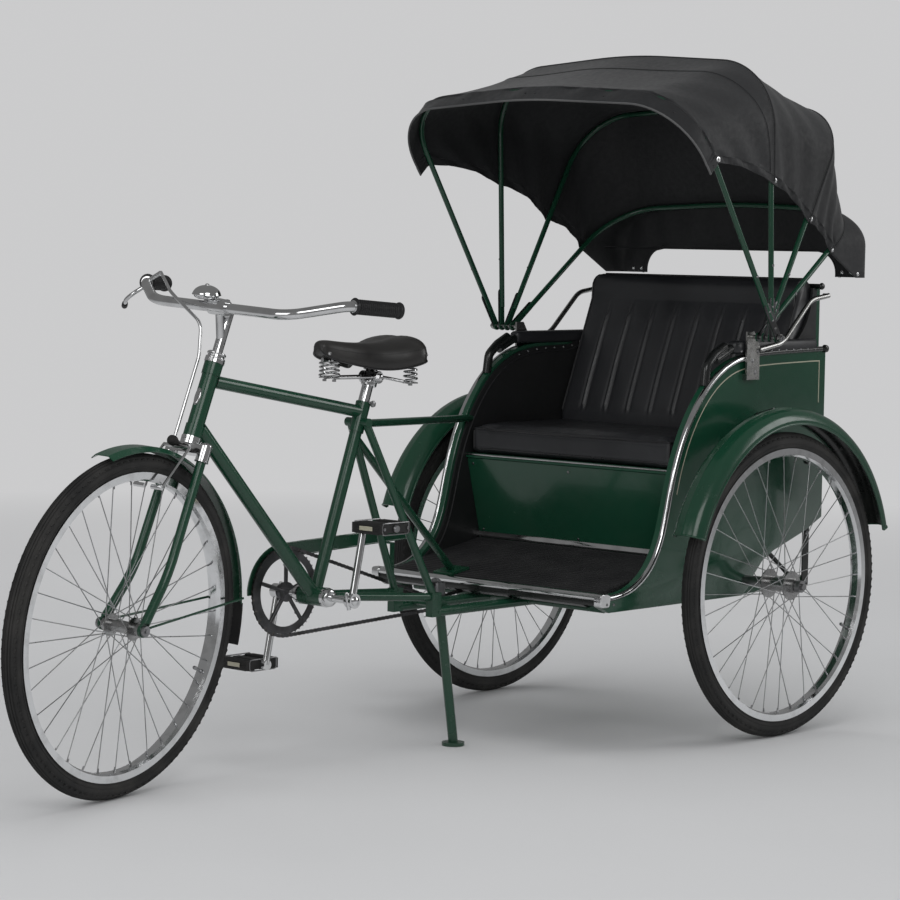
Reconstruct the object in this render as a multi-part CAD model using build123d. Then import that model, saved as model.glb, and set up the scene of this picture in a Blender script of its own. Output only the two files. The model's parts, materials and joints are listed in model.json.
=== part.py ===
"""Cycle rickshaw: a rear-drive bicycle half joined to a two-seat carriage with a folding hood.

Millimetres. X points forward and is measured from the rear axle while building, Y points left,
Z points up from the ground. The finished pieces are moved along X so that the origin lies under
the middle of the whole machine. Each named piece is written to parts/NAME.step.
"""
from build123d import *
from math import acos, atan2, cos, hypot, pi, radians, sin, sqrt, tan
import os

# ---------------------------------------------------------------- wheels
WHEEL_R = 357.5            # outside radius of a 28 inch tyre
RIM_SEAT_R = 320.0         # where tyre and rim meet
RIM_INNER_R = 301.0
RIM_HALF = 16.0
SPOKES = 36
SPOKE_R = 1.1
CROSS_ANGLE = 52.0         # how far round the hub a spoke starts from where it ends
# tyre section, columns: height above the seat as a share of the section, half width in mm
TYRE_STEPS = ((0.0, 14.0), (0.35, 19.5), (0.75, 16.0), (1.0, 6.0))

# ---------------------------------------------------------------- layout
REAR_TRACK = 908.0
FRONT_WHEEL_X = 1630.0
AXLE_R = 12.0
STUB_R = 8.0
BEARING_GAP = 0.05         # radial running fit of a shaft in its bore
RUNNING_GAP = 1.0          # end gap between a turning piece and what holds it

# ---------------------------------------------------------------- bicycle frame
HEAD_ANGLE = 68.5          # steering axis above the horizontal
HEAD_LENGTH = 163.0
HEAD_R = 18.0
HEAD_BORE_R = 13.5
HEAD_BOTTOM_Z = 736.0
FORK_OFFSET = 40.0
STEER = 11.0               # how far left the bars are turned as it stands
TUBE_R = 13.5
STAY_R = 9.0
BB_X, BB_Z = 1078.0, 375.0
BB_R, BB_HALF = 21.0, 35.0
SEAT_TOP_X, SEAT_TOP_Z = 934.0, 792.0
TOP_TUBE_DROP = 22.0       # top tube's rear end below the seat lug's top
STAY_FOOT_X, STAY_FOOT_Z, STAY_FOOT_Y = 764.0, 352.0, 60.0
POST_R = 12.5
POST_TOP_Z = 862.0

# ---------------------------------------------------------------- handlebar and controls
STEM_REACH = 36.0
STEM_RISE = 275.0          # bar's centre above the head tube's foot, along the steering axis
BAR_R = 11.0
# columns: distance back, distance out, rise, from the middle of the clamp
BAR_POINTS = ((0.0, 175.0, 0.0), (84.0, 268.0, 27.0), (205.0, 312.0, 19.0))
BAR_BENDS = (90.0, 70.0)   # at the first and the second of these points
GRIP_R = 16.0
BELL_R = 30.0

# ---------------------------------------------------------------- drive
CHAIN_Y = -90.0
CHAIN_HALF = 3.0
CHAIN_DEPTH = 8.0
RING_R = 93.0
COG_R = 33.0
IDLER_X, IDLER_Z, IDLER_R = 600.0, 347.0, 22.0
CRANK_LENGTH = 165.0
CRANK_ANGLE = 12.0         # right crank forward of straight down
CRANK_Y = 116.0            # middle of each crank arm
PEDAL_HALF = 45.0
PEDAL_WIDTH = 88.0

# ---------------------------------------------------------------- carriage
PANEL_Y = 352.0            # outside of the side panels
PANEL_T = 20.0
LINING_T = 6.0
FLOOR_FRONT_X, FLOOR_FRONT_Z = 526.0, 362.0
FLOOR_REAR_X, FLOOR_REAR_Z = 247.0, 410.0
FLOOR_T = 12.0
MAT_T = 5.0
PANEL_FOOT_Z = 322.0
SIDE_TOE_R = 130.0         # sweep from the floor up to the front edge
SIDE_FRONT_X = 205.0
SIDE_BREAK_Z = 610.0
SIDE_SHOULDER_R = 285.0    # sweep from the front edge back to the arm
SIDE_RISE_R = 150.0        # sweep from the arm up to the back
SIDE_ARM_BACK_X = -110.0
BACK_X = -300.0
BACK_T = 15.0
BEAD_R = 7.0
SEAT_TOP = 702.0
CUSHION_T = 72.0
SEAT_DEPTH_X = -100.0      # where cushion and backrest meet
BACKREST_TOP_X = -232.0
BACKREST_TOP_Z = 1068.0
SOFT_GAP = 0.4

# ---------------------------------------------------------------- mudguards
FENDER_R = 400.0
FENDER_LIFT = 15.0
FENDER_OUT_Y = 500.0
FENDER_T = 3.0
FENDER_START, FENDER_END = 16.0, 169.0
GUARD_GAP = 13.0
GUARD_T = 2.0
GUARD_START, GUARD_END = 75.0, 178.0
FLAP_END = 192.0

# ---------------------------------------------------------------- hood
PIVOT_X, PIVOT_Z = 15.0, 934.0
PIN_R = 5.0
BOW_R = 6.5
BOW_CORNER_R = 150.0
BOW_CROWN = 30.0
BOW_CROWN_R = 1500.0
STRAP_T = 3.0
STRAP_LENGTH = 62.0
# columns: name, degrees forward of upright, reach to the crown, half width, radius of the cloth's edge
BOWS = (
    ("front", 32.0, 672.0, 440.0, 469.0),
    ("top", 2.0, 656.0, 422.0, 355.0),
    ("shoulder", -29.0, 636.0, 404.0, 308.0),
    ("rear", -53.0, 525.0, 386.0, 330.0),
)
CLOTH_T = 3.0
CLOTH_GAP = 0.8
CLOTH_LIFT = 2.2           # more room where the cloth drops steeply from a bow
HEM_ANGLE = 4.5            # how far the cloth runs ahead of the front bow
CURTAIN_FOOT_Z = 1072.0
CURTAIN_ARCH_Z = 1135.0

# ---------------------------------------------------------------- stand
STAND_X, STAND_Y, STAND_Z = 712.0, 30.0, 326.0
STAND_FOOT_X = 660.0
STAND_R = 11.0
FOOT_R, FOOT_T = 26.0, 8.0

parts = {}
AXLE_Z = WHEEL_R


# ================================================================ helpers
def rod(start, end, radius):
    """A round bar between two points."""
    start, end = Vector(*start), Vector(*end)
    length = (end - start).length
    return Plane(origin=start, z_dir=end - start) * Cylinder(
        radius, length, align=(Align.CENTER, Align.CENTER, Align.MIN))


def pipe(points, bends, radius):
    """A round bar through the points, with one bend radius for each inner point."""
    path = FilletPolyline(*[Vector(*p) for p in points], radius=list(bends))
    return sweep(Plane(origin=path @ 0, z_dir=path % 0) * Circle(radius), path=path)


def block(low, high):
    """A box between two corners."""
    size = [h - l for l, h in zip(low, high)]
    middle = [(h + l) / 2 for l, h in zip(low, high)]
    return Pos(*middle) * Box(*size)


def across(x, z, radius, low, high):
    """A round bar along Y."""
    return rod((x, low, z), (x, high, z), radius)


def plate_y(face, low, high):
    """A flat outline in X and Z given thickness from low to high in Y."""
    return Pos(0, high, 0) * extrude(Plane.XZ * face, high - low)


def slab(points, low, high):
    """A plate between two values of Y, from corners given in X and Z."""
    return plate_y(make_face(Polyline(*points, close=True)), low, high)


def mirrored(solid):
    """The same piece on the other side of the middle."""
    return mirror(solid, about=Plane.XZ)


def both_sides(solid):
    """A piece and its mirror image as solids of one node."""
    return Compound(children=[solid, mirrored(solid)])


def turned(section, centre, start, sweep_angle):
    """Turn an outline of (radius, y) points about a wheel's axle, from start degrees above forward."""
    face = make_face(Polyline(*section, close=True))
    ring = revolve(Plane.XY * face, Axis.Y, sweep_angle)
    return Pos(*centre) * Rot(0, -start, 0) * ring


# ================================================================ wheels
def tyre():
    height = WHEEL_R - RIM_SEAT_R
    left = [(RIM_SEAT_R + share * height, half) for share, half in TYRE_STEPS]
    right = [(r, -half) for r, half in reversed(left)]
    return revolve(make_face(Polyline(*left, *right, close=True)), Axis.Y, 360)


def rim():
    edge = 4.0
    section = ((RIM_SEAT_R, RIM_HALF), (RIM_INNER_R + edge, RIM_HALF), (RIM_INNER_R, RIM_HALF / 2),
               (RIM_INNER_R, -RIM_HALF / 2), (RIM_INNER_R + edge, -RIM_HALF), (RIM_SEAT_R, -RIM_HALF))
    return revolve(make_face(Polyline(*section, close=True)), Axis.Y, 360)


def wire_wheel(barrel_r, flange_r, flange_y, end_y, bore_r):
    """Rim, crossed spokes and hub as one solid, in the XZ plane about the origin."""
    flange_t = 3.0
    hub = across(0, 0, barrel_r, -end_y, end_y)
    for side in (-1, 1):
        hub += across(0, 0, flange_r, side * flange_y - flange_t / 2, side * flange_y + flange_t / 2)
    spokes = []
    for i in range(SPOKES):
        side = 1 if i % 2 else -1
        lean = CROSS_ANGLE if (i // 2) % 2 else -CROSS_ANGLE
        foot = radians(360.0 * i / SPOKES + lean)
        tip = radians(360.0 * i / SPOKES)
        foot_r, tip_r = flange_r - 3.0, RIM_INNER_R + 2.0
        spokes.append(rod((foot_r * cos(foot), side * flange_y, foot_r * sin(foot)),
                          (tip_r * cos(tip), side * 2.0, tip_r * sin(tip)), SPOKE_R))
    wheel = rim() + hub + spokes
    return wheel - across(0, 0, bore_r, -end_y - 1, end_y + 1)


HUB_END = 48.0
rear_wheel = wire_wheel(17.0, 34.0, 32.0, HUB_END, STUB_R + BEARING_GAP)
FRONT_AXLE_R = 5.0
DROPOUT_Y = 52.0
front_hub_end = DROPOUT_Y - 3.0 - RUNNING_GAP
front_wheel = wire_wheel(13.0, 24.0, 30.0, front_hub_end, FRONT_AXLE_R + BEARING_GAP)
tyre_ring = tyre()
for side, name in ((1, "left"), (-1, "right")):
    place = Pos(0, side * REAR_TRACK / 2, AXLE_Z)
    parts[f"rear_tyre_{name}"] = place * tyre_ring
    parts[f"rear_wheel_{name}"] = place * rear_wheel

# ================================================================ steering geometry
head_angle = radians(HEAD_ANGLE)
lean = sin(radians(STEER)) * cos(head_angle)       # how far the turned wheel's axle tips
reach_down = max((RIM_SEAT_R + share * (WHEEL_R - RIM_SEAT_R)) * sqrt(1 - lean ** 2) + half * lean
                 for share, half in TYRE_STEPS)
FRONT_AXLE_Z = reach_down + FORK_OFFSET * cos(head_angle) * (1 - cos(radians(STEER)))
AXIS_FOOT = (HEAD_BOTTOM_Z + FORK_OFFSET * cos(head_angle) - FRONT_AXLE_Z) / sin(head_angle)
HEAD_X = FRONT_WHEEL_X - FORK_OFFSET * sin(head_angle) - AXIS_FOOT * cos(head_angle)
steer_plane = Plane(origin=(HEAD_X, 0, HEAD_BOTTOM_Z), x_dir=(sin(head_angle), 0, cos(head_angle)),
                    z_dir=(-cos(head_angle), 0, sin(head_angle)))
steer_axis = Axis((HEAD_X, 0, HEAD_BOTTOM_Z), (-cos(head_angle), 0, sin(head_angle)))


def steer_point(forward, left, up):
    """A point given along the steering axis, as world coordinates with the wheel straight."""
    return tuple(steer_plane.from_local_coords(Vector(forward, left, up)))


def steer_rod(start, end, radius):
    return rod(steer_point(*start), steer_point(*end), radius)


def head_point(up):
    return steer_point(0, 0, up)


# ================================================================ bicycle frame
bb = (BB_X, 0, BB_Z)
seat_top = (SEAT_TOP_X, 0, SEAT_TOP_Z)
seat_line = (Vector(*seat_top) - Vector(*bb)).normalized()


def seat_point(distance):
    """A point up the seat tube from the bottom bracket."""
    return tuple(Vector(*bb) + seat_line * distance)


seat_length = (Vector(*seat_top) - Vector(*bb)).length
CUP_T = 8.0
head_tube = rod(head_point(0), head_point(HEAD_LENGTH), HEAD_R)
head_tube -= rod(head_point(-1), head_point(HEAD_LENGTH + 1), HEAD_BORE_R)
LUG = 26.0
for low in (0.0, HEAD_LENGTH - LUG):
    ring = rod(head_point(low), head_point(low + LUG), HEAD_R + 2.0)
    head_tube += ring - rod(head_point(low - 1), head_point(low + LUG + 1), HEAD_BORE_R)
parts["head_tube"] = head_tube
solid_head = rod(head_point(0), head_point(HEAD_LENGTH), HEAD_R + 2.0)
cups = []
for low, high in ((-CUP_T, 0.0), (HEAD_LENGTH, HEAD_LENGTH + CUP_T)):
    cups.append(rod(head_point(low), head_point(high), HEAD_R + 3.5)
                - rod(head_point(low - 1), head_point(high + 1), HEAD_BORE_R))
parts["headset_cups"] = Compound(children=cups)

bb_shell = across(BB_X, BB_Z, BB_R, -BB_HALF, BB_HALF)
SPINDLE_R = 8.0
bb_bore = across(BB_X, BB_Z, SPINDLE_R + BEARING_GAP, -BB_HALF - 1, BB_HALF + 1)
parts["bottom_bracket_shell"] = bb_shell - bb_bore

LUG_DROP = 34.0
seat_lug = rod(seat_point(seat_length - 2 * LUG_DROP), seat_top, TUBE_R + 3.0)
post_bore = rod(seat_point(seat_length - 120.0), seat_point(seat_length + 80.0), POST_R)
seat_tube = rod(bb, seat_top, TUBE_R) + seat_lug - bb_shell - post_bore
top_tube = rod(head_point(HEAD_LENGTH - 38.0), seat_point(seat_length - TOP_TUBE_DROP), TUBE_R)
parts["top_tube"] = top_tube - solid_head - rod(bb, seat_top, TUBE_R) - seat_lug
down_tube = rod(head_point(30.0), bb, TUBE_R + 2.0)
parts["down_tube"] = (down_tube - solid_head - bb_shell - rod(bb, seat_top, TUBE_R)).solids().sort_by(
    SortBy.VOLUME)[-1]

cluster = seat_point(seat_length - 46.0)
CLUSTER_Y = 24.0
stays = rod((cluster[0], CLUSTER_Y, cluster[2]), (STAY_FOOT_X, STAY_FOOT_Y, STAY_FOOT_Z), STAY_R)
chain_stay = rod((BB_X, BB_HALF - STAY_R - 2, BB_Z), (STAY_FOOT_X, STAY_FOOT_Y, STAY_FOOT_Z), STAY_R)
foot_knuckle = block((STAY_FOOT_X - 16, STAY_FOOT_Y - 10, STAY_FOOT_Z - 44),
                     (STAY_FOOT_X + 14, STAY_FOOT_Y + 10, STAY_FOOT_Z + 10))
RAIL_R = 11.0
RAIL_Z = 318.0
RAIL_END_X = -24.0
rail = rod((STAY_FOOT_X - 6, STAY_FOOT_Y, RAIL_Z), (RAIL_END_X, STAY_FOOT_Y, RAIL_Z), RAIL_R)
cluster_bolt = across(cluster[0], cluster[2], 10.0, -CLUSTER_Y - 10, CLUSTER_Y + 10)
seat_tube = seat_tube + (cluster_bolt - post_bore)
parts["seat_tube"] = seat_tube
seat_stays = both_sides(stays - seat_tube - foot_knuckle)
chain_stays = both_sides(chain_stay - bb_shell - foot_knuckle - stays)
parts["rear_stays"] = Compound(children=[*seat_stays.solids(), *chain_stays.solids()])

# ================================================================ axle and carriage frame
COG_T = 3.0
axle = across(0, AXLE_Z, AXLE_R, -REAR_TRACK / 2 + HUB_END + RUNNING_GAP,
              REAR_TRACK / 2 - HUB_END - RUNNING_GAP)
stub_end = REAR_TRACK / 2 + HUB_END + 22.0
axle += across(0, AXLE_Z, STUB_R, -stub_end, stub_end)
for side in (-1, 1):
    nut_in = side * (REAR_TRACK / 2 + HUB_END + RUNNING_GAP)
    axle += across(0, AXLE_Z, 14.0, *sorted((nut_in, nut_in + side * 14.0)))
axle += across(0, AXLE_Z, COG_R, CHAIN_Y - COG_T / 2, CHAIN_Y + COG_T / 2)
axle += across(0, AXLE_Z, COG_R / 2 + 3, CHAIN_Y - COG_T - 5, CHAIN_Y + COG_T + 5)
parts["rear_axle"] = axle
SILL_Y, SILL_Z, SILL_T = 296.0, 334.0, 24.0
# cross tubes, columns: x, z, radius
CROSS_TUBES = ((450.0, 320.0, 8.0), (236.0, 332.0, 11.0), (-190.0, 332.0, 11.0))
panel_in = PANEL_Y - PANEL_T
SILL_BACK_X, SILL_FRONT_X = -272.0, 500.0
sill = block((SILL_BACK_X, SILL_Y, PANEL_FOOT_Z), (SILL_FRONT_X, panel_in, PANEL_FOOT_Z + SILL_T))
HANGER_HALF = 22.0
hanger_top = AXLE_Z + AXLE_R + 8.0
sill += block((-HANGER_HALF, SILL_Y - 34, PANEL_FOOT_Z), (HANGER_HALF, SILL_Y, hanger_top))
axle_block = block((-HANGER_HALF, STAY_FOOT_Y - 12, RAIL_Z - 4), (HANGER_HALF, STAY_FOOT_Y + 12, hanger_top))
rail_side = rail + foot_knuckle + (axle_block - axle)
carriage_frame = [*both_sides(sill - axle).solids()]
for x, z, radius in CROSS_TUBES:
    tube = across(x, z, radius, -SILL_Y, SILL_Y) - rail_side - mirrored(rail_side)
    carriage_frame += tube.solids()
parts["carriage_frame"] = Compound(children=carriage_frame)
STAND_PIN_R = 5.0
stand_pin = across(STAND_X, STAND_Z, STAND_PIN_R, -STAY_FOOT_Y, STAY_FOOT_Y)
parts["centre_rails"] = rail_side + mirrored(rail_side) + stand_pin

# ================================================================ drive

def tangent(a, b, side):
    """Touching points of the outer common tangent of circles a and b, on the upper side if side is 1."""
    (ax, az, ar), (bx, bz, br) = a, b
    run = hypot(bx - ax, bz - az)
    along = ((bx - ax) / run, (bz - az) / run)
    up = (-along[1] * side, along[0] * side)
    s = (ar - br) / run
    c = sqrt(1 - s * s)
    normal = (along[0] * s + up[0] * c, along[1] * s + up[1] * c)
    return ((ax + ar * normal[0], az + ar * normal[1]), (bx + br * normal[0], bz + br * normal[1]))


def chain_outline(grow):
    """The chain's line around ring and cog and under the idler, moved out by grow."""
    ring = (BB_X, BB_Z, RING_R + grow)
    cog = (0.0, AXLE_Z, COG_R + grow)
    low_cog, low_ring = tangent(cog, ring, -1)
    # the upper run bends under the idler
    idler = (IDLER_X, IDLER_Z, -(IDLER_R + CHAIN_DEPTH - grow))
    ring_top, idler_front = cross_tangent(ring, idler)
    cog_top, idler_back = cross_tangent(cog, idler)
    return low_cog, low_ring, ring_top, idler_front, idler_back, cog_top


def cross_tangent(big, idler):
    """Tangent from the top of one circle to the underside of the idler."""
    bx, bz, br = big
    ix, iz, ir = idler[0], idler[1], -idler[2]
    run = hypot(ix - bx, iz - bz)
    toward = atan2(iz - bz, ix - bx)
    swing = acos((br + ir) / run)
    turn = toward + swing if ix > bx else toward - swing
    touch = (bx + br * cos(turn), bz + br * sin(turn))
    under = (ix - ir * cos(turn), iz - ir * sin(turn))
    return touch, under


def chain_face(grow):
    low_cog, low_ring, ring_top, idler_front, idler_back, cog_top = chain_outline(grow)
    ring_front = (BB_X + RING_R + grow, BB_Z)
    cog_back = (-COG_R - grow, AXLE_Z)
    idler_low = (IDLER_X, IDLER_Z - (IDLER_R + CHAIN_DEPTH - grow))
    edges = [Line(low_cog, low_ring), ThreePointArc(low_ring, ring_front, ring_top),
             Line(ring_top, idler_front), ThreePointArc(idler_front, idler_low, idler_back),
             Line(idler_back, cog_top), ThreePointArc(cog_top, cog_back, low_cog)]
    return make_face(Curve() + edges)


CHAIN_SEAT = 0.3
chain_loop = chain_face(CHAIN_SEAT + CHAIN_DEPTH) - chain_face(CHAIN_SEAT)
parts["chain"] = plate_y(chain_loop, CHAIN_Y - CHAIN_HALF, CHAIN_Y + CHAIN_HALF)
idler_bolt = 4.0
idler = across(IDLER_X, IDLER_Z, IDLER_R - CHAIN_SEAT, CHAIN_Y - 3, CHAIN_Y + 3)
rail_out = STAY_FOOT_Y + RAIL_R
idler_arm = block((IDLER_X - 12, -rail_out - 6, RAIL_Z - 8), (IDLER_X + 12, -rail_out + 2, IDLER_Z + 12))
parts["chain_idler"] = idler + across(IDLER_X, IDLER_Z, idler_bolt, CHAIN_Y - 7, -rail_out) + (
    idler_arm - mirrored(rail))

ring_disc = across(BB_X, BB_Z, RING_R, CHAIN_Y - 1.5, CHAIN_Y + 1.5)
ring_disc -= across(BB_X, BB_Z, RING_R - 16, CHAIN_Y - 2, CHAIN_Y + 2)
for i in range(5):
    a = radians(90 + 72 * i)
    ring_disc += rod((BB_X + 14 * cos(a), CHAIN_Y, BB_Z + 14 * sin(a)),
                     (BB_X + (RING_R - 13) * cos(a), CHAIN_Y, BB_Z + (RING_R - 13) * sin(a)), 4.5)
boss = across(BB_X, BB_Z, 22.0, CHAIN_Y - 4, CHAIN_Y + 4)
spindle = across(BB_X, BB_Z, SPINDLE_R, -CRANK_Y - 10, CRANK_Y + 10)
parts["chainring"] = ring_disc + boss - spindle
crank_dir = (sin(radians(CRANK_ANGLE)), -cos(radians(CRANK_ANGLE)))
PEDAL_PIN_R = 6.0
arms = spindle
pedal_at = {}
for side, name in ((-1, "right"), (1, "left")):
    sign = 1 if side < 0 else -1
    tip = (BB_X + sign * CRANK_LENGTH * crank_dir[0], BB_Z + sign * CRANK_LENGTH * crank_dir[1])
    pedal_at[name] = tip
    arm = rod((BB_X, side * CRANK_Y, BB_Z), (tip[0], side * CRANK_Y, tip[1]), 8.0)
    arm += across(BB_X, BB_Z, 16.0, *sorted((side * (CRANK_Y - 10), side * (CRANK_Y + 10))))
    arm += across(tip[0], tip[1], 11.0, *sorted((side * (CRANK_Y - 7), side * (CRANK_Y + 7))))
    pin = across(tip[0], tip[1], PEDAL_PIN_R, *sorted((side * CRANK_Y, side * (CRANK_Y + 7 + PEDAL_WIDTH))))
    arms = arms + arm + pin
parts["cranks"] = arms
for side, name in ((-1, "right"), (1, "left")):
    x, z = pedal_at[name]
    inner = side * (CRANK_Y + 7 + RUNNING_GAP)
    outer = side * (CRANK_Y + 7 + PEDAL_WIDTH)
    low_y, high_y = sorted((inner, outer))
    body = block((x - 10, low_y, z - 10), (x + 10, high_y, z + 10))
    for lean_x in (-1, 1):
        cage_x = x + lean_x * (PEDAL_HALF - 10)
        body += block((cage_x - 10, low_y, z - 11), (cage_x + 10, high_y, z + 11))
    for y in (low_y, high_y - 6):
        body += block((x - PEDAL_HALF + 4, y, z - 9), (x + PEDAL_HALF - 4, y + 6, z + 9))
    parts[f"pedal_{name}"] = body - across(x, z, PEDAL_PIN_R + BEARING_GAP, low_y - 5, high_y + 5)

GUARD_BACK_X = 675.0
GUARD_LIFT = 14.0
guard_r = RING_R + GUARD_LIFT
guard_y = CHAIN_Y - CHAIN_HALF - 5.0
guard_face = make_face(Curve() + [
    ThreePointArc((BB_X + guard_r, BB_Z), (BB_X + guard_r * cos(pi / 4), BB_Z + guard_r * sin(pi / 4)),
                  (BB_X, BB_Z + guard_r)),
    Line((BB_X, BB_Z + guard_r), (GUARD_BACK_X, BB_Z + guard_r + 12)),
    Line((GUARD_BACK_X, BB_Z + guard_r + 12), (GUARD_BACK_X, BB_Z + guard_r - 16)),
    Line((GUARD_BACK_X, BB_Z + guard_r - 16), (BB_X, BB_Z + guard_r - 32)),
    ThreePointArc((BB_X, BB_Z + guard_r - 32),
                  (BB_X + (guard_r - 32) * cos(pi / 4), BB_Z + (guard_r - 32) * sin(pi / 4)),
                  (BB_X + guard_r - 32, BB_Z)),
    Line((BB_X + guard_r - 32, BB_Z), (BB_X + guard_r, BB_Z))])
guard_plate = plate_y(guard_face, guard_y - 2.0, guard_y)
STRAP_HALF = 6.0
strut_z = BB_Z + guard_r - 18
knuckle_out = -STAY_FOOT_Y - 10
guard_strap = block((STAY_FOOT_X - STRAP_HALF, knuckle_out - 3, STAY_FOOT_Z - 12), (
    STAY_FOOT_X + STRAP_HALF, knuckle_out, strut_z))
guard_strap += block((STAY_FOOT_X - STRAP_HALF, guard_y, strut_z - 3), (
    STAY_FOOT_X + STRAP_HALF, knuckle_out, strut_z))
parts["chain_guard"] = guard_plate + guard_strap
# ================================================================ saddle
parts["seat_post"] = rod(seat_point(seat_length - 118.0), seat_point(seat_length + 84.0), POST_R)
post_top = seat_point(seat_length + 66.0)
SADDLE_BASE_Z = post_top[2] + 32.0
SADDLE_T = 44.0
SADDLE_NOSE_X, SADDLE_TAIL_X = post_top[0] + 165.0, post_top[0] - 105.0
SADDLE_TAIL_HALF, SADDLE_NOSE_HALF = 102.0, 22.0
nose_x, tail_x, waist_x = SADDLE_NOSE_X, SADDLE_TAIL_X, post_top[0] + 30.0
saddle_outline = make_face(Curve() + [
    ThreePointArc((nose_x - 20, -SADDLE_NOSE_HALF), (nose_x, 0), (nose_x - 20, SADDLE_NOSE_HALF)),
    Line((nose_x - 20, SADDLE_NOSE_HALF), (waist_x, SADDLE_NOSE_HALF + 22)),
    Line((waist_x, SADDLE_NOSE_HALF + 22), (tail_x + 50, SADDLE_TAIL_HALF)),
    ThreePointArc((tail_x + 50, SADDLE_TAIL_HALF), (tail_x, 0), (tail_x + 50, -SADDLE_TAIL_HALF)),
    Line((tail_x + 50, -SADDLE_TAIL_HALF), (waist_x, -SADDLE_NOSE_HALF - 22)),
    Line((waist_x, -SADDLE_NOSE_HALF - 22), (nose_x - 20, -SADDLE_NOSE_HALF))])
parts["saddle"] = Pos(0, 0, SADDLE_BASE_Z + SOFT_GAP) * extrude(saddle_outline, SADDLE_T)
SADDLE_RAIL_R = 4.0
SPRING_X, SPRING_Y, SPRING_R = post_top[0] - 62.0, 62.0, 16.0
SPRING_FOOT_Z = SADDLE_BASE_Z - 46.0
saddle_frame = Pos(post_top[0], 0, SADDLE_BASE_Z - 40) * Box(34, 2 * 27, 22)
for side in (-1, 1):
    rail_low = (SPRING_X, side * SPRING_Y, SPRING_FOOT_Z - 5)
    rail_mid = (post_top[0], side * 22, SADDLE_BASE_Z - 37)
    rail_nose = (SADDLE_NOSE_X - 42, side * 9, SADDLE_BASE_Z - 7)
    saddle_frame += pipe((rail_low, rail_mid, rail_nose), (60.0,), SADDLE_RAIL_R)
saddle_frame += across(SADDLE_NOSE_X - 48, SADDLE_BASE_Z - 8.5, SADDLE_RAIL_R + 2, -15, 15)
springs = []
for y in (-SPRING_Y, SPRING_Y):
    saddle_frame += Pos(SPRING_X, y, SPRING_FOOT_Z - 3) * Cylinder(SPRING_R + 2, 6)
    springs.append(Pos(SPRING_X, y, SPRING_FOOT_Z) * Cylinder(
        SPRING_R, SADDLE_BASE_Z - SPRING_FOOT_Z, align=(Align.CENTER, Align.CENTER, Align.MIN)))
saddle_frame -= rod(seat_point(seat_length), seat_point(seat_length + 84.0), POST_R)
parts["saddle_frame"] = Compound(children=[*saddle_frame.solids(), *springs])

# ================================================================ carriage
shoulder_x = SIDE_FRONT_X - SIDE_SHOULDER_R
arm_z = SIDE_BREAK_Z + SIDE_SHOULDER_R
back_top_z = arm_z + SIDE_RISE_R


def side_edge(inset):
    """The carved front and top edge of a side panel, from the toe to the top of the back."""
    toe_x = SIDE_FRONT_X + SIDE_TOE_R
    toe_r, shoulder_r, rise_r = SIDE_TOE_R + inset, SIDE_SHOULDER_R - inset, SIDE_RISE_R + inset
    toe_z = FLOOR_FRONT_Z - inset
    toe_mid, turn = (toe_x, toe_z + toe_r), sqrt(0.5)
    shoulder = (shoulder_x, SIDE_BREAK_Z)
    rise = (SIDE_ARM_BACK_X, back_top_z)
    lower = (toe_mid[0] - toe_r, toe_mid[1])
    edges = [
        Line((FLOOR_FRONT_X, toe_z), (toe_x, toe_z)),
        ThreePointArc((toe_x, toe_z), (toe_x - toe_r * turn, toe_mid[1] - toe_r * turn), lower),
        Line(lower, (shoulder[0] + shoulder_r, shoulder[1])),
        ThreePointArc((shoulder[0] + shoulder_r, shoulder[1]),
                      (shoulder[0] + shoulder_r * turn, shoulder[1] + shoulder_r * turn),
                      (shoulder[0], shoulder[1] + shoulder_r)),
        Line((shoulder[0], shoulder[1] + shoulder_r), (rise[0], rise[1] - rise_r)),
        ThreePointArc((rise[0], rise[1] - rise_r), (rise[0] - rise_r * turn, rise[1] - rise_r * turn),
                      (rise[0] - rise_r, rise[1])),
    ]
    return edges, (rise[0] - rise_r, rise[1])


def side_face(inset, foot_z, back_x):
    edges, top = side_edge(inset)
    toe = (FLOOR_FRONT_X, FLOOR_FRONT_Z - inset)
    outline = edges + [Line(top, (back_x, top[1])), Line((back_x, top[1]), (back_x, foot_z)),
                       Line((back_x, foot_z), (toe[0], foot_z)), Line((toe[0], foot_z), toe)]
    return make_face(Curve() + outline)


panel = plate_y(side_face(0.0, PANEL_FOOT_Z, BACK_X), panel_in, PANEL_Y)
bead_edges, bead_end = side_edge(BEAD_R + 1.0)
bead_path = Plane(origin=(0, PANEL_Y, 0), x_dir=(1, 0, 0), z_dir=(0, -1, 0)) * (Curve() + bead_edges)
bead_wire = Wire(bead_path.edges())
bead = sweep(Plane(origin=bead_wire @ 0, z_dir=bead_wire % 0) * Circle(BEAD_R), path=bead_wire)
panel = panel - axle
parts["side_panels"] = both_sides(panel)
side_beads = both_sides(bead - panel)
cabin_half = panel_in - LINING_T
floor_slope = (FLOOR_REAR_Z - FLOOR_FRONT_Z) / (FLOOR_REAR_X - FLOOR_FRONT_X)


def floor_z(x):
    return FLOOR_FRONT_Z + (x - FLOOR_FRONT_X) * floor_slope


def floor_layer(low, high, front_x, back_x, half):
    """A board that follows the slope of the floor."""
    corners = ((front_x, floor_z(front_x) + low), (front_x, floor_z(front_x) + high),
               (back_x, floor_z(back_x) + high), (back_x, floor_z(back_x) + low))
    return slab(corners, -half, half)


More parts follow.
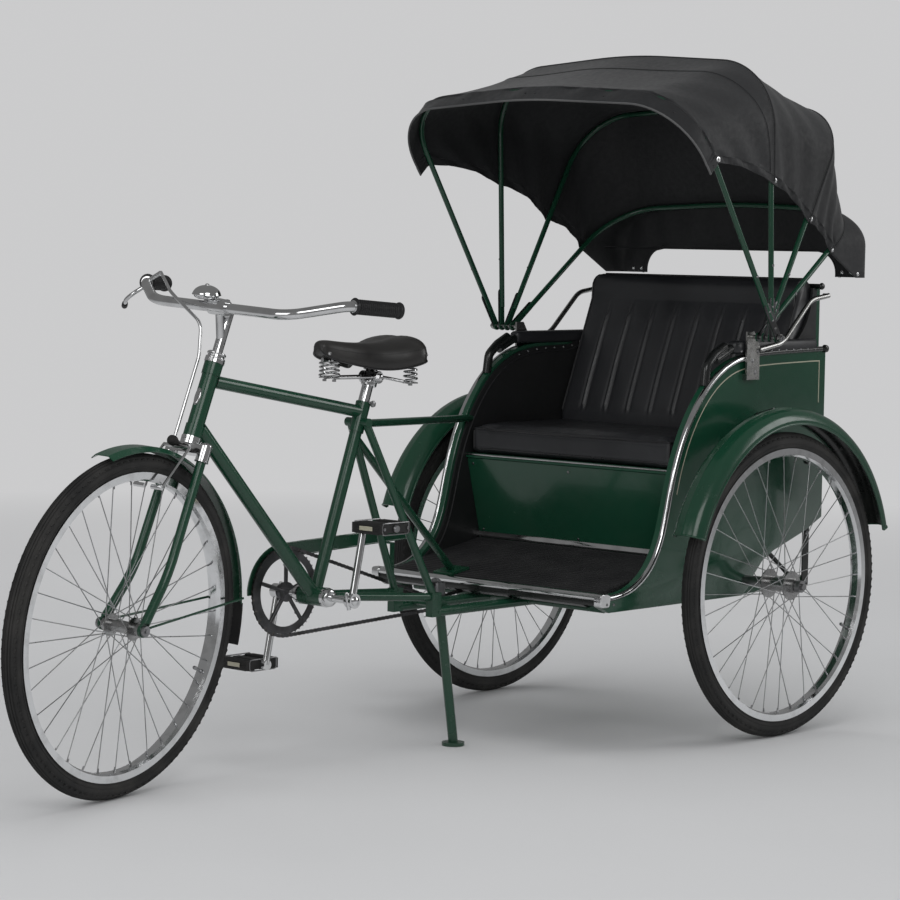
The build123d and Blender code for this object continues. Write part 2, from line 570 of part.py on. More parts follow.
floor_board = floor_layer(-MAT_T - FLOOR_T, -MAT_T, FLOOR_FRONT_X, FLOOR_REAR_X, panel_in)
parts["floor_mat"] = floor_layer(-MAT_T, 0.0, FLOOR_FRONT_X - 2, FLOOR_REAR_X, cabin_half - SOFT_GAP)
TRIM_T = 8.0
floor_trim = block((FLOOR_FRONT_X, -PANEL_Y, FLOOR_FRONT_Z - 24), (
    FLOOR_FRONT_X + TRIM_T, PANEL_Y, FLOOR_FRONT_Z + 4))
lip_foot_z = RAIL_Z + RAIL_R + 2.0
front_lip = slab(((FLOOR_FRONT_X, FLOOR_FRONT_Z - 24), (FLOOR_FRONT_X, FLOOR_FRONT_Z - 17),
                  (FLOOR_FRONT_X - 22, FLOOR_FRONT_Z - 17 - floor_slope * 22),
                  (FLOOR_FRONT_X - 24, lip_foot_z), (FLOOR_FRONT_X - 16, lip_foot_z)), -SILL_Y, SILL_Y)
chain_notch = block((FLOOR_FRONT_X - 40, CHAIN_Y - CHAIN_HALF - 8, lip_foot_z - 10), (
    FLOOR_FRONT_X + 20, CHAIN_Y + CHAIN_HALF + 8, FLOOR_FRONT_Z - 18))
parts["floor_board"] = floor_board + (front_lip - chain_notch)
lining_back_x = BACK_X + BACK_T
lining_clip = slab(((FLOOR_FRONT_X, FLOOR_FRONT_Z - MAT_T), (FLOOR_FRONT_X, 2000.0), (lining_back_x, 2000.0),
                    (lining_back_x, floor_z(lining_back_x) - MAT_T)), panel_in - LINING_T, panel_in)
lining = plate_y(side_face(10.0, PANEL_FOOT_Z, lining_back_x), panel_in - LINING_T, panel_in) & lining_clip
parts["side_linings"] = both_sides(lining)
BOX_T = 12.0
seat_base = SEAT_TOP - CUSHION_T
seat_front_x = FLOOR_REAR_X
box_foot = FLOOR_REAR_Z
front_board = block((seat_front_x - BOX_T, -cabin_half, box_foot - MAT_T - FLOOR_T), (
    seat_front_x, cabin_half, seat_base - BOX_T))
box_floor_z = AXLE_Z + COG_R + CHAIN_DEPTH + 10.0
seat_box = front_board + block((lining_back_x, -cabin_half, seat_base - BOX_T), (
    seat_front_x, cabin_half, seat_base - SOFT_GAP))
seat_box += block((lining_back_x, -cabin_half, box_floor_z), (
    seat_front_x - BOX_T, cabin_half, box_floor_z + BOX_T))
seat_box += block((BACK_X, -panel_in, PANEL_FOOT_Z + SILL_T), (lining_back_x, panel_in, back_top_z))
parts["seat_box"] = seat_box
STRIP_T = 3.0
seat_strips = [block((seat_front_x, -cabin_half, low), (seat_front_x + STRIP_T, cabin_half, low + 15))
               for low in (box_foot, seat_base - BOX_T - 8)]
parts["chrome_trim"] = Compound(children=[*side_beads.solids(), floor_trim, *seat_strips])
cushion_half = cabin_half - 3.0
parts["seat_cushion"] = block((SEAT_DEPTH_X + SOFT_GAP, -cushion_half, seat_base), (
    seat_front_x + 6, cushion_half, SEAT_TOP))
cushion_back_x = lining_back_x + SOFT_GAP
parts["backrest"] = slab(((SEAT_DEPTH_X, seat_base), (SEAT_DEPTH_X, SEAT_TOP + 20),
                          (BACKREST_TOP_X, BACKREST_TOP_Z), (cushion_back_x, BACKREST_TOP_Z),
                          (cushion_back_x, seat_base)), -cushion_half, cushion_half)
ARM_R = 11.0
ARM_FRONT_X = SIDE_FRONT_X - 120.0
arm_y = PANEL_Y - ARM_R - 1.0
ARM_BACK_X = SIDE_ARM_BACK_X + 12.0
arm = pipe(((ARM_FRONT_X + 34, arm_y, arm_z - 14), (ARM_FRONT_X - 22, arm_y, arm_z + ARM_R),
            (ARM_BACK_X, arm_y, arm_z + ARM_R)), (45.0,), ARM_R)
parts["arm_rails"] = both_sides(arm - panel - lining)
GRAB_R = 6.0
GRAB_END_X, GRAB_END_Z = BACK_X + 14.0, back_top_z - 16.0
GRAB_Y = PANEL_Y + BEAD_R + GRAB_R + 2.0
grab = pipe(((PIVOT_X - 30, GRAB_Y, arm_z + 8), (PIVOT_X - 120, GRAB_Y, arm_z + 22),
             (-215.0, GRAB_Y, back_top_z - 26), (GRAB_END_X, GRAB_Y, GRAB_END_Z)), (70.0, 60.0), GRAB_R)
grab += across(GRAB_END_X, GRAB_END_Z, GRAB_R - 1, PANEL_Y, GRAB_Y)
fender_section = ((FENDER_R, PANEL_Y + 1), (FENDER_R, FENDER_OUT_Y - 40), (FENDER_R - 10, FENDER_OUT_Y - 12),
                  (FENDER_R - 34, FENDER_OUT_Y), (FENDER_R - 34, FENDER_OUT_Y - FENDER_T),
                  (FENDER_R - 12, FENDER_OUT_Y - 15), (FENDER_R - FENDER_T, FENDER_OUT_Y - 42),
                  (FENDER_R - FENDER_T, PANEL_Y + 1))
flange = ((FENDER_R, PANEL_Y), (FENDER_R, PANEL_Y + 3), (FENDER_R - 26, PANEL_Y + 3), (FENDER_R - 26, PANEL_Y))
fender_centre = (0, 0, AXLE_Z + FENDER_LIFT)
fender_span = FENDER_END - FENDER_START
fender = turned(fender_section, fender_centre, FENDER_START, -fender_span) + turned(
    flange, fender_centre, FENDER_START, -fender_span)
parts["fenders"] = both_sides(fender - bead)

# ================================================================ braces from the bicycle half
BRACE_R = 9.0
side_hold = (SIDE_FRONT_X + 4.0, -PANEL_Y + BRACE_R + 3.0, 712.0)
side_brace = rod((cluster[0] - 6, -CLUSTER_Y - 4, cluster[2] - 6), side_hold, BRACE_R)
side_brace += block((side_hold[0] - 22, -PANEL_Y + 2, side_hold[2] - 18), (
    side_hold[0] + 6, -panel_in - 1, side_hold[2] + 16))
side_brace = side_brace - seat_tube - mirrored(stays) - mirrored(panel) - mirrored(bead) - mirrored(lining)
floor_hold = (482.0, -150.0, floor_z(482.0) + 6.0)
floor_brace = rod((cluster[0] - 18, -CLUSTER_Y + 2, cluster[2] - 40), floor_hold, BRACE_R)
floor_plate = floor_layer(0.0, 6.0, 512.0, 452.0, 30.0)
floor_brace = floor_brace + Pos(0, -150.0, 0) * floor_plate - parts["floor_mat"]
floor_brace = floor_brace - seat_tube - mirrored(stays) - side_brace
parts["carriage_braces"] = Compound(children=[max(b.solids(), key=lambda s: s.volume)
                                              for b in (side_brace, floor_brace)])

# ================================================================ stand
stand_leg = rod((STAND_X, STAND_Y, STAND_Z), (STAND_FOOT_X, STAND_Y, FOOT_T), STAND_R)
stand_leg += across(STAND_X, STAND_Z, STAND_R + 2, STAND_Y - 13, STAND_Y + 13)
stand_leg += Pos(STAND_FOOT_X, STAND_Y, FOOT_T / 2) * Cylinder(FOOT_R, FOOT_T)
parts["stand_leg"] = stand_leg - across(STAND_X, STAND_Z, STAND_PIN_R + BEARING_GAP, -STAY_FOOT_Y, STAY_FOOT_Y)

# ================================================================ hood
HOOD_SPAN = BOWS[0][3] + STRAP_T
plate_face = make_face(Polyline((PIVOT_X - 34, arm_z - 62), (PIVOT_X + 14, arm_z - 62), (PIVOT_X + 14, PIVOT_Z + 12),
                                (PIVOT_X - 12, PIVOT_Z + 12), (PIVOT_X - 34, PIVOT_Z - 24), close=True))
plate_in = PANEL_Y + BEAD_R + 1.0
hood_plate = plate_y(plate_face, plate_in, plate_in + 5)
hood_plate += block((PIVOT_X - 34, PANEL_Y, arm_z - 62), (PIVOT_X + 14, plate_in, arm_z - 48))
hood_pin = across(PIVOT_X, PIVOT_Z, PIN_R, plate_in, HOOD_SPAN + 6)
hood_pin += across(PIVOT_X, PIVOT_Z, PIN_R + 4, HOOD_SPAN + 3, HOOD_SPAN + 9)
parts["hood_brackets"] = both_sides(hood_plate + hood_pin + grab)
bow_bore = PIN_R + BEARING_GAP


def bow_plane(angle):
    """Plane of a bow: local x along Y, local y up the bow, at an angle forward of upright."""
    a = radians(angle)
    return Plane(origin=(PIVOT_X, 0, PIVOT_Z), x_dir=(0, 1, 0), z_dir=(cos(a), 0, -sin(a)))


def in_bow(angle, left, up):
    a = radians(angle)
    return (PIVOT_X + up * sin(a), left, PIVOT_Z + up * cos(a))


def hood_bow(angle, reach, half):
    points = [in_bow(angle, -half, STRAP_LENGTH - 14), in_bow(angle, -half, reach - BOW_CROWN),
              in_bow(angle, 0, reach), in_bow(angle, half, reach - BOW_CROWN),
              in_bow(angle, half, STRAP_LENGTH - 14)]
    bow = pipe(points, (BOW_CORNER_R, BOW_CROWN_R, BOW_CORNER_R), BOW_R)
    for side in (-1, 1):
        y = side * half
        strap = rod((PIVOT_X, y - STRAP_T / 2, PIVOT_Z), (PIVOT_X, y + STRAP_T / 2, PIVOT_Z), 11.0)
        tongue = Plane(origin=in_bow(angle, y, STRAP_LENGTH / 2), x_dir=(0, 1, 0),
                       z_dir=(sin(radians(angle)), 0, cos(radians(angle)))) * Box(STRAP_T, 14, STRAP_LENGTH)
        bow += strap + tongue
    return bow - across(PIVOT_X, PIVOT_Z, bow_bore, -HOOD_SPAN - 9, HOOD_SPAN + 9)


def cloth_edge(reach, half, foot, out):
    """The bow's line moved outwards, from one lower edge of the cloth to the other."""
    slope = atan2(BOW_CROWN, half)
    corner_up = reach - BOW_CROWN - out * tan(slope) + out / cos(slope)
    points = ((-half - out, foot), (-half - out, corner_up), (0, reach + out / cos(slope)),
              (half + out, corner_up), (half + out, foot))
    return FilletPolyline(*points, radius=[BOW_CORNER_R + out, BOW_CROWN_R + out, BOW_CORNER_R + out])


def cloth_face(angle, reach, half, foot, lift=0.0):
    """Closed outline of the cloth where it passes over a bow, lifted further off it if asked."""
    inner = BOW_R + CLOTH_GAP + lift
    outer = inner + CLOTH_T
    edges = [*cloth_edge(reach, half, foot, outer).edges(), *cloth_edge(reach, half, foot, inner).edges()]
    for side in (-1, 1):
        edges.append(Line((side * (half + outer), foot), (side * (half + inner), foot)))
    return bow_plane(angle) * make_face(edges)


for name, angle, reach, half, foot in BOWS:
    parts[f"hood_bow_{name}"] = hood_bow(angle, reach, half)
PANEL_SPLIT = 0.03         # degrees left open on each side of a bow between two panels of cloth
for i, (name, angle, reach, half, foot) in enumerate(BOWS[:-1]):
    _, angle_b, reach_b, half_b, foot_b = BOWS[i + 1]
    ahead = 0.0 if i == 0 else -PANEL_SPLIT
    steep_lift = CLOTH_LIFT if reach - reach_b > 50 else 0.0
    canopy = loft([cloth_face(angle + ahead, reach, half, foot, steep_lift),
                   cloth_face(angle_b + PANEL_SPLIT, reach_b, half_b, foot_b)], ruled=True)
    if i == 0:
        canopy += loft([cloth_face(angle + HEM_ANGLE, reach - 4, half, foot - 6),
                        cloth_face(angle, reach, half, foot)], ruled=True)
    parts[f"canopy_{name}"] = canopy

# the curtain closes the back of the hood behind the rear bow
_, rear_angle, rear_reach, rear_half, rear_foot = BOWS[-1]
cloth_in, cloth_out = BOW_R + CLOTH_GAP, BOW_R + CLOTH_GAP + CLOTH_T
curtain_x = in_bow(rear_angle, 0, rear_reach)[0] - cloth_out
foot_x, _, foot_z = in_bow(rear_angle, 0, rear_foot)


def curtain_block(out, back_x):
    """The space under the rear bow's line, swept straight back as far as the curtain."""
    edge = cloth_edge(rear_reach, rear_half, rear_foot, out)
    closing = Line(edge @ 0, edge @ 1)
    face = bow_plane(rear_angle) * make_face([*edge.edges(), closing])
    swept = extrude(face, 400.0, dir=(-1, 0, 0))
    side = slab(((foot_x, foot_z), (foot_x - 108, CURTAIN_FOOT_Z), (back_x, CURTAIN_FOOT_Z),
                 (back_x, 2000.0), (foot_x + 500, 2000.0)), -rear_half - out, rear_half + out)
    low = slab(((foot_x, foot_z), (foot_x - 108, CURTAIN_FOOT_Z), (back_x, CURTAIN_FOOT_Z),
                (back_x, foot_z)), -rear_half - out, rear_half + out)
    return (swept & side) + low


curtain_outer = curtain_block(cloth_out, curtain_x)
curtain_inner = curtain_block(cloth_in, curtain_x + CLOTH_T)
curtain = curtain_outer - curtain_inner - Pos(0, 0, -30) * curtain_inner
ARCH_HALF = 300.0
arch = block((curtain_x - 10, -ARCH_HALF, CURTAIN_FOOT_Z - 20), (curtain_x + 10, ARCH_HALF, CURTAIN_ARCH_Z))
arch = fillet(arch.edges().filter_by(Axis.X).group_by(Axis.Z)[-1], 55.0)
parts["rear_curtain"] = curtain - arch

# ================================================================ steering
STEERER_R = HEAD_BORE_R - BEARING_GAP
RACE_GAP = 0.5
CROWN_TOP, CROWN_LOW, SLEEVE_LOW = -16.0, -36.0, -50.0
BLADE_Y, BLADE_R, SLEEVE_R = 42.0, 10.0, 14.0
LOCKNUT = HEAD_LENGTH + CUP_T + 16.0
steering = {}
crown = steer_rod((0, 0, CROWN_TOP), (0, 0, LOCKNUT), STEERER_R)
crown += steer_rod((0, 0, CROWN_TOP), (0, 0, -CUP_T - RACE_GAP), HEAD_R + 3.5)
crown += steer_rod((0, 0, HEAD_LENGTH + CUP_T + RACE_GAP), (0, 0, LOCKNUT), HEAD_R)
crown_bar = steer_plane * (Pos(0, 0, (CROWN_TOP + CROWN_LOW) / 2) * Box(
    28, 2 * BLADE_Y, CROWN_TOP - CROWN_LOW))
crown += crown_bar
for side in (-1, 1):
    crown += steer_rod((0, side * BLADE_Y, SLEEVE_LOW), (0, side * BLADE_Y, CROWN_TOP), SLEEVE_R)
steering["fork_crown"] = crown
axle_up = -AXIS_FOOT
blades = []
for side in (-1, 1):
    points = [steer_point(0, side * BLADE_Y, SLEEVE_LOW), steer_point(2, side * (BLADE_Y + 3), axle_up + 130),
              steer_point(FORK_OFFSET, side * DROPOUT_Y, axle_up + 8)]
    blade = pipe(points, (300.0,), BLADE_R)
    blade += across(FRONT_WHEEL_X, FRONT_AXLE_Z, 14.0, *sorted((side * (DROPOUT_Y - 3), side * (DROPOUT_Y + 3))))
    blades.append(blade - crown - across(FRONT_WHEEL_X, FRONT_AXLE_Z, FRONT_AXLE_R, -90, 90) - across(
        FRONT_WHEEL_X, FRONT_AXLE_Z, 16.0, -DROPOUT_Y + 3, DROPOUT_Y - 3) - across(
        FRONT_WHEEL_X, FRONT_AXLE_Z, 16.0, *sorted((side * (DROPOUT_Y + 3), side * (DROPOUT_Y + 30)))))
steering["fork_blades"] = Compound(children=blades)
front_axle = across(FRONT_WHEEL_X, FRONT_AXLE_Z, FRONT_AXLE_R, -DROPOUT_Y - 14, DROPOUT_Y + 14)
for side in (-1, 1):
    front_axle += across(FRONT_WHEEL_X, FRONT_AXLE_Z, 11.0, *sorted(
        (side * (DROPOUT_Y + 3), side * (DROPOUT_Y + 11))))
steering["front_axle"] = front_axle
front_place = Pos(FRONT_WHEEL_X, 0, FRONT_AXLE_Z)
steering["front_tyre"] = front_place * tyre_ring
steering["front_wheel"] = front_place * front_wheel

clamp = steer_point(STEM_REACH, 0, STEM_RISE)
bar_points = [(clamp[0] - back, side * out, clamp[2] + rise) for side, row in (
    (-1, BAR_POINTS[::-1]), (1, BAR_POINTS)) for back, out, rise in row]
bar = pipe(bar_points, (BAR_BENDS[1], BAR_BENDS[0], BAR_BENDS[0], BAR_BENDS[1]), BAR_R)
steering["handlebar"] = bar
QUILL_R = 11.0
stem = steer_rod((0, 0, LOCKNUT), (0, 0, STEM_RISE + 4), QUILL_R)
stem += steer_rod((0, 0, LOCKNUT + 26), (STEM_REACH, 0, STEM_RISE), QUILL_R - 2)
stem += steer_rod((0, 0, STEM_RISE - 8), (STEM_REACH, 0, STEM_RISE), QUILL_R - 2)
stem += across(clamp[0], clamp[2], BAR_R + 5, -22, 22)
steering["stem"] = stem - across(clamp[0], clamp[2], BAR_R, -60, 60)
grips = []
for side in (-1, 1):
    inner, outer = [Vector(clamp[0] - b, side * o, clamp[2] + r) for b, o, r in BAR_POINTS[1:]]
    along = (outer - inner).normalized()
    grips.append(rod(tuple(inner + along * 14), tuple(outer + along * 4), GRIP_R) - bar)
steering["grips"] = Compound(children=grips)
bell_at = (clamp[0] + 2, -34.0, clamp[2])
dome = Sphere(BELL_R) & Pos(0, 0, BELL_R / 2) * Box(2 * BELL_R, 2 * BELL_R, BELL_R)
bell = Pos(bell_at[0], bell_at[1], bell_at[2] + BAR_R + 12) * scale(dome, (1, 1, 0.7))
bell += rod(bell_at, (bell_at[0], bell_at[1], bell_at[2] + BAR_R + 14), 5.0)
steering["bell"] = bell - bar

guard_in = WHEEL_R + GUARD_GAP
guard_section = ((guard_in, -16), (guard_in - 9, -28), (guard_in - 9 + GUARD_T, -29), (guard_in + GUARD_T, -17),
                 (guard_in + GUARD_T, 17), (guard_in - 9 + GUARD_T, 29), (guard_in - 9, 28), (guard_in, 16))
wheel_centre = (FRONT_WHEEL_X, 0, FRONT_AXLE_Z)
mudguard = turned(guard_section, wheel_centre, GUARD_START, GUARD_START - GUARD_END)
stay_turn = radians(GUARD_END - 2)
stay_top_r = guard_in - 6
for side in (-1, 1):
    hold = (FRONT_WHEEL_X + stay_top_r * cos(stay_turn), side * 31.0, FRONT_AXLE_Z + stay_top_r * sin(stay_turn))
    eye = (FRONT_WHEEL_X - 13.0, side * (DROPOUT_Y + 4), FRONT_AXLE_Z + 4)
    mudguard += rod(hold, eye, 2.5)
mudguard += steer_rod((2, 0, CROWN_LOW), (6, 0, axle_up + guard_in + 3), 6.0)
mudguard = mudguard - crown - steering["fork_blades"] - front_axle
steering["front_mudguard"] = max(mudguard.solids(), key=lambda s: s.volume)
flap_section = ((guard_in, -24), (guard_in + 3, -24), (guard_in + 3, 24), (guard_in, 24))
steering["mudguard_flap"] = turned(flap_section, wheel_centre, GUARD_END, GUARD_END - FLAP_END)

BRAKE_R = 3.5
bend_back, bend_out, bend_rise = BAR_POINTS[1]
bend_x, bend_z = clamp[0] - bend_back, clamp[2] + bend_rise
brake_line = [(bend_x - 14, -bend_out + 30, bend_z + 24), (clamp[0] + 24, -112.0, clamp[2] + 22),
              steer_point(52, -22, 232), steer_point(40, -12, 165), steer_point(40, -12, CROWN_LOW + 4)]
brake = pipe(brake_line, (60.0, 40.0, 60.0), BRAKE_R)
STIRRUP_Y, PAD_R = 34.0, RIM_INNER_R - 9.0
brake += steer_rod((40, -STIRRUP_Y, CROWN_LOW + 4), (40, STIRRUP_Y, CROWN_LOW + 4), 4.0)
pad_forward = FORK_OFFSET + 52.0
pad_up = axle_up + sqrt(PAD_R ** 2 - 52.0 ** 2)
for side in (-1, 1):
    brake += steer_rod((40, side * STIRRUP_Y, CROWN_LOW + 4), (pad_forward, side * STIRRUP_Y, pad_up), 3.0)
    brake += steer_rod((pad_forward, side * 9, pad_up), (pad_forward, side * (STIRRUP_Y + 2), pad_up), 5.0)
lever_root = Vector(bend_x + 8, -bend_out + 6, bend_z)
brake += rod(tuple(lever_root), brake_line[0], 4.5)
brake += pipe((tuple(lever_root + Vector(4, 2, -8)), tuple(lever_root + Vector(34, -22, -34)),
               tuple(lever_root + Vector(-20, -70, -58))), (30.0,), 4.5)
steering["front_brake"] = brake - bar - steering["grips"]

for name, solid in steering.items():
    parts[name] = solid.rotate(steer_axis, STEER)

# ================================================================ write the pieces
boxes = [solid.bounding_box() for solid in parts.values()]
low_x, high_x = min(b.min.X for b in boxes), max(b.max.X for b in boxes)
middle_x = (low_x + high_x) / 2
os.makedirs("parts", exist_ok=True)
for name, piece in parts.items():
    moved = [Pos(-middle_x, 0, 0) * solid for solid in piece.solids()]
    export_step(moved[0] if len(moved) == 1 else Compound(children=moved), f"parts/{name}.step")
print("pieces", len(parts), "middle", round(middle_x, 3), "length", round(high_x - low_x, 1))
print("front axle", FRONT_AXLE_Z, "head foot x", HEAD_X, "axis foot", AXIS_FOOT)
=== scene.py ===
"""Cycle rickshaw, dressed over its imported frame.

Sizes in the classes are in millimetres, measured along X from the rear axle, along Y from the
middle and along Z from the ground; `at` turns them into metres in the frame.
"""

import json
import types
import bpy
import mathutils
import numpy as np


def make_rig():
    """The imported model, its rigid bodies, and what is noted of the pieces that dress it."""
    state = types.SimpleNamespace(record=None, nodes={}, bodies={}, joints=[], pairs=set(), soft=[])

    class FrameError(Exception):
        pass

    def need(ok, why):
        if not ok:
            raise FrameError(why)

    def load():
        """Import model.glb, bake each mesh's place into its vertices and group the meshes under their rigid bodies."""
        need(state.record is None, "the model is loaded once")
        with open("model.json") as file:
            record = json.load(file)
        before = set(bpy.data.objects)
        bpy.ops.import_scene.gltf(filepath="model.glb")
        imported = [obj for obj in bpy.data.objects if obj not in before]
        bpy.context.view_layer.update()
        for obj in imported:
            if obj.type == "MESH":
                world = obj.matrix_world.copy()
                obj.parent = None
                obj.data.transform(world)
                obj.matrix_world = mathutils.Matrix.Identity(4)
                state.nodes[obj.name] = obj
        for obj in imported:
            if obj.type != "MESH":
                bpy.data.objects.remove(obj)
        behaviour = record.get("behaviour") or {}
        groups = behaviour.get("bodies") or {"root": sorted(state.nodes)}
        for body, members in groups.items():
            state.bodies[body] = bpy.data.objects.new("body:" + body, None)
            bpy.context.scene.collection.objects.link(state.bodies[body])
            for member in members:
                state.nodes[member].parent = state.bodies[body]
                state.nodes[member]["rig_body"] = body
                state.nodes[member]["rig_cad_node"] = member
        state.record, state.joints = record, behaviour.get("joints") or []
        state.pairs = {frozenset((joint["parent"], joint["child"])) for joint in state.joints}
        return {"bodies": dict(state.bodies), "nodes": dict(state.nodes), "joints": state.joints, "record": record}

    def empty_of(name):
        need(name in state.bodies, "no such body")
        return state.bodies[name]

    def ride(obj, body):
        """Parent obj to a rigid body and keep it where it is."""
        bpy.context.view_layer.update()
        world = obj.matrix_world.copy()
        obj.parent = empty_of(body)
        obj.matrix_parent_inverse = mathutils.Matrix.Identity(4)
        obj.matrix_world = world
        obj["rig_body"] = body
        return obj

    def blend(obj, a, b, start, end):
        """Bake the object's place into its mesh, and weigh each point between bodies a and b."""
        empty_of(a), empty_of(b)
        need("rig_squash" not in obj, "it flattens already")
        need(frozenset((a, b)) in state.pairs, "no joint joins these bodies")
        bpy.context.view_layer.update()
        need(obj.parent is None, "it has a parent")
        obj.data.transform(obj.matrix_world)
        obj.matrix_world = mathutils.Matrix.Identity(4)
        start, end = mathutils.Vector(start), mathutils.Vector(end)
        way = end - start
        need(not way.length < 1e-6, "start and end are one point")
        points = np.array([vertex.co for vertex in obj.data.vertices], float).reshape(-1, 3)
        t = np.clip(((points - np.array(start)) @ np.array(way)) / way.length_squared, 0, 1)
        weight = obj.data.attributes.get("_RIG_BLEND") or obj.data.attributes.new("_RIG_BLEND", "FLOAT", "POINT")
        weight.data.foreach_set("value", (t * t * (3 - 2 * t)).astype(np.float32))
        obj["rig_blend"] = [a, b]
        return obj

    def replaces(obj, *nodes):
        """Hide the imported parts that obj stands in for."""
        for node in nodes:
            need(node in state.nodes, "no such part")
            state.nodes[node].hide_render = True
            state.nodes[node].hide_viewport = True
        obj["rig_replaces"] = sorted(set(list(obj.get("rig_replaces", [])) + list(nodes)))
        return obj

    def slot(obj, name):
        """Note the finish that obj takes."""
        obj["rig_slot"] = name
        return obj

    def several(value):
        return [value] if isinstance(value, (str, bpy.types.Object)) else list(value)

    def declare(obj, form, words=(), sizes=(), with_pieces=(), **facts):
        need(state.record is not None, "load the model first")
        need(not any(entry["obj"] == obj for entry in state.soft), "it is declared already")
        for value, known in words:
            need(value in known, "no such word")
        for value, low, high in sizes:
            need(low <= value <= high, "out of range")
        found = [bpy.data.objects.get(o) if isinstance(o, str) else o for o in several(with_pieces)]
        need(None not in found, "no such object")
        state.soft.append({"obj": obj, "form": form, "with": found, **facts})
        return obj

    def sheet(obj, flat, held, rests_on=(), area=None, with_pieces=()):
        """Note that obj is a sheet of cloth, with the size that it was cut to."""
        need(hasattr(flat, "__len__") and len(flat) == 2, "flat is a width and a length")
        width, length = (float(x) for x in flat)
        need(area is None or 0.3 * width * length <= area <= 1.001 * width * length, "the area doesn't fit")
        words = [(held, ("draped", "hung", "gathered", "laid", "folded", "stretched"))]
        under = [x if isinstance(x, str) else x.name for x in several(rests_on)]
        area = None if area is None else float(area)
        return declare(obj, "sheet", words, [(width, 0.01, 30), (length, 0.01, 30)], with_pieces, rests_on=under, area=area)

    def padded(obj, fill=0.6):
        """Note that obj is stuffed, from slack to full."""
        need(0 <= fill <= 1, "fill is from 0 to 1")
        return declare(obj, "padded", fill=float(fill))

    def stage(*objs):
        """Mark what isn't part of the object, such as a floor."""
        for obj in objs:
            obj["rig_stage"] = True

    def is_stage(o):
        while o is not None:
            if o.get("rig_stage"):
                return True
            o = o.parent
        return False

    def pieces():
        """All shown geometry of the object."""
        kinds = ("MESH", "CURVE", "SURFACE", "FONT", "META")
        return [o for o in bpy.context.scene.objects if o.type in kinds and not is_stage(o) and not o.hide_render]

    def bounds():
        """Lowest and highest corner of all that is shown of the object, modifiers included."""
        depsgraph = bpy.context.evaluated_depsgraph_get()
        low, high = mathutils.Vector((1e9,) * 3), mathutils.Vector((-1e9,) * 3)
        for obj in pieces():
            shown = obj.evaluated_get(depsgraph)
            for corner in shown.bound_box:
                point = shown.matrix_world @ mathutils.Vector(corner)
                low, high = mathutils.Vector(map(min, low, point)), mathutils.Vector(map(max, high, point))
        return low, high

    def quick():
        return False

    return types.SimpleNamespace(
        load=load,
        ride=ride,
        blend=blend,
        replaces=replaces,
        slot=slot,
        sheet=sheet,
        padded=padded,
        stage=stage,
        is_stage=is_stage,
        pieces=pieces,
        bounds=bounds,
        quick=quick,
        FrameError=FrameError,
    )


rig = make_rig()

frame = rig.load()

import json
import logging
from dataclasses import dataclass, field
from enum import Enum
from math import acos, asin, atan2, cos, exp, hypot, pi, radians, sin, sqrt, tan
from typing import Callable, Iterable, Sequence

import bmesh
import bpy
from mathutils import Matrix, Quaternion, Vector
from mathutils.bvhtree import BVHTree

log = logging.getLogger("rickshaw")
Colour = tuple[float, float, float]
Point = Vector

CAD_BOX = [list(map(float, corner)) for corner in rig.bounds()]
AXLE_X: float = next(j["pos_m"][0] for j in frame["joints"] if j["name"] == "rear_wheel_left_spin")
UP, DOWN = Vector((0, 0, 1)), Vector((0, 0, -1))


# ================================================================ measures and paths
def at(x: float, y: float, z: float) -> Point:
    """A point given in millimetres from the rear axle's foot, in the frame's metres."""
    return Vector((x / 1000 + AXLE_X, y / 1000, z / 1000))


def ahead(p: Point) -> float:
    """How far a point is in front of the rear axle, in millimetres."""
    return (p.x - AXLE_X) * 1000


def sideways(side: float) -> Point:
    """The direction straight out to one side: left for 1 and right for -1."""
    return Vector((0, side, 0))


def other_side(p: Point) -> Point:
    """The same point on the machine's other side."""
    return Vector((p.x, -p.y, p.z))


def round_angles(count: int, first: float = 0.0) -> list[float]:
    """Angles spread evenly over one turn, from a share of a step on."""
    return [2 * pi * (k + first) / count for k in range(count)]


def straight(start: Point, end: Point, steps: int) -> list[Point]:
    """Points along a straight run.

    Args:
        start: first point.
        end: last point.
        steps: number of runs.

    Returns:
        steps + 1 points.
    """
    return [start.lerp(end, i / steps) for i in range(steps + 1)]


def round_corner(before: Point, corner: Point, after: Point, radius: float, steps: int) -> list[Point]:
    """Points of the arc that rounds one corner.

    Args:
        before: the point before the corner.
        corner: the corner itself.
        after: the point after it.
        radius: radius of the arc, in the points' unit.
        steps: number of runs in the arc.

    Returns:
        Points from where the arc leaves the first run to where it joins the second.
    """
    u, w = (before - corner).normalized(), (after - corner).normalized()
    half = acos(max(-1.0, min(1.0, u.dot(w)))) / 2
    if half > pi / 2 - 1e-3:
        return [corner.copy()]
    middle = corner + (u + w).normalized() * (radius / sin(half))
    first = corner + u * (radius / tan(half)) - middle
    last = corner + w * (radius / tan(half)) - middle
    swing = pi - 2 * half
    return [middle + (first * sin((1 - t / steps) * swing) + last * sin(t / steps * swing)) / sin(swing)
            for t in range(steps + 1)]


def rounded_path(corners: Sequence[Point], radii: Sequence[float], steps: int = 8) -> list[Point]:
    """A run of straight pieces with rounded corners.

    Args:
        corners: the path's corners, ends included.
        radii: one radius for each inner corner.
        steps: runs in each arc.

    Returns:
        The points of the path.
    """
    path = [corners[0].copy()]
    for i, radius in enumerate(radii):
        path += round_corner(corners[i], corners[i + 1], corners[i + 2], radius, steps)
    path.append(corners[-1].copy())
    return path


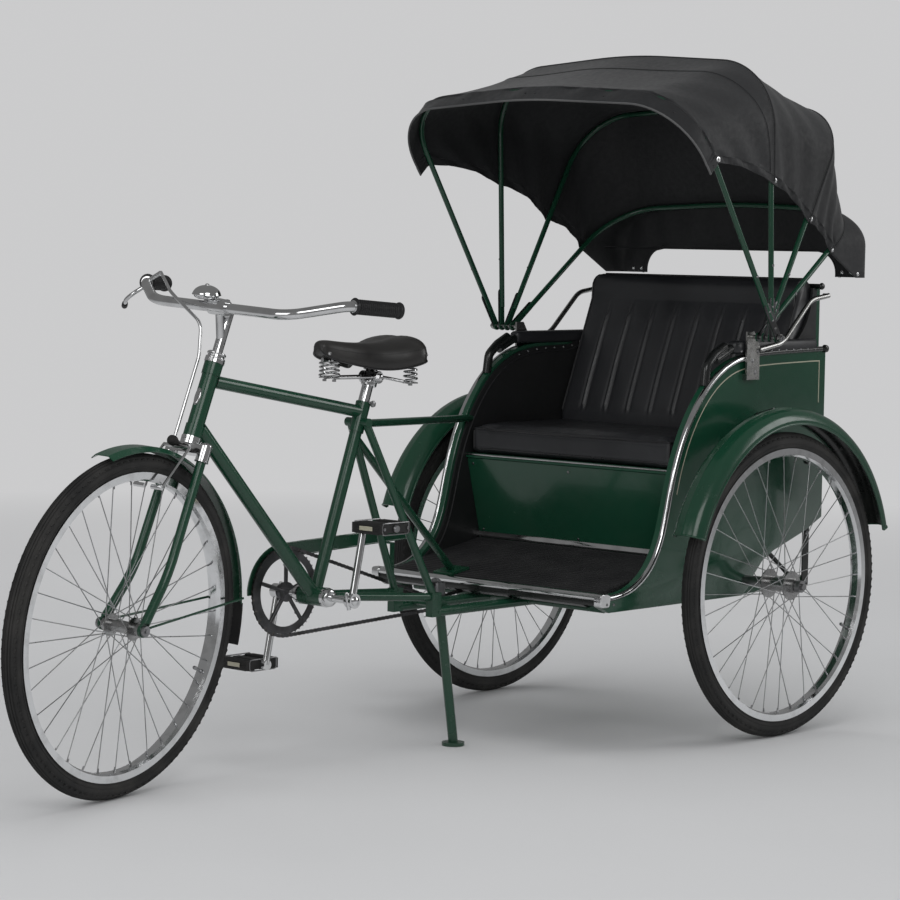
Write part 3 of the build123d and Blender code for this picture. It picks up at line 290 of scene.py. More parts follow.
def even_path(path: Sequence[Point], step: float) -> list[Point]:
    """The same path with points an even distance apart.

    Args:
        path: any run of points.
        step: the distance wanted between points.

    Returns:
        Evenly spaced points, both ends kept.
    """
    lengths = [0.0]
    for a, b in zip(path, path[1:]):
        lengths.append(lengths[-1] + (b - a).length)
    count = max(2, round(lengths[-1] / step))
    out, k = [], 0
    for i in range(count + 1):
        want = lengths[-1] * i / count
        while k < len(lengths) - 2 and lengths[k + 1] < want:
            k += 1
        span = max(1e-9, lengths[k + 1] - lengths[k])
        out.append(path[k].lerp(path[k + 1], min(1.0, (want - lengths[k]) / span)))
    return out


def smooth_step(low: float, high: float, value: float) -> float:
    """0 below low, 1 above high and a smooth change between them."""
    t = max(0.0, min(1.0, (value - low) / (high - low)))
    return t * t * (3 - 2 * t)


# ================================================================ meshes
class Form:
    """Collects vertices, faces and lengthwise UVs, and makes one object from them."""

    def __init__(self) -> None:
        """Starts empty."""
        self.verts: list[Point] = []
        self.faces: list[tuple[int, ...]] = []
        self.uvs: dict[int, tuple[float, float]] = {}

    def add(self, verts: Iterable[Point], faces: Iterable[Sequence[int]]) -> int:
        """Adds points and the faces that join them.

        Args:
            verts: points, in metres.
            faces: corner numbers, counted within verts.

        Returns:
            The number that the first new vertex has.
        """
        first = len(self.verts)
        self.verts += [Vector(v) for v in verts]
        self.faces += [tuple(first + i for i in f) for f in faces]
        return first

    def grid(self, rows: Sequence[Sequence[Point]], wrap_rows: bool = False, wrap: bool = False) -> int:
        """A surface through rows of points.

        Args:
            rows: the points, the same number in each row.
            wrap_rows: whether the last row joins the first.
            wrap: whether each row closes on itself.

        Returns:
            The number of the first new vertex.
        """
        n, m = len(rows), len(rows[0])
        cells = [(i * m + j, i * m + (j + 1) % m, (i + 1) % n * m + (j + 1) % m, (i + 1) % n * m + j)
                 for i in range(n if wrap_rows else n - 1) for j in range(m if wrap else m - 1)]
        first = self.add([p for row in rows for p in row], cells)
        along = 0.0
        for i, row in enumerate(rows):
            if i:
                along += sum((a - b).length for a, b in zip(row, rows[i - 1])) / m
            across = 0.0
            for j, p in enumerate(row):
                across += (p - row[j - 1]).length if j else 0.0
                self.uvs[first + i * m + j] = (across, along)
        return first

    def caps(self, first: int, rings: int, sides: int, flip: bool = False) -> "Form":
        """Closes both ends of a skin.

        Args:
            first: number of its first vertex.
            rings: how many rings it has.
            sides: points in each ring.
            flip: whether the rings run the other way round.

        Returns:
            This form.
        """
        last = (rings - 1) * sides
        for end, backwards in ((range(sides), not flip), (range(last, last + sides), flip)):
            self.faces.append(tuple(first + k for k in (reversed(end) if backwards else end)))
        return self

    def tube(self, path: Sequence[Point], radius: float | Sequence[float], sides: int = 10,
             closed: bool = False) -> "Form":
        """A round bar along a path.

        Args:
            path: the points that the middle follows.
            radius: one radius, or one for each point.
            sides: faces round the bar.
            closed: whether the end joins the start.

        Returns:
            This form.
        """
        n = len(path)
        radii = [radius] * n if isinstance(radius, (int, float)) else list(radius)
        tangents = []
        for i in range(n):
            a = path[(i - 1) % n] if closed or i else path[0]
            b = path[(i + 1) % n] if closed or i < n - 1 else path[-1]
            tangents.append((b - a).normalized())
        side = tangents[0].orthogonal().normalized()
        sides_at = [side]
        for i in range(1, n):
            turn = tangents[i - 1].rotation_difference(tangents[i])
            side = turn @ side
            sides_at.append((side - tangents[i] * side.dot(tangents[i])).normalized())
        twist = 0.0
        if closed:
            back = tangents[-1].rotation_difference(tangents[0]) @ sides_at[-1]
            twist = atan2(tangents[0].dot(back.cross(sides_at[0])), back.dot(sides_at[0]))
        rings = []
        for i in range(n):
            spin = Quaternion(tangents[i], twist * i / n)
            u = spin @ sides_at[i]
            w = tangents[i].cross(u)
            rings.append([path[i] + (u * cos(a) + w * sin(a)) * radii[i] for a in round_angles(sides)])
        first = self.grid(rings, wrap_rows=closed, wrap=True)
        return self if closed else self.caps(first, n, sides)

    def lathe(self, profile: Sequence[tuple[float, float]], foot: Point, axis: Point,
              sides: int = 24) -> "Form":
        """A turned shape.

        Args:
            profile: radius and height of each ring, in millimetres; the ends close on the axis.
            foot: where height 0 is.
            axis: the turning axis.
            sides: faces round it.

        Returns:
            This form.
        """
        axis = axis.normalized()
        u = axis.orthogonal().normalized()
        w = axis.cross(u)
        rings = [[foot + axis * (h / 1000) + (u * cos(a) + w * sin(a)) * (max(r, 0.01) / 1000)
                  for a in round_angles(sides)] for r, h in profile]
        return self.caps(self.grid(rings, wrap=True), len(rings), sides)

    def arc(self, section: Sequence[tuple[float, float]], centre: Point, start: float, end: float,
            steps: int) -> "Form":
        """A section carried part of the way round a wheel's axis.

        Args:
            section: radius and sideways place of each corner, in millimetres, as a closed outline.
            centre: middle of the wheel.
            start: first angle, in degrees up from forward.
            end: last angle.
            steps: runs round the arc.

        Returns:
            This form.
        """
        rows = []
        for i in range(steps + 1):
            a = radians(start + (end - start) * i / steps)
            rows.append([centre + Vector((r * cos(a), y, r * sin(a))) / 1000 for r, y in section])
        return self.caps(self.grid(rows, wrap=True), len(rows), len(section), flip=True)

    def block(self, low: Point, high: Point) -> "Form":
        """A box between two corners, for pieces that get a bevel.

        Args:
            low: the corner with the smallest coordinates.
            high: the opposite corner.

        Returns:
            The form itself.
        """
        x, y, z = ((low[i], high[i]) for i in range(3))
        self.add([Vector((a, b, c)) for c in z for b in y for a in x],
                 [(0, 2, 3, 1), (4, 5, 7, 6), (0, 1, 5, 4), (2, 6, 7, 3), (0, 4, 6, 2), (1, 3, 7, 5)])
        return self

    def loft(self, outlines: Sequence[Sequence[Point]]) -> "Form":
        """A closed skin over outlines, with both ends capped."""
        return self.caps(self.grid(outlines, wrap=True), len(outlines), len(outlines[0]))

    def across(self, section: Sequence[tuple[float, float]], stops: Sequence[float]) -> "Form":
        """A bar or board with one section from side to side.

        Args:
            section: X and Z of its corners, in millimetres.
            stops: sideways places of its outlines, in millimetres.

        Returns:
            This form.
        """
        return self.loft([[at(x, y, z) for x, z in section] for y in stops])

    def plate(self, outlines: Sequence[tuple[Sequence[Point], float]]) -> "Form":
        """An upright plate that stands along the machine.

        Args:
            outlines: each outline seen from the side, with its sideways place in millimetres.

        Returns:
            This form.
        """
        return self.loft([[Vector((p.x, y / 1000, p.z)) for p in outline] for outline, y in outlines])

    def build(self, name: str, finish: bpy.types.Material, sharp: float = 40.0,
              outwards: bool = True) -> bpy.types.Object:
        """Makes the object.

        Args:
            name: the piece's name.
            finish: its material.
            sharp: edges that turn by more than this, in degrees, stay sharp.
            outwards: whether the faces are turned to point out.

        Returns:
            A mesh object at the origin.
        """
        mesh = bpy.data.meshes.new(name)
        bm = bmesh.new()
        layer = bm.loops.layers.uv.new("Lengths")
        made = [bm.verts.new(v) for v in self.verts]
        for corners in self.faces:
            if len(set(corners)) < 3:
                continue
            try:
                face = bm.faces.new([made[i] for i in corners])
            except ValueError:
                continue
            face.smooth = True
            for loop, i in zip(face.loops, corners):
                loop[layer].uv = self.uvs.get(i, (0.0, 0.0))
        bmesh.ops.remove_doubles(bm, verts=bm.verts, dist=1e-5)
        loose = [v for v in bm.verts if not v.link_faces]
        bmesh.ops.delete(bm, geom=loose, context="VERTS")
        if outwards:
            bmesh.ops.recalc_face_normals(bm, faces=bm.faces)
        bm.to_mesh(mesh)
        bm.free()
        mesh.set_sharp_from_angle(angle=radians(sharp))
        mesh.materials.append(finish)
        obj = bpy.data.objects.new(name, mesh)
        bpy.context.scene.collection.objects.link(obj)
        return obj


def freeze(obj: bpy.types.Object) -> bpy.types.Object:
    """Turns what the modifiers make into the object's own plain mesh.

    Args:
        obj: an object with modifiers.

    Returns:
        The same object without modifiers.
    """
    bpy.context.view_layer.update()
    graph = bpy.context.evaluated_depsgraph_get()
    mesh = bpy.data.meshes.new_from_object(obj.evaluated_get(graph), preserve_all_data_layers=True,
                                           depsgraph=graph)
    old = obj.data
    obj.modifiers.clear()
    obj.data = mesh
    bpy.data.meshes.remove(old)
    mesh.name = obj.name
    return obj


def bevelled(obj: bpy.types.Object, width: float, segments: int = 2) -> bpy.types.Object:
    """Rounds the sharp edges of a piece.

    Args:
        obj: the piece.
        width: width of the bevel, in millimetres.
        segments: faces across it.

    Returns:
        The piece as a plain mesh.
    """
    bevel = obj.modifiers.new("Bevel", "BEVEL")
    bevel.width, bevel.segments = width / 1000, segments
    bevel.limit_method, bevel.angle_limit = "ANGLE", radians(30)
    bevel.harden_normals = False
    return freeze(obj)


def carry(obj: bpy.types.Object, body: str, slot: str = "", replaces: Sequence[str] = ()) -> bpy.types.Object:
    """Hands a finished piece to the body that it moves with.

    Args:
        obj: the piece.
        body: name of the body.
        slot: the record's material slot, if it takes one.
        replaces: the frame's nodes that it stands for.

    Returns:
        The piece.
    """
    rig.ride(obj, body)
    if slot:
        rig.slot(obj, slot)
    if replaces:
        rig.replaces(obj, *replaces)
    log.info("piece %s rides on %s, %d faces", obj.name, body, len(obj.data.polygons))
    return obj


def join(name: str, parts: Sequence[bpy.types.Object]) -> bpy.types.Object:
    """Makes one object of several plain meshes.

    Args:
        name: name of the joined piece.
        parts: the objects, which go.

    Returns:
        The joined object, with each finish kept.
    """
    bm = bmesh.new()
    finishes: list[bpy.types.Material] = []
    for part in parts:
        start = len(bm.faces)
        slots = [m for m in part.data.materials]
        for m in slots:
            if m not in finishes:
                finishes.append(m)
        places = [finishes.index(m) for m in slots] or [0]
        bm.from_mesh(part.data)
        bm.faces.ensure_lookup_table()
        for face in bm.faces[start:]:
            face.material_index = places[min(face.material_index, len(places) - 1)]
    mesh = bpy.data.meshes.new(name)
    bm.to_mesh(mesh)
    bm.free()
    for m in finishes:
        mesh.materials.append(m)
    for part in parts:
        bpy.data.objects.remove(part)
    obj = bpy.data.objects.new(name, mesh)
    bpy.context.scene.collection.objects.link(obj)
    return obj


# ================================================================ geometry nodes
class Repeat(Enum):
    """Where a repeated shape goes."""

    ALONG = "along a path"
    POINTS = "at given points"


@dataclass(frozen=True)
class Repeater:
    """A node tree that sets one shape again and again."""

    kind: Repeat

    def tree(self) -> bpy.types.NodeTree:
        """Builds the tree.

        Returns:
            The node tree, with named inputs.
        """
        tree = bpy.data.node_groups.new(f"Repeat {self.kind.value}", "GeometryNodeTree")
        sockets = tree.interface
        for name, kind in (("Geometry", "Geometry"), ("Shape", "Object"), ("Count", "Int"),
                           ("Wobble", "Float"), ("Seed", "Int"), ("Finish", "Material")):
            sockets.new_socket(name, in_out="INPUT", socket_type=f"NodeSocket{kind}")
        sockets.new_socket("Geometry", in_out="OUTPUT", socket_type="NodeSocketGeometry")
        new, link = tree.nodes.new, tree.links.new
        given, out = new("NodeGroupInput"), new("NodeGroupOutput")
        shape = new("GeometryNodeObjectInfo")
        link(given.outputs["Shape"], shape.inputs["Object"])
        put = new("GeometryNodeInstanceOnPoints")
        link(shape.outputs["Geometry"], put.inputs["Instance"])
        if self.kind is Repeat.ALONG:
            curve = new("GeometryNodeMeshToCurve")
            link(given.outputs["Geometry"], curve.inputs["Mesh"])
            spread = new("GeometryNodeCurveToPoints")
            spread.mode = "COUNT"
            link(curve.outputs["Curve"], spread.inputs["Curve"])
            link(given.outputs["Count"], spread.inputs["Count"])
            link(spread.outputs["Points"], put.inputs["Points"])
            aim = spread.outputs["Rotation"]
        else:
            link(given.outputs["Geometry"], put.inputs["Points"])
            named = new("GeometryNodeInputNamedAttribute")
            named.data_type = "FLOAT_VECTOR"
            named.inputs["Name"].default_value = "aim"
            turn = new("FunctionNodeAlignRotationToVector")
            turn.axis = "Z"
            link(named.outputs["Attribute"], turn.inputs["Vector"])
            aim = turn.outputs["Rotation"]
        chance = new("FunctionNodeRandomValue")
        chance.data_type = "FLOAT"
        floats = [s for s in chance.inputs if s.type == "VALUE" and s.enabled]
        floats[0].default_value, floats[1].default_value = -1.0, 1.0
        link(given.outputs["Seed"], next(s for s in chance.inputs if s.name == "Seed"))
        share = new("ShaderNodeMath")
        share.operation = "MULTIPLY"
        link(next(s for s in chance.outputs if s.type == "VALUE" and s.enabled), share.inputs[0])
        link(given.outputs["Wobble"], share.inputs[1])
        spin = new("FunctionNodeAxisAngleToRotation")
        spin.inputs["Axis"].default_value = (0.0, 0.0, 1.0)
        link(share.outputs[0], spin.inputs["Angle"])
        rotate = new("FunctionNodeRotateRotation")
        rotate.rotation_space = "LOCAL"
        link(aim, rotate.inputs["Rotation"])
        link(spin.outputs["Rotation"], rotate.inputs["Rotate By"])
        link(rotate.outputs["Rotation"], put.inputs["Rotation"])
        real, paint = new("GeometryNodeRealizeInstances"), new("GeometryNodeSetMaterial")
        link(put.outputs["Instances"], real.inputs["Geometry"])
        link(real.outputs["Geometry"], paint.inputs["Geometry"])
        link(given.outputs["Finish"], paint.inputs["Material"])
        link(paint.outputs["Geometry"], out.inputs["Geometry"])
        return tree


class Workshop:
    """Makes rows of repeated shapes as plain meshes."""

    seed: int = 7

    def __init__(self) -> None:
        """Builds both trees once."""
        self.trees = {kind: Repeater(kind).tree() for kind in Repeat}

    def _run(self, name: str, mesh: bpy.types.Mesh, kind: Repeat, shape: bpy.types.Object,
             finish: bpy.types.Material, count: int, wobble: float) -> bpy.types.Object:
        """Runs one tree on a mesh and keeps what it makes.

        Args:
            name: name of the piece.
            mesh: path or points.
            kind: which tree.
            shape: the shape to repeat, which isn't kept.
            finish: the material.
            count: how many along each path.
            wobble: largest random spin, in radians.

        Returns:
            A plain mesh object.
        """
        obj = bpy.data.objects.new(name, mesh)
        bpy.context.scene.collection.objects.link(obj)
        tree = self.trees[kind]
        mod = obj.modifiers.new("Repeat", "NODES")
        mod.node_group = tree
        values = {"Shape": shape, "Count": count, "Wobble": wobble, "Seed": self.seed, "Finish": finish}
        for item in tree.interface.items_tree:
            if item.item_type == "SOCKET" and item.in_out == "INPUT" and item.name in values:
                mod[item.identifier] = values[item.name]
        freeze(obj)
        bpy.data.objects.remove(shape)
        obj.data.materials.clear()
        obj.data.materials.append(finish)
        obj.data.polygons.foreach_set("material_index", [0] * len(obj.data.polygons))
        if "aim" in obj.data.attributes:
            obj.data.attributes.remove(obj.data.attributes["aim"])
        obj.data.shade_smooth()
        obj.data.set_sharp_from_angle(angle=radians(40))
        return obj

    def along(self, name: str, paths: Sequence[Sequence[Point]], shape: bpy.types.Object,
              finish: bpy.types.Material, count: int) -> bpy.types.Object:
        """Repeats a shape along paths; its Z follows the path.

        Args:
            name: name of the piece.
            paths: runs of points.
            shape: the shape, about the origin.
            finish: its material.
            count: how many on each path.

        Returns:
            A plain mesh object.
        """
        mesh = bpy.data.meshes.new(name)
        verts, edges = [], []
        for path in paths:
            first = len(verts)
            verts += [tuple(p) for p in path]
            edges += [(first + i, first + i + 1) for i in range(len(path) - 1)]
        mesh.from_pydata(verts, edges, [])
        return self._run(name, mesh, Repeat.ALONG, shape, finish, count, 0.0)

    def points(self, name: str, spots: Sequence[tuple[Point, Point]], shape: bpy.types.Object,
               finish: bpy.types.Material, wobble: float = 0.0) -> bpy.types.Object:
        """Repeats a shape at points; its Z follows each aim.

        Args:
            name: name of the piece.
            spots: place and aim of each.
            shape: the shape, about the origin.
            finish: its material.
            wobble: largest random spin about the aim, in radians.

        Returns:
            A plain mesh object.
        """
        mesh = bpy.data.meshes.new(name)
        mesh.from_pydata([tuple(p) for p, _ in spots], [], [])
        aims = mesh.attributes.new("aim", "FLOAT_VECTOR", "POINT")
        aims.data.foreach_set("vector", [c for _, a in spots for c in a.normalized()])
        return self._run(name, mesh, Repeat.POINTS, shape, finish, 1, wobble)

    def rivets(self, name: str, spots: Sequence[tuple[Point, Point]], size: tuple[float, float, float],
               finish: bpy.types.Material, body: str = "chassis", slot: str = "steel") -> None:
        """Sets domed rivets and hands them to a body.

        Args:
            name: name of the piece.
            spots: place and aim of each.
            size: radius and height of the head and radius of the washer, in millimetres.
            finish: their material.
            body: the body that they move with.
            slot: the record's material slot.
        """
        carry(self.points(name, spots, rivet_shape(*size, finish), finish), body, slot)

    def stitches(self, name: str, paths: Sequence[Sequence[Point]], pitch: float, finish: bpy.types.Material,
                 radius: float = 0.5, share: float = 0.62) -> bpy.types.Object:
        """Thread along seams.

        Args:
            name: name of the piece.
            paths: the seams.
            pitch: distance from one stitch to the next, in millimetres.
            finish: the thread's material.
            radius: radius of the thread, in millimetres.
            share: share of the pitch that shows thread.

        Returns:
            A plain mesh of small capsules.
        """
        rows = []
        for k, path in enumerate(paths):
            length = sum((b - a).length for a, b in zip(path, path[1:])) * 1000
            r, half = radius, pitch * share / 2
            capsule = Form().lathe([(0, -half), (r * 0.8, -half + r * 0.6), (r, -half + r * 1.6), (
                r, half - r * 1.6), (r * 0.8, half - r * 0.6), (0, half)], Vector(), UP, 6)
            rows.append(self.along(f"{name}_{k}", [path], capsule.build("stitch", finish), finish,
                                   max(2, int(length / pitch))))
        return rows[0] if len(rows) == 1 else join(name, rows)

    def sew(self, name: str, paths: Sequence[Sequence[Point]], pitch: float, finish: bpy.types.Material,
            radius: float, body: str, slot: str) -> None:
        """Stitches seams and hands the thread to a body.

        Args:
            name: name of the piece.
            paths: the seams.
            pitch: distance from one stitch to the next, in millimetres.
            finish: the thread's material.
            radius: radius of the thread, in millimetres.
            body: the body that it moves with.
            slot: the record's material slot.
        """
        carry(self.stitches(name, paths, pitch, finish, radius), body, slot)


def rivet_shape(radius: float, height: float, washer: float, finish: bpy.types.Material) -> bpy.types.Object:
    """A domed head on a thin washer, looking along Z.

    Args:
        radius: radius of the head, in millimetres.
        height: height of the head.
        washer: radius of the washer.
        finish: the material.

    Returns:
        The shape, about the origin.
    """
    return Form().lathe([(0, -0.6), (washer, -0.6), (washer, 0.35), (washer - 0.3, 0.7), (radius, 0.8), (
        radius * 0.92, 0.8 + height * 0.45), (radius * 0.62, 0.8 + height * 0.85), (0, 0.8 + height)],
        Vector(), UP, 12).build("rivet", finish)


def screw_shape(radius: float, finish: bpy.types.Material) -> bpy.types.Object:
    """A countersunk screw with a slot, looking along Z.

    Args:
        radius: radius of the head, in millimetres.
        finish: the material.

    Returns:
        The shape, about the origin.
    """
    r, slot = radius, radius * 0.16
    form = Form().lathe([(0, -0.5), (r, -0.5), (r, 0.35), (r * 0.86, 0.75), (0, 0.8)],
                        Vector(), UP, 14)
    for side in (-1, 1):
        low, high = sorted((side * slot, side * r * 0.8))
        form.block(Vector((-r * 0.62, low, 0.4)) / 1000, Vector((r * 0.62, high, 1.1)) / 1000)
    return form.build("screw", finish)


# ================================================================ finishes
class Shader:
    """Builds one material around a Principled shader, in the frame's own coordinates."""

    def __init__(self, name: str, **constants: object) -> None:
        """Starts the material.

        Args:
            name: the material's name.
            constants: values set on the shader's own sockets, with _ for a space.
        """
        self.material = bpy.data.materials.new(name)
        self.material.use_nodes = True
        self.tree = self.material.node_tree
        self.tree.nodes.clear()
        out = self.new("ShaderNodeOutputMaterial")
        self.bsdf = self.new("ShaderNodeBsdfPrincipled")
        self.link(self.bsdf.outputs["BSDF"], out.inputs["Surface"])
        coords = self.new("ShaderNodeTexCoord")
        self.place, self.uv = coords.outputs["Object"], coords.outputs["UV"]
        for key, value in constants.items():
            self.bsdf.inputs[key.replace("_", " ")].default_value = value

    def new(self, kind: str) -> bpy.types.Node:
        """Adds a node."""
        return self.tree.nodes.new(kind)

    def link(self, a: bpy.types.NodeSocket, b: bpy.types.NodeSocket) -> None:
        """Joins two sockets."""
        self.tree.links.new(a, b)

    def noise(self, scale: float, detail: float = 3.0, stretch: Colour = (1, 1, 1)) -> bpy.types.NodeSocket:
        """Noise in the frame's coordinates.

        Args:
            scale: cycles per metre.
            detail: octaves.
            stretch: scale along each axis.

        Returns:
            The factor socket.
        """
        node, mapping = self.new("ShaderNodeTexNoise"), self.new("ShaderNodeMapping")
        mapping.inputs["Scale"].default_value = stretch
        self.link(self.place, mapping.inputs["Vector"])
        self.link(mapping.outputs["Vector"], node.inputs["Vector"])
        node.inputs["Scale"].default_value = scale
        node.inputs["Detail"].default_value = detail
        return node.outputs["Factor"] if "Factor" in node.outputs else node.outputs[0]

    def cells(self, scale: float) -> bpy.types.NodeSocket:
        """Distance to the middle of the nearest cell, for leather grain.

        Args:
            scale: cells in a metre.

        Returns:
            The socket with the distance.
        """
        node = self.new("ShaderNodeTexVoronoi")
        node.feature = "SMOOTH_F1"
        self.link(self.place, node.inputs["Vector"])
        node.inputs["Scale"].default_value = scale
        return node.outputs["Distance"]

    def spread(self, source: bpy.types.NodeSocket, low: float, high: float,
               start: float = 0.3, end: float = 0.7) -> bpy.types.NodeSocket:
        """Maps a factor to a range of values.

        Args:
            source: the factor.
            low: value where the factor is at start.
            high: value where it is at end.
            start: lower end of the factor's range.
            end: upper end of that range.

        Returns:
            The socket with the value.
        """
        node = self.new("ShaderNodeMapRange")
        self.link(source, node.inputs["Value"])
        for name, value in (("From Min", start), ("From Max", end), ("To Min", low), ("To Max", high)):
            node.inputs[name].default_value = value
        return node.outputs["Result"]

    def blend(self, factor: bpy.types.NodeSocket, a: Colour | bpy.types.NodeSocket,
              b: Colour | bpy.types.NodeSocket) -> bpy.types.NodeSocket:
        """Mixes two colours by a factor.

        Args:
            factor: share of the second colour.
            a: first colour, fixed or from a socket.
            b: second colour, the same way.

        Returns:
            The socket with the mixed colour.
        """
        node = self.new("ShaderNodeMix")
        node.data_type = "RGBA"
        self.link(factor, node.inputs["Factor"])
        for socket, value in ((node.inputs[6], a), (node.inputs[7], b)):
            if isinstance(value, tuple):
                socket.default_value = (*value, 1.0)
            else:
                self.link(value, socket)
        return node.outputs[2]

    def sum(self, *terms: tuple[bpy.types.NodeSocket, float]) -> bpy.types.NodeSocket:
        """Adds sockets, each by its share.

        Args:
            *terms: pairs of a socket and its share.

        Returns:
            The socket with the total.
        """
        total: bpy.types.NodeSocket | None = None
        for socket, share in terms:
            node = self.new("ShaderNodeMath")
            node.operation = "MULTIPLY_ADD"
            self.link(socket, node.inputs[0])
            node.inputs[1].default_value = share
            node.inputs[2].default_value = 0.0
            if total is not None:
                self.link(total, node.inputs[2])
            total = node.outputs[0]
        return total

    def relief(self, height: bpy.types.NodeSocket, depth: float, strength: float = 1.0) -> None:
        """Bump over the whole surface, with its depth in millimetres.

        Args:
            height: the pattern, 0 low and 1 high.
            depth: height of a full step in millimetres.
            strength: share of the bump that shows.
        """
        node = self.new("ShaderNodeBump")
        node.inputs["Strength"].default_value = strength
        node.inputs["Distance"].default_value = depth / 1000
        self.link(height, node.inputs["Height"])
        self.link(node.outputs["Normal"], self.bsdf.inputs["Normal"])

    def paint(self, colour: bpy.types.NodeSocket, roughness: bpy.types.NodeSocket) -> None:
        """Joins colour and roughness to the shader."""
        self.link(colour, self.bsdf.inputs["Base Color"])
        self.link(roughness, self.bsdf.inputs["Roughness"])

    def low_dust(self, top: float = 0.7) -> bpy.types.NodeSocket:
        """A factor that grows towards the ground, broken up by noise.

        Args:
            top: height in metres above which no dust lies.

        Returns:
            The socket with the factor.
        """
        split = self.new("ShaderNodeSeparateXYZ")
        self.link(self.place, split.inputs["Vector"])
        height = self.spread(split.outputs["Z"], 1.0, 0.0, 0.0, top)
        both = self.new("ShaderNodeMath")
        both.operation = "MULTIPLY"
        self.link(height, both.inputs[0])
        self.link(self.spread(self.noise(9.0, 5.0), 0.0, 1.0, 0.38, 0.75), both.inputs[1])
        return both.outputs[0]


@dataclass(frozen=True)
class Enamel:
    """Stoved gloss paint with a faint orange peel and thin dust low down."""

    name: str
    colour: Colour
    deep: Colour
    gloss: float = 0.2
    dust: Colour = (0.16, 0.15, 0.13)

    def make(self) -> bpy.types.Material:
        """Builds the material.

        Returns:
            The paint.
        """
        s = Shader(self.name, Coat_Weight=0.22, Coat_Roughness=0.05, IOR=1.47)
        tone = s.blend(s.spread(s.noise(2.3, 2.0), 0.0, 1.0), self.colour, self.deep)
        dusty = s.spread(s.low_dust(), 0.0, 0.09, 0.0, 1.0)
        marks = s.noise(38.0, 6.0)
        s.paint(s.blend(dusty, tone, self.dust),
                s.sum((s.spread(marks, self.gloss - 0.03, self.gloss + 0.08), 1.0), (dusty, 1.8)))
        s.relief(s.sum((s.noise(420.0, 1.0), 1.0), (marks, 0.5)), 0.05, 0.5)
        return s.material


@dataclass(frozen=True)
class Plate:
    """Metal: plated, brushed or oiled, with smudges and fine marks."""

    name: str
    colour: Colour
    worn: Colour
    low: float
    high: float
    marks: float = 0.03

    def make(self) -> bpy.types.Material:
        """Builds the material.

        Returns:
            The plated metal.
        """
        s = Shader(self.name, Metallic=1.0)
        smudge = s.noise(26.0, 5.0)
        tone = s.blend(s.spread(smudge, 0.0, 1.0, 0.42, 0.72), self.colour, self.worn)
        s.paint(tone, s.spread(s.noise(60.0, 4.0), self.low, self.high, 0.35, 0.7))
        s.relief(s.sum((s.noise(900.0, 2.0, (1.0, 1.0, 0.25)), 1.0)), self.marks, 0.6)
        return s.material


@dataclass(frozen=True)
class SpokeWheelPlate:
    """Plated rim, drawn spokes and dull hub on one wheel, by distance from its axle."""

    name: str
    middle: tuple[float, float, float]
    axis: tuple[float, float, float]

    def make(self) -> bpy.types.Material:
        """Builds the material.

        Returns:
            The material of a whole wheel.
        """
        s = Shader(self.name, Metallic=1.0)
        away, along, down, radius = (s.new("ShaderNodeVectorMath") for _ in range(4))
        for node, task in ((away, "SUBTRACT"), (along, "PROJECT"), (down, "SUBTRACT"), (radius, "LENGTH")):
            node.operation = task
        away.inputs[1].default_value = self.middle
        along.inputs[1].default_value = self.axis
        s.link(s.place, away.inputs[0])
        s.link(away.outputs["Vector"], along.inputs[0])
        s.link(away.outputs["Vector"], down.inputs[0])
        s.link(along.outputs["Vector"], down.inputs[1])
        s.link(down.outputs["Vector"], radius.inputs[0])
        hub = s.spread(radius.outputs["Value"], 1.0, 0.0, 0.036, 0.042)
        rim = s.spread(radius.outputs["Value"], 0.0, 1.0, 0.296, 0.300)
        smudge = s.noise(30.0, 5.0)
        spoke = s.blend(s.spread(smudge, 0.0, 1.0), (0.46, 0.47, 0.48), (0.30, 0.30, 0.30))
        plated = s.blend(s.spread(smudge, 0.0, 1.0, 0.5, 0.8), (0.80, 0.81, 0.82), (0.58, 0.58, 0.58))
        dull = s.blend(s.spread(smudge, 0.0, 1.0), (0.44, 0.44, 0.44), (0.27, 0.27, 0.27))
        tone = s.blend(hub, s.blend(rim, spoke, plated), dull)
        rough = s.sum((s.spread(s.noise(70.0, 4.0), 0.26, 0.38), 1.0), (rim, -0.20), (hub, -0.04))
        s.paint(tone, rough)
        s.relief(s.sum((s.noise(500.0, 2.0), 1.0)), 0.03, 0.5)
        return s.material


@dataclass(frozen=True)
class MouldedRubber:
    """Black rubber or moulded plastic, with dust in its texture."""

    name: str
    colour: Colour
    dusty: Colour
    roughness: float = 0.72
    grain: float = 700.0

    def make(self) -> bpy.types.Material:
        """Builds the material.

        Returns:
            The rubber.
        """
        s = Shader(self.name, IOR=1.45)
        patches = s.noise(14.0, 6.0)
        fine = s.noise(self.grain, 3.0)
        tone = s.blend(s.spread(patches, 0.0, 0.55, 0.4, 0.8), self.colour, self.dusty)
        s.paint(tone, s.spread(fine, self.roughness - 0.08, self.roughness + 0.08))
        s.relief(s.sum((fine, 1.0), (s.noise(120.0, 3.0), 0.6)), 0.12, 0.6)
        return s.material


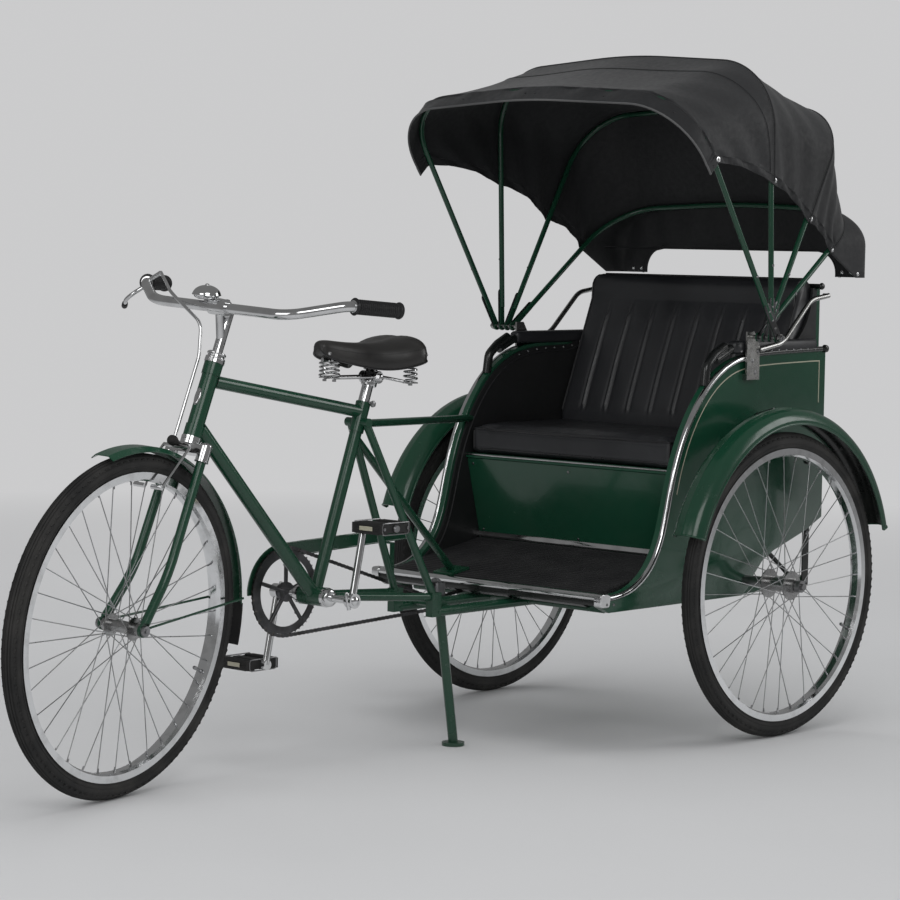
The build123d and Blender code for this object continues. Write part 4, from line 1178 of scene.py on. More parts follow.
@dataclass(frozen=True)
class Hide:
    """Waxed leather cloth: a pebbled grain, soft creases and rubbed high spots."""

    name: str
    colour: Colour
    rubbed: Colour
    roughness: float = 0.36
    depth: float = 0.25

    def make(self) -> bpy.types.Material:
        """Builds the material.

        Returns:
            The leather.
        """
        s = Shader(self.name, IOR=1.48, Coat_Weight=0.12, Coat_Roughness=0.32)
        grain, crease = s.cells(520.0), s.noise(46.0, 6.0)
        broad = s.noise(5.0, 3.0)
        tone = s.blend(s.spread(broad, 0.0, 1.0), self.colour, self.rubbed)
        tone = s.blend(s.spread(grain, 0.0, 0.35, 0.0, 0.6), tone, self.colour)
        s.paint(tone, s.sum((s.spread(crease, self.roughness - 0.05, self.roughness + 0.09), 1.0),
                            (s.spread(broad, -0.04, 0.06), 1.0)))
        s.relief(s.sum((grain, 0.5), (crease, 1.4), (s.noise(900.0, 2.0), 0.2)), self.depth, 0.55)
        return s.material


@dataclass(frozen=True)
class Canvas:
    """Coated duck: a fine plain weave, a soft sheen and faded folds."""

    name: str
    colour: Colour
    faded: Colour
    pitch: float = 1.5

    def make(self) -> bpy.types.Material:
        """Builds the material.

        Returns:
            The cloth.
        """
        s = Shader(self.name, Sheen_Weight=0.10, Sheen_Roughness=0.45, IOR=1.4)
        waves = []
        for direction in ("X", "Y"):
            wave = s.new("ShaderNodeTexWave")
            wave.wave_type, wave.bands_direction, wave.wave_profile = "BANDS", direction, "SIN"
            s.link(s.uv, wave.inputs["Vector"])
            wave.inputs["Scale"].default_value = 1000.0 / self.pitch / 6.2832 * 0.5
            wave.inputs["Distortion"].default_value = 0.6
            wave.inputs["Detail"].default_value = 1.0
            waves.append(wave.outputs["Fac"] if "Fac" in wave.outputs else wave.outputs[1])
        weave = s.sum((waves[0], 0.5), (waves[1], 0.5))
        broad, mottle = s.noise(3.2, 4.0), s.noise(85.0, 5.0)
        tone = s.blend(s.spread(broad, 0.0, 1.0), self.colour, self.faded)
        tone = s.blend(s.spread(s.sum((weave, 0.5), (mottle, 0.5)), 0.0, 0.32), tone, self.colour)
        s.paint(tone, s.spread(mottle, 0.56, 0.72))
        s.relief(s.sum((weave, 0.7), (mottle, 1.2)), 0.22, 0.5)
        return s.material


@dataclass(frozen=True)
class Thread:
    """Waxed sewing thread."""

    name: str
    colour: Colour

    def make(self) -> bpy.types.Material:
        """Builds the material.

        Returns:
            The thread.
        """
        s = Shader(self.name, IOR=1.45)
        twist = s.noise(1600.0, 1.0)
        dark = tuple(c * 0.55 for c in self.colour)
        s.paint(s.blend(s.spread(twist, 0.0, 1.0), self.colour, dark), s.spread(twist, 0.55, 0.75))
        s.relief(s.sum((twist, 1.0)), 0.1, 0.5)
        return s.material


class Finishes:
    """Every finish on the machine, made once."""

    def __init__(self) -> None:
        """Makes them all."""
        self.green = Enamel("green_enamel", (0.008, 0.050, 0.026), (0.006, 0.040, 0.021)).make()
        self.green_panel = Enamel("green_panel_enamel", (0.009, 0.056, 0.030), (0.007, 0.045, 0.024),
                                  0.16).make()
        self.black_enamel = Enamel("black_enamel", (0.008, 0.009, 0.009), (0.006, 0.008, 0.007), 0.24).make()
        # cream is the reflectors' own colour; on the side panels' line it is partly the line's own tone and partly a
        # painted highlight
        self.cream = Enamel("cream_lining", (0.42, 0.40, 0.31), (0.36, 0.34, 0.26), 0.3).make()
        self.chrome = Plate("chrome", (0.72, 0.725, 0.73), (0.58, 0.58, 0.585), 0.06, 0.14, 0.01).make()
        self.nickel = Plate("dull_nickel", (0.42, 0.42, 0.41), (0.36, 0.355, 0.345), 0.22, 0.32, 0.01).make()
        self.steel = Plate("dull_steel", (0.33, 0.33, 0.34), (0.19, 0.19, 0.19), 0.28, 0.45).make()
        self.chain_steel = Plate("oiled_steel", (0.16, 0.15, 0.14), (0.07, 0.065, 0.06), 0.25, 0.5).make()
        self.link_steel = Plate("dark_steel", (0.11, 0.11, 0.115), (0.05, 0.05, 0.05), 0.3, 0.5).make()
        self.tyre = MouldedRubber("tyre_rubber", (0.012, 0.012, 0.012), (0.055, 0.052, 0.048), 0.76).make()
        self.rubber = MouldedRubber("rubber", (0.010, 0.010, 0.010), (0.035, 0.034, 0.033), 0.68).make()
        self.mat = MouldedRubber("mat_rubber", (0.012, 0.012, 0.013), (0.032, 0.032, 0.032), 0.5,
                                 400.0).make()
        self.grip = MouldedRubber("grip_plastic", (0.010, 0.010, 0.011), (0.024, 0.024, 0.024), 0.46,
                                  300.0).make()
        self.leather = Hide("black_leather", (0.012, 0.0125, 0.0145), (0.028, 0.029, 0.032)).make()
        self.saddle_hide = Hide("saddle_leather", (0.013, 0.0125, 0.012), (0.034, 0.032, 0.030), 0.4,
                                0.35).make()
        self.piping = Hide("piping_leather", (0.010, 0.010, 0.011), (0.022, 0.022, 0.024), 0.3, 0.1).make()
        self.lining = Hide("lining_vinyl", (0.006, 0.0065, 0.007), (0.011, 0.0115, 0.012), 0.6, 0.15).make()
        self.canvas = Canvas("charcoal_canvas", (0.0095, 0.010, 0.011), (0.019, 0.0195, 0.021)).make()
        self.canvas_edge = Canvas("canvas_binding", (0.060, 0.061, 0.062), (0.12, 0.12, 0.12)).make()
        self.thread = Thread("dark_thread", (0.032, 0.033, 0.035)).make()
        self.lining_thread = Thread("black_thread", (0.016, 0.016, 0.018)).make()


# ================================================================ room, light and camera
@dataclass
class Studio:
    """A pale floor and wall, soft lamps and the camera."""

    tone: float = 0.60
    ambient: float = 0.50
    mirror_tone: float = 0.19
    floor_half: float = 26.0
    camera_place: tuple[float, float, float] = (4.675, 4.496, 1.170)
    yaw: float = 223.09
    pitch: float = 4.31
    roll: float = 0.84
    lens: float = 116.0

    def camera(self) -> None:
        """Places the camera."""
        yaw, pitch, roll = radians(self.yaw), radians(self.pitch), radians(self.roll)
        ahead = Vector((cos(yaw) * cos(pitch), sin(yaw) * cos(pitch), -sin(pitch)))
        flat = Vector((sin(yaw), -cos(yaw), 0.0))
        lift = flat.cross(ahead)
        right = flat * cos(roll) + lift * sin(roll)
        up = lift * cos(roll) - flat * sin(roll)
        data = bpy.data.cameras.new("Camera")
        data.lens, data.sensor_width, data.sensor_fit = self.lens, 36.0, "HORIZONTAL"
        data.clip_end = 200.0
        camera = bpy.data.objects.new("Camera", data)
        camera.matrix_world = Matrix((
            (right.x, up.x, -ahead.x, self.camera_place[0]), (right.y, up.y, -ahead.y, self.camera_place[1]),
            (right.z, up.z, -ahead.z, self.camera_place[2]), (0, 0, 0, 1)))
        bpy.context.scene.collection.objects.link(camera)
        bpy.context.scene.camera = camera

    def lamp(self, name: str, place: tuple[float, float, float], aim: tuple[float, float, float],
             size: tuple[float, float], watts: float, mirrored: bool = True) -> None:
        """Adds one soft rectangular lamp.

        Args:
            name: the lamp's name.
            place: where it stands.
            aim: what it looks at.
            size: width and height in metres.
            watts: its power.
            mirrored: whether bright metal shows it.
        """
        data = bpy.data.lights.new(name, "AREA")
        data.shape, data.size, data.size_y, data.energy = "RECTANGLE", size[0], size[1], watts
        obj = bpy.data.objects.new(name, data)
        obj.location = place
        obj.visible_glossy = mirrored
        obj.rotation_euler = (Vector(aim) - Vector(place)).to_track_quat("-Z", "Y").to_euler()
        bpy.context.scene.collection.objects.link(obj)

    def wall(self) -> tuple[float, float, float, float]:
        """The colour that the camera sees behind the machine."""
        return (self.tone, self.tone, self.tone * 1.01, 1.0)

    def world(self) -> None:
        """A pale room that light and reflections both see."""
        world = bpy.data.worlds.new("Room")
        world.use_nodes = True
        tree = world.node_tree
        tree.nodes.clear()
        new, link = tree.nodes.new, tree.links.new
        path = new("ShaderNodeLightPath")
        out = new("ShaderNodeOutputWorld")
        shades = []
        cool, white = (0.97, 0.985, 1.0, 1.0), (1.0, 1.0, 1.0, 1.0)
        for colour, strength in ((cool, self.ambient), (white, self.mirror_tone), (self.wall(), 1.0)):
            shade = new("ShaderNodeBackground")
            shade.inputs["Color"].default_value = colour
            shade.inputs["Strength"].default_value = strength
            shades.append(shade)
        lit, mirror, seen = shades
        for ray, shade in (("Is Glossy Ray", mirror), ("Is Transmission Ray", seen), ("Is Camera Ray", seen)):
            mix = new("ShaderNodeMixShader")
            link(path.outputs[ray], mix.inputs["Fac"])
            link(lit.outputs[0], mix.inputs[1])
            link(shade.outputs[0], mix.inputs[2])
            lit = mix
        link(lit.outputs[0], out.inputs["Surface"])
        bpy.context.scene.world = world

    def floor(self) -> None:
        """A wide pale floor that fades into the room away from the machine."""
        s = Shader("studio_floor", Roughness=0.85, IOR=1.3)
        length = s.new("ShaderNodeVectorMath")
        length.operation = "LENGTH"
        s.link(s.place, length.inputs[0])
        far = s.spread(length.outputs["Value"], 0.0, 1.0, 2.2, 6.5)
        tone = s.blend(s.spread(s.noise(1.2, 2.0), 0.0, 1.0), (0.60, 0.60, 0.605), (0.585, 0.585, 0.59))
        s.link(tone, s.bsdf.inputs["Base Color"])
        glow, mix = s.new("ShaderNodeEmission"), s.new("ShaderNodeMixShader")
        glow.inputs["Color"].default_value = self.wall()
        sight, dim, faint = s.new("ShaderNodeLightPath"), s.new("ShaderNodeMath"), s.new("ShaderNodeMath")
        dim.operation, faint.operation = "MULTIPLY", "SUBTRACT"
        s.link(sight.outputs["Is Glossy Ray"], dim.inputs[0])
        dim.inputs[1].default_value = 1.0 - self.mirror_tone / self.tone
        faint.inputs[0].default_value = 1.0
        s.link(dim.outputs[0], faint.inputs[1])
        s.link(faint.outputs[0], glow.inputs["Strength"])
        out = next(n for n in s.tree.nodes if n.type == "OUTPUT_MATERIAL")
        s.link(far, mix.inputs["Fac"])
        s.link(s.bsdf.outputs["BSDF"], mix.inputs[1])
        s.link(glow.outputs["Emission"], mix.inputs[2])
        s.link(mix.outputs[0], out.inputs["Surface"])
        h, tiles = self.floor_half, 24
        rows = [[Vector((-h + 2 * h * i / tiles, -h + 2 * h * j / tiles, 0.0)) for i in range(tiles + 1)]
                for j in range(tiles + 1)]
        form = Form()
        form.grid(rows)
        floor = form.build("floor", s.material, outwards=False)
        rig.stage(floor)

    def build(self) -> None:
        """Sets up the whole room."""
        bpy.context.scene.view_settings.view_transform = "Standard"
        self.camera()
        self.world()
        self.floor()
        self.lamp("key", (3.2, 3.9, 3.6), (0.0, 0.2, 0.7), (2.8, 2.2), 62.0)
        self.lamp("fill", (4.6, 0.4, 2.2), (0.2, 0.0, 0.7), (2.2, 2.2), 30.0)
        self.lamp("top", (-0.4, 0.4, 4.4), (-0.2, 0.0, 0.6), (3.4, 2.6), 52.0, False)
        self.lamp("side", (-3.6, 3.0, 2.4), (-0.5, 0.2, 0.8), (1.6, 2.4), 36.0)
        self.lamp("rear", (-2.6, -3.4, 3.0), (-0.2, 0.0, 0.8), (2.6, 1.8), 30.0, False)
        log.info("studio: camera, world, floor and five lamps")


@dataclass
class FramePaint:
    """Gives every node of the frame its finish."""

    finishes: Finishes
    groups: dict[str, tuple[str, ...]] = field(default_factory=lambda: {
        "green": ("head_tube", "top_tube", "down_tube", "seat_tube", "rear_stays", "bottom_bracket_shell",
                  "carriage_frame", "centre_rails", "carriage_braces", "chain_guard", "fenders",
                  "fork_blades", "front_mudguard", "stand_leg", "hood_bow_front", "hood_bow_top",
                  "hood_bow_shoulder", "hood_bow_rear"),
        "green_panel": ("side_panels", "seat_box"),
        "black_enamel": ("arm_rails", "floor_board"),
        "chrome": ("handlebar", "stem", "bell", "front_brake", "headset_cups", "fork_crown", "chrome_trim",
                   "seat_post", "cranks"),
        "steel": ("rear_axle", "front_axle", "chain_idler", "saddle_frame"),
        "nickel": ("hood_brackets",),
        "link_steel": ("chainring",),
        "chain_steel": ("chain",),
        "tyre": ("rear_tyre_left", "rear_tyre_right", "front_tyre"),
        "rubber": ("mudguard_flap", "pedal_left", "pedal_right"),
        "mat": ("floor_mat",),
        "grip": ("grips",),
        "leather": ("seat_cushion", "backrest"),
        "saddle_hide": ("saddle",),
        "lining": ("side_linings",),
        "canvas": ("canopy_front", "canopy_top", "canopy_shoulder", "rear_curtain"),
    })

    def put(self, node: str, finish: bpy.types.Material) -> None:
        """Puts one finish in every material slot of a node.

        Args:
            node: name of the node.
            finish: its material.
        """
        mesh = frame["nodes"][node].data
        if not mesh.materials:
            mesh.materials.append(finish)
        for i in range(len(mesh.materials)):
            mesh.materials[i] = finish

    def build(self) -> None:
        """Paints every node."""
        for finish, nodes in self.groups.items():
            for node in nodes:
                self.put(node, getattr(self.finishes, finish))
        wheels = [j for j in frame["joints"]
                  if j["name"].endswith("wheel_spin") or j["name"].startswith("rear_wheel")]
        for j in wheels:
            plate = SpokeWheelPlate(f"{j['child']}_plate", tuple(j["pos_m"]), tuple(j["axis"]))
            self.put(j["child"], plate.make())
        log.info("frame: %d nodes painted", sum(len(n) for n in self.groups.values()) + len(wheels))


# ================================================================ hood
class ClothGrid:
    """A sheet of cloth as rows of points, with places found by row and column."""

    def __init__(self, rows: list[list[Point]], middle: Point, hem_rows: int = 0) -> None:
        """Keeps the rows.

        Args:
            rows: the points, front row first.
            middle: a point inside, from which the cloth faces away.
            hem_rows: how many of the rows are the hem in front of the bow.
        """
        self.rows, self.middle, self.hem_rows = rows, middle, hem_rows

    def normal(self, i: int, j: int) -> Point:
        """The cloth's outward direction at a point of the grid.

        Args:
            i: row number.
            j: column number.

        Returns:
            A unit vector.
        """
        n, m = len(self.rows), len(self.rows[0])
        a = self.rows[min(n - 1, i + 1)][j] - self.rows[max(0, i - 1)][j]
        b = self.rows[i][min(m - 1, j + 1)] - self.rows[i][max(0, j - 1)]
        out = a.cross(b)
        if out.length < 1e-12:
            return (self.rows[i][j] - self.middle).normalized()
        return out.normalized() * (1 if out.dot(self.rows[i][j] - self.middle) > 0 else -1)

    def spot(self, row: float, column: float, lift: float) -> Point:
        """A point on the cloth, lifted off it.

        Args:
            row: row number, not always whole.
            column: column number, not always whole.
            lift: millimetres outwards.

        Returns:
            The point.
        """
        row = max(0.0, min(len(self.rows) - 1.001, row))
        column = max(0.0, min(len(self.rows[0]) - 1.001, column))
        i, j = int(row), int(column)
        a = self.rows[i][j].lerp(self.rows[i][j + 1], column - j)
        b = self.rows[i + 1][j].lerp(self.rows[i + 1][j + 1], column - j)
        return a.lerp(b, row - i) + self.normal(i, j) * (lift / 1000)

    def beside(self, row: float, column: int, shift: float) -> float:
        """The row number that lies a number of millimetres behind a row.

        Args:
            row: row number to start from.
            column: column in which it is measured.
            shift: millimetres behind the row, or less than 0 for in front.

        Returns:
            A row number, not always whole.
        """
        i = int(max(0, min(len(self.rows) - 2, row if shift > 0 else row - 0.01)))
        step = (self.rows[i + 1][column] - self.rows[i][column]).length * 1000
        return row + shift / max(0.5, step)

    def area(self) -> float:
        """The cloth's area in square metres.

        Returns:
            The sum over the grid's cells.
        """
        total = 0.0
        for a, b in zip(self.rows, self.rows[1:]):
            for p, q, r, s in zip(a, a[1:], b[1:], b):
                total += ((r - p).cross(s - q)).length / 2
        return total

    def spans(self) -> tuple[float, float]:
        """The longest run along the rows and along the columns, in metres.

        Returns:
            The two lengths.
        """
        wide = max(sum((b - a).length for a, b in zip(row, row[1:])) for row in self.rows)
        columns = list(zip(*self.rows))
        return wide, max(sum((b - a).length for a, b in zip(c, c[1:])) for c in columns)


HOOD_PIVOT = (15.0, 934.0)


@dataclass(frozen=True)
class Bow:
    """One hoop of the hood.

    Attributes:
        name: its place on the hood.
        angle: how far it leans forward of upright, in degrees.
        reach: from the pivot to its crown.
        half: half its width.
        foot: from the pivot to the cloth's lower edge.
    """

    name: str
    angle: float
    reach: float
    half: float
    foot: float

    @property
    def body(self) -> str:
        """The body that it is."""
        return f"hood_{self.name}"


def in_bow(angle: float, left: float, up: float) -> Point:
    """A point given in a bow's own plane.

    Args:
        angle: the bow's angle forward of upright, in degrees.
        left: millimetres to the left.
        up: millimetres from the pivot.

    Returns:
        The point in the frame.
    """
    a = radians(angle)
    return at(HOOD_PIVOT[0] + up * sin(a), left, HOOD_PIVOT[1] + up * cos(a))


@dataclass
class Hood:
    """Four bows, the cloth between them and the curtain behind."""

    finishes: Finishes
    shop: Workshop
    bows: tuple[Bow, ...] = (
        Bow("front", 32.0, 672.0, 440.0, 469.0), Bow("top", 2.0, 656.0, 422.0, 355.0),
        Bow("shoulder", -29.0, 636.0, 404.0, 308.0), Bow("rear", -53.0, 525.0, 386.0, 330.0))
    corner_r: float = 150.0
    crown: float = 30.0
    crown_r: float = 1500.0
    lift: float = 8.8            # middle of the cloth above the middle of a bow
    cloth_t: float = 1.9
    front_hem_angle: float = 4.5
    sags: tuple[float, ...] = (9.0, 8.0, 7.0)
    stitch: float = 5.5
    thread_r: float = 0.42
    back_x: float = -413.0
    curtain_foot: float = 1072.0
    arch_top: float = 1135.0
    arch_half: float = 300.0
    arch_r: float = 55.0
    leg_steps: int = 18
    arc_steps: int = 22
    top_steps: int = 44

    def line(self, bow: Bow, angle: float, lift: float, foot: float, drop: float = 0.0) -> list[Point]:
        """The cloth's line over a bow, from its left foot to its right.

        Args:
            bow: the bow.
            angle: the plane's angle, which may be ahead of the bow.
            lift: millimetres outside the bow's middle.
            foot: radius of the cloth's lower edge.
            drop: how much lower the crown is.

        Returns:
            The same number of points for every bow.
        """
        slope = atan2(self.crown, bow.half)
        side = bow.half + lift
        up = bow.reach - drop - self.crown - lift * tan(slope) + lift / cos(slope)
        peak = bow.reach - drop + lift / cos(slope)
        corners = [in_bow(angle, y, z) for y, z in (
            (side, foot), (side, up), (0.0, peak), (-side, up), (-side, foot))]
        fine = self.top_steps // 3
        bend, crown = (self.corner_r + lift, self.arc_steps), (self.crown_r + lift, fine)
        arcs = [round_corner(corners[k], corners[k + 1], corners[k + 2], r / 1000, n)
                for k, (r, n) in enumerate((bend, crown, bend))]
        leg = (arcs[0][0] - corners[0]).length * 1000
        near = [0.0, 1.5, 4.0, 8.0, 12.0, 16.0, 19.0, 20.5, 21.6, 22.6, 24.0]
        rest = self.leg_steps - len(near)
        stops = near + [24.0 + (leg - 24.0) * (k + 1) / (rest + 1) for k in range(rest)]
        leg_points = [corners[0].lerp(arcs[0][0], d / leg) for d in stops]
        half = leg_points + arcs[0][:-1] + straight(arcs[0][-1], arcs[1][0], fine)[:-1] + arcs[1]
        across = half + straight(arcs[1][-1], arcs[2][0], fine)[1:] + arcs[2][1:]
        right = [corners[4].lerp(arcs[2][-1], d / leg) for d in stops]
        return across + right[::-1]

    def panel(self, k: int) -> ClothGrid:
        """The cloth between two bows.

        Args:
            k: number of the front one of the two.

        Returns:
            The sheet's middle surface, with its sag, hem and puckers.
        """
        a, b = self.bows[k], self.bows[k + 1]
        extra = 2.2 if a.reach - b.reach > 50 else 0.0
        first = self.line(a, a.angle, self.lift + extra, a.foot)
        last = self.line(b, b.angle, self.lift, b.foot)
        rows, steps = [], 34
        if k == 0:
            edge = self.line(a, a.angle + self.front_hem_angle, self.lift, a.foot - 6, 4.0)
            rows = [[p.lerp(q, t) for p, q in zip(edge, first)] for t in (
                0.0, 0.04, 0.1, 0.2, 0.32, 0.45, 0.58, 0.7, 0.8, 0.86, 0.9, 0.95)]
        hem_rows = len(rows)
        rows += [[p.lerp(q, i / steps) for p, q in zip(first, last)] for i in range(steps + 1)]
        total, m = len(rows), len(first)
        up = self.leg_steps + self.arc_steps // 2
        # the lower edge rises between its two rivets
        for i in range(hem_rows, total):
            u = (i - hem_rows) / steps
            rise = 0.016 * 4 * u * (1 - u)
            for j in range(m):
                d = min(j, m - 1 - j)
                if d < up:
                    way = rows[i][up if j < m / 2 else m - 1 - up] - rows[i][j]
                    rows[i][j] += way.normalized() * (rise * (1 - d / up) ** 1.3) if way.length > 0 else way
        grid = ClothGrid(rows, at(-90.0, 0.0, 1180.0), hem_rows)
        sag = self.sags[k]
        phase = 1.7 * k

        def moved(i: int, j: int, p: Point) -> float:
            """Millimetres that one point moves outwards.

            Args:
                i: row number.
                j: column number.
                p: the point before it moves.

            Returns:
                The distance, less than 0 where the cloth sags inwards.
            """
            d = min(j, m - 1 - j)
            u = (i - hem_rows) / steps
            out = 0.0
            if u >= 0:
                body = smooth_step(0.0, 0.12, u) * smooth_step(1.0, 0.88, u)
                out -= sag * 4 * u * (1 - u) * (0.55 + 0.45 * smooth_step(6, 34, d))
                # soft folds that run up from the rivets
                reach = smooth_step(52, 6, d)
                out += reach * body * 2.4 * sin(2 * pi * (2.6 * u + 0.06 * d) + phase)
                out += 0.8 * body * sin(p.y * 21 + 3 * u + phase) * sin(p.x * 27 + phase)
            if d <= 9:
                pucker = 0.9 * sin(2 * pi * u * 11 + phase) * smooth_step(9, 4, abs(d - 7))
                out += 0.75 + (pucker if u > 0 else 0.0)
            if k == 0 and i < hem_rows:
                t = i / hem_rows
                run = j * 9.0
                wave = sin(run / 17.0 + 1.2 * sin(run / 71.0)) + 0.5 * sin(run / 9.0 + 2.0)
                slack = smooth_step(0.15, 0.75, t) * smooth_step(1.0, 0.9, t) * smooth_step(2, 9, d)
                out += 0.9 + 2.9 * wave * slack
                out -= 1.8 * smooth_step(0.74, 0.82, t) * smooth_step(0.98, 0.9, t)
            return out

        grid.rows = [[p + grid.normal(i, j) * (moved(i, j, p) / 1000) for j, p in enumerate(row)]
                     for i, row in enumerate(grid.rows)]
        return grid

    def hang(self, obj: bpy.types.Object, k: int, slot: str = "canvas", replaces: Sequence[str] = ()) -> None:
        """Hangs a piece of the cloth between the two bows of a panel.

        Args:
            obj: the piece.
            k: number of the panel, from the front.
            slot: its colour slot.
            replaces: nodes that it stands for.
        """
        a, b = self.bows[k], self.bows[k + 1]
        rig.blend(obj, a.body, b.body, start=tuple(in_bow(a.angle, 0, 520)),
                 end=tuple(in_bow(b.angle, 0, 520)))
        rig.slot(obj, slot)
        if replaces:
            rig.replaces(obj, *replaces)
        log.info("piece %s hangs from %s and %s", obj.name, a.body, b.body)

    def sheet_piece(self, name: str, form: Form) -> bpy.types.Object:
        """Gives a sheet of cloth its thickness.

        Args:
            name: name of the piece.
            form: its middle surface.

        Returns:
            The piece as a plain mesh.
        """
        obj = form.build(name, self.finishes.canvas, sharp=60.0)
        solid = obj.modifiers.new("Thickness", "SOLIDIFY")
        solid.thickness, solid.offset, solid.use_even_offset = self.cloth_t / 1000, 0.0, False
        return freeze(obj)

    def canopy(self) -> list[ClothGrid]:
        """Builds the three panels with their seams, stitches and rivets.

        Returns:
            The grids, front one first.
        """
        grids = [self.panel(k) for k in range(3)]
        finishes, shop = self.finishes, self.shop
        for k, grid in enumerate(grids):
            name = f"canopy_{self.bows[k].name}"
            form = Form()
            form.grid(grid.rows)
            cloth = self.sheet_piece(f"{name}_cloth", form)
            self.hang(cloth, k, replaces=(name,))
            wide, deep = grid.spans()
            area = grid.area()
            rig.sheet(cloth, flat=(wide, deep), held="stretched", area=min(area, wide * deep),
                     rests_on=[f"hood_bow_{self.bows[k].name}", f"hood_bow_{self.bows[k + 1].name}"])
            m, n, h = len(grid.rows[0]), len(grid.rows), grid.hem_rows
            half = self.cloth_t / 2
            lines = [[grid.spot(i, c, half + 0.3) for i in range(h, n)] for c in (7.6, m - 8.6, 2.6, m - 3.6)]
            if k == 0:
                lines += [[grid.spot(r, j, half + 0.3) for j in range(2, m - 2)] for r in (1.6, 8.6, 9.6)]
                curve = [(n - 3 - 8.5 * smooth_step(8, 46, min(j, m - 1 - j)), j) for j in range(10, m - 10)]
                seam = Form().tube([grid.spot(r, j, half + 0.2) for r, j in curve], 0.0011, 6)
                self.hang(seam.build("canopy_gore_seam", finishes.canvas), 0)
                lines.append([grid.spot(r - 0.55, j, half + 0.3) for r, j in curve])
            thread = shop.stitches(f"{name}_stitches", lines, self.stitch, finishes.thread, self.thread_r)
            self.hang(thread, k)
        # the bound front edge
        front = grids[0]
        edge = Form().tube([p.copy() for p in front.rows[0]], 0.0024, 8)
        self.hang(edge.build("canopy_front_binding", finishes.canvas_edge), 0)
        # welts over the bows
        for k, bow in enumerate(self.bows[1:], start=1):
            grid = grids[k - 1]
            n, m = len(grid.rows), len(grid.rows[0])
            path = [grid.spot(n - 1.001, j, self.cloth_t / 2 + 0.5) for j in range(3, m - 3)]
            welt = f"canopy_welt_{bow.name}"
            carry(Form().tube(path, 0.0017, 6).build(welt, finishes.canvas), bow.body, "canvas")
            line = [grid.spot(grid.beside(n - 1, j, -5.0), j, self.cloth_t / 2 + 0.35)
                    for j in range(3, m - 3)]
            shop.sew(f"{welt}_stitches", [line], self.stitch, finishes.thread, self.thread_r, bow.body,
                     "canvas")
        self.rivets(grids)
        return grids

    def rivets(self, grids: list[ClothGrid]) -> None:
        """Fastens the cloth's corners to the bows.

        Args:
            grids: the cloth panels, front first.
        """
        for k, bow in enumerate(self.bows):
            grid = grids[min(k, 2)]
            row = grid.hem_rows if k == 0 else (0 if k < 3 else len(grid.rows) - 2)
            m = len(grid.rows[0])
            spots = [(grid.spot(row + 0.8, column, 0.6), sideways(side))
                     for column, side in ((3.5, 1), (m - 4.5, -1))]
            self.shop.rivets(f"hood_rivets_{bow.name}", spots, (4.2, 2.4, 6.4), self.finishes.chrome,
                             bow.body, "chrome")
        front = grids[0]
        m = len(front.rows[0])
        spots = [(front.spot(5, j, 0.8), front.normal(5, j))
                 for j in (3, 30, 46, 62, m - 63, m - 47, m - 31, m - 4)]
        self.shop.rivets("hood_front_studs", spots, (1.8, 1.2, 2.6), self.finishes.link_steel, "hood_front")

    def arch_y(self, z: float) -> float:
        """Half width of the arch at a height.

        Args:
            z: height in millimetres.

        Returns:
            Millimetres from the middle.
        """
        turn = self.arch_top - self.arch_r
        if z <= turn:
            return self.arch_half
        return self.arch_half - self.arch_r + sqrt(max(0.0, self.arch_r ** 2 - (z - turn) ** 2))

    def curtain_row(self, z: float, x: float, y: float, split: float, whole: bool) -> list[Point]:
        """One level line of the curtain.

        Args:
            z: its height.
            x: where it leaves the bow.
            y: half its width.
            split: half width of the part above the arch.
            whole: whether it runs right across, or stops at the arch.

        Returns:
            Its points, from the left bow backwards and across.
        """
        room = max(0.5, x - self.back_x)
        r = min(30.0, room * 0.8, y * 0.45)
        turn = (self.back_x + r, y - r)
        side = [(x + (turn[0] - x) * i / 10, y) for i in range(10)]
        bend = [(turn[0] - r * sin(pi / 2 * i / 7), turn[1] + r * cos(pi / 2 * i / 7)) for i in range(7)]
        flat = [(self.back_x, turn[1] + (split - turn[1]) * i / 14) for i in range(15)]
        plan = side + bend + flat
        if whole:
            middle = [(self.back_x, split - 2 * split * i / 26) for i in range(1, 26)]
            plan = plan + middle + [(a, -b) for a, b in reversed(plan)]
        out = []
        for a, b in plan:
            back = smooth_step(60.0, 0.0, a - self.back_x)
            broad = 3.0 * sin(b / 34.0 + 0.9 * sin(z / 47.0)) * smooth_step(1250, 1150, z)
            fold = broad + 1.5 * sin(b / 13.0 + z / 90)
            out.append(at(a + back * (3.4 + fold), b, z))
        return out

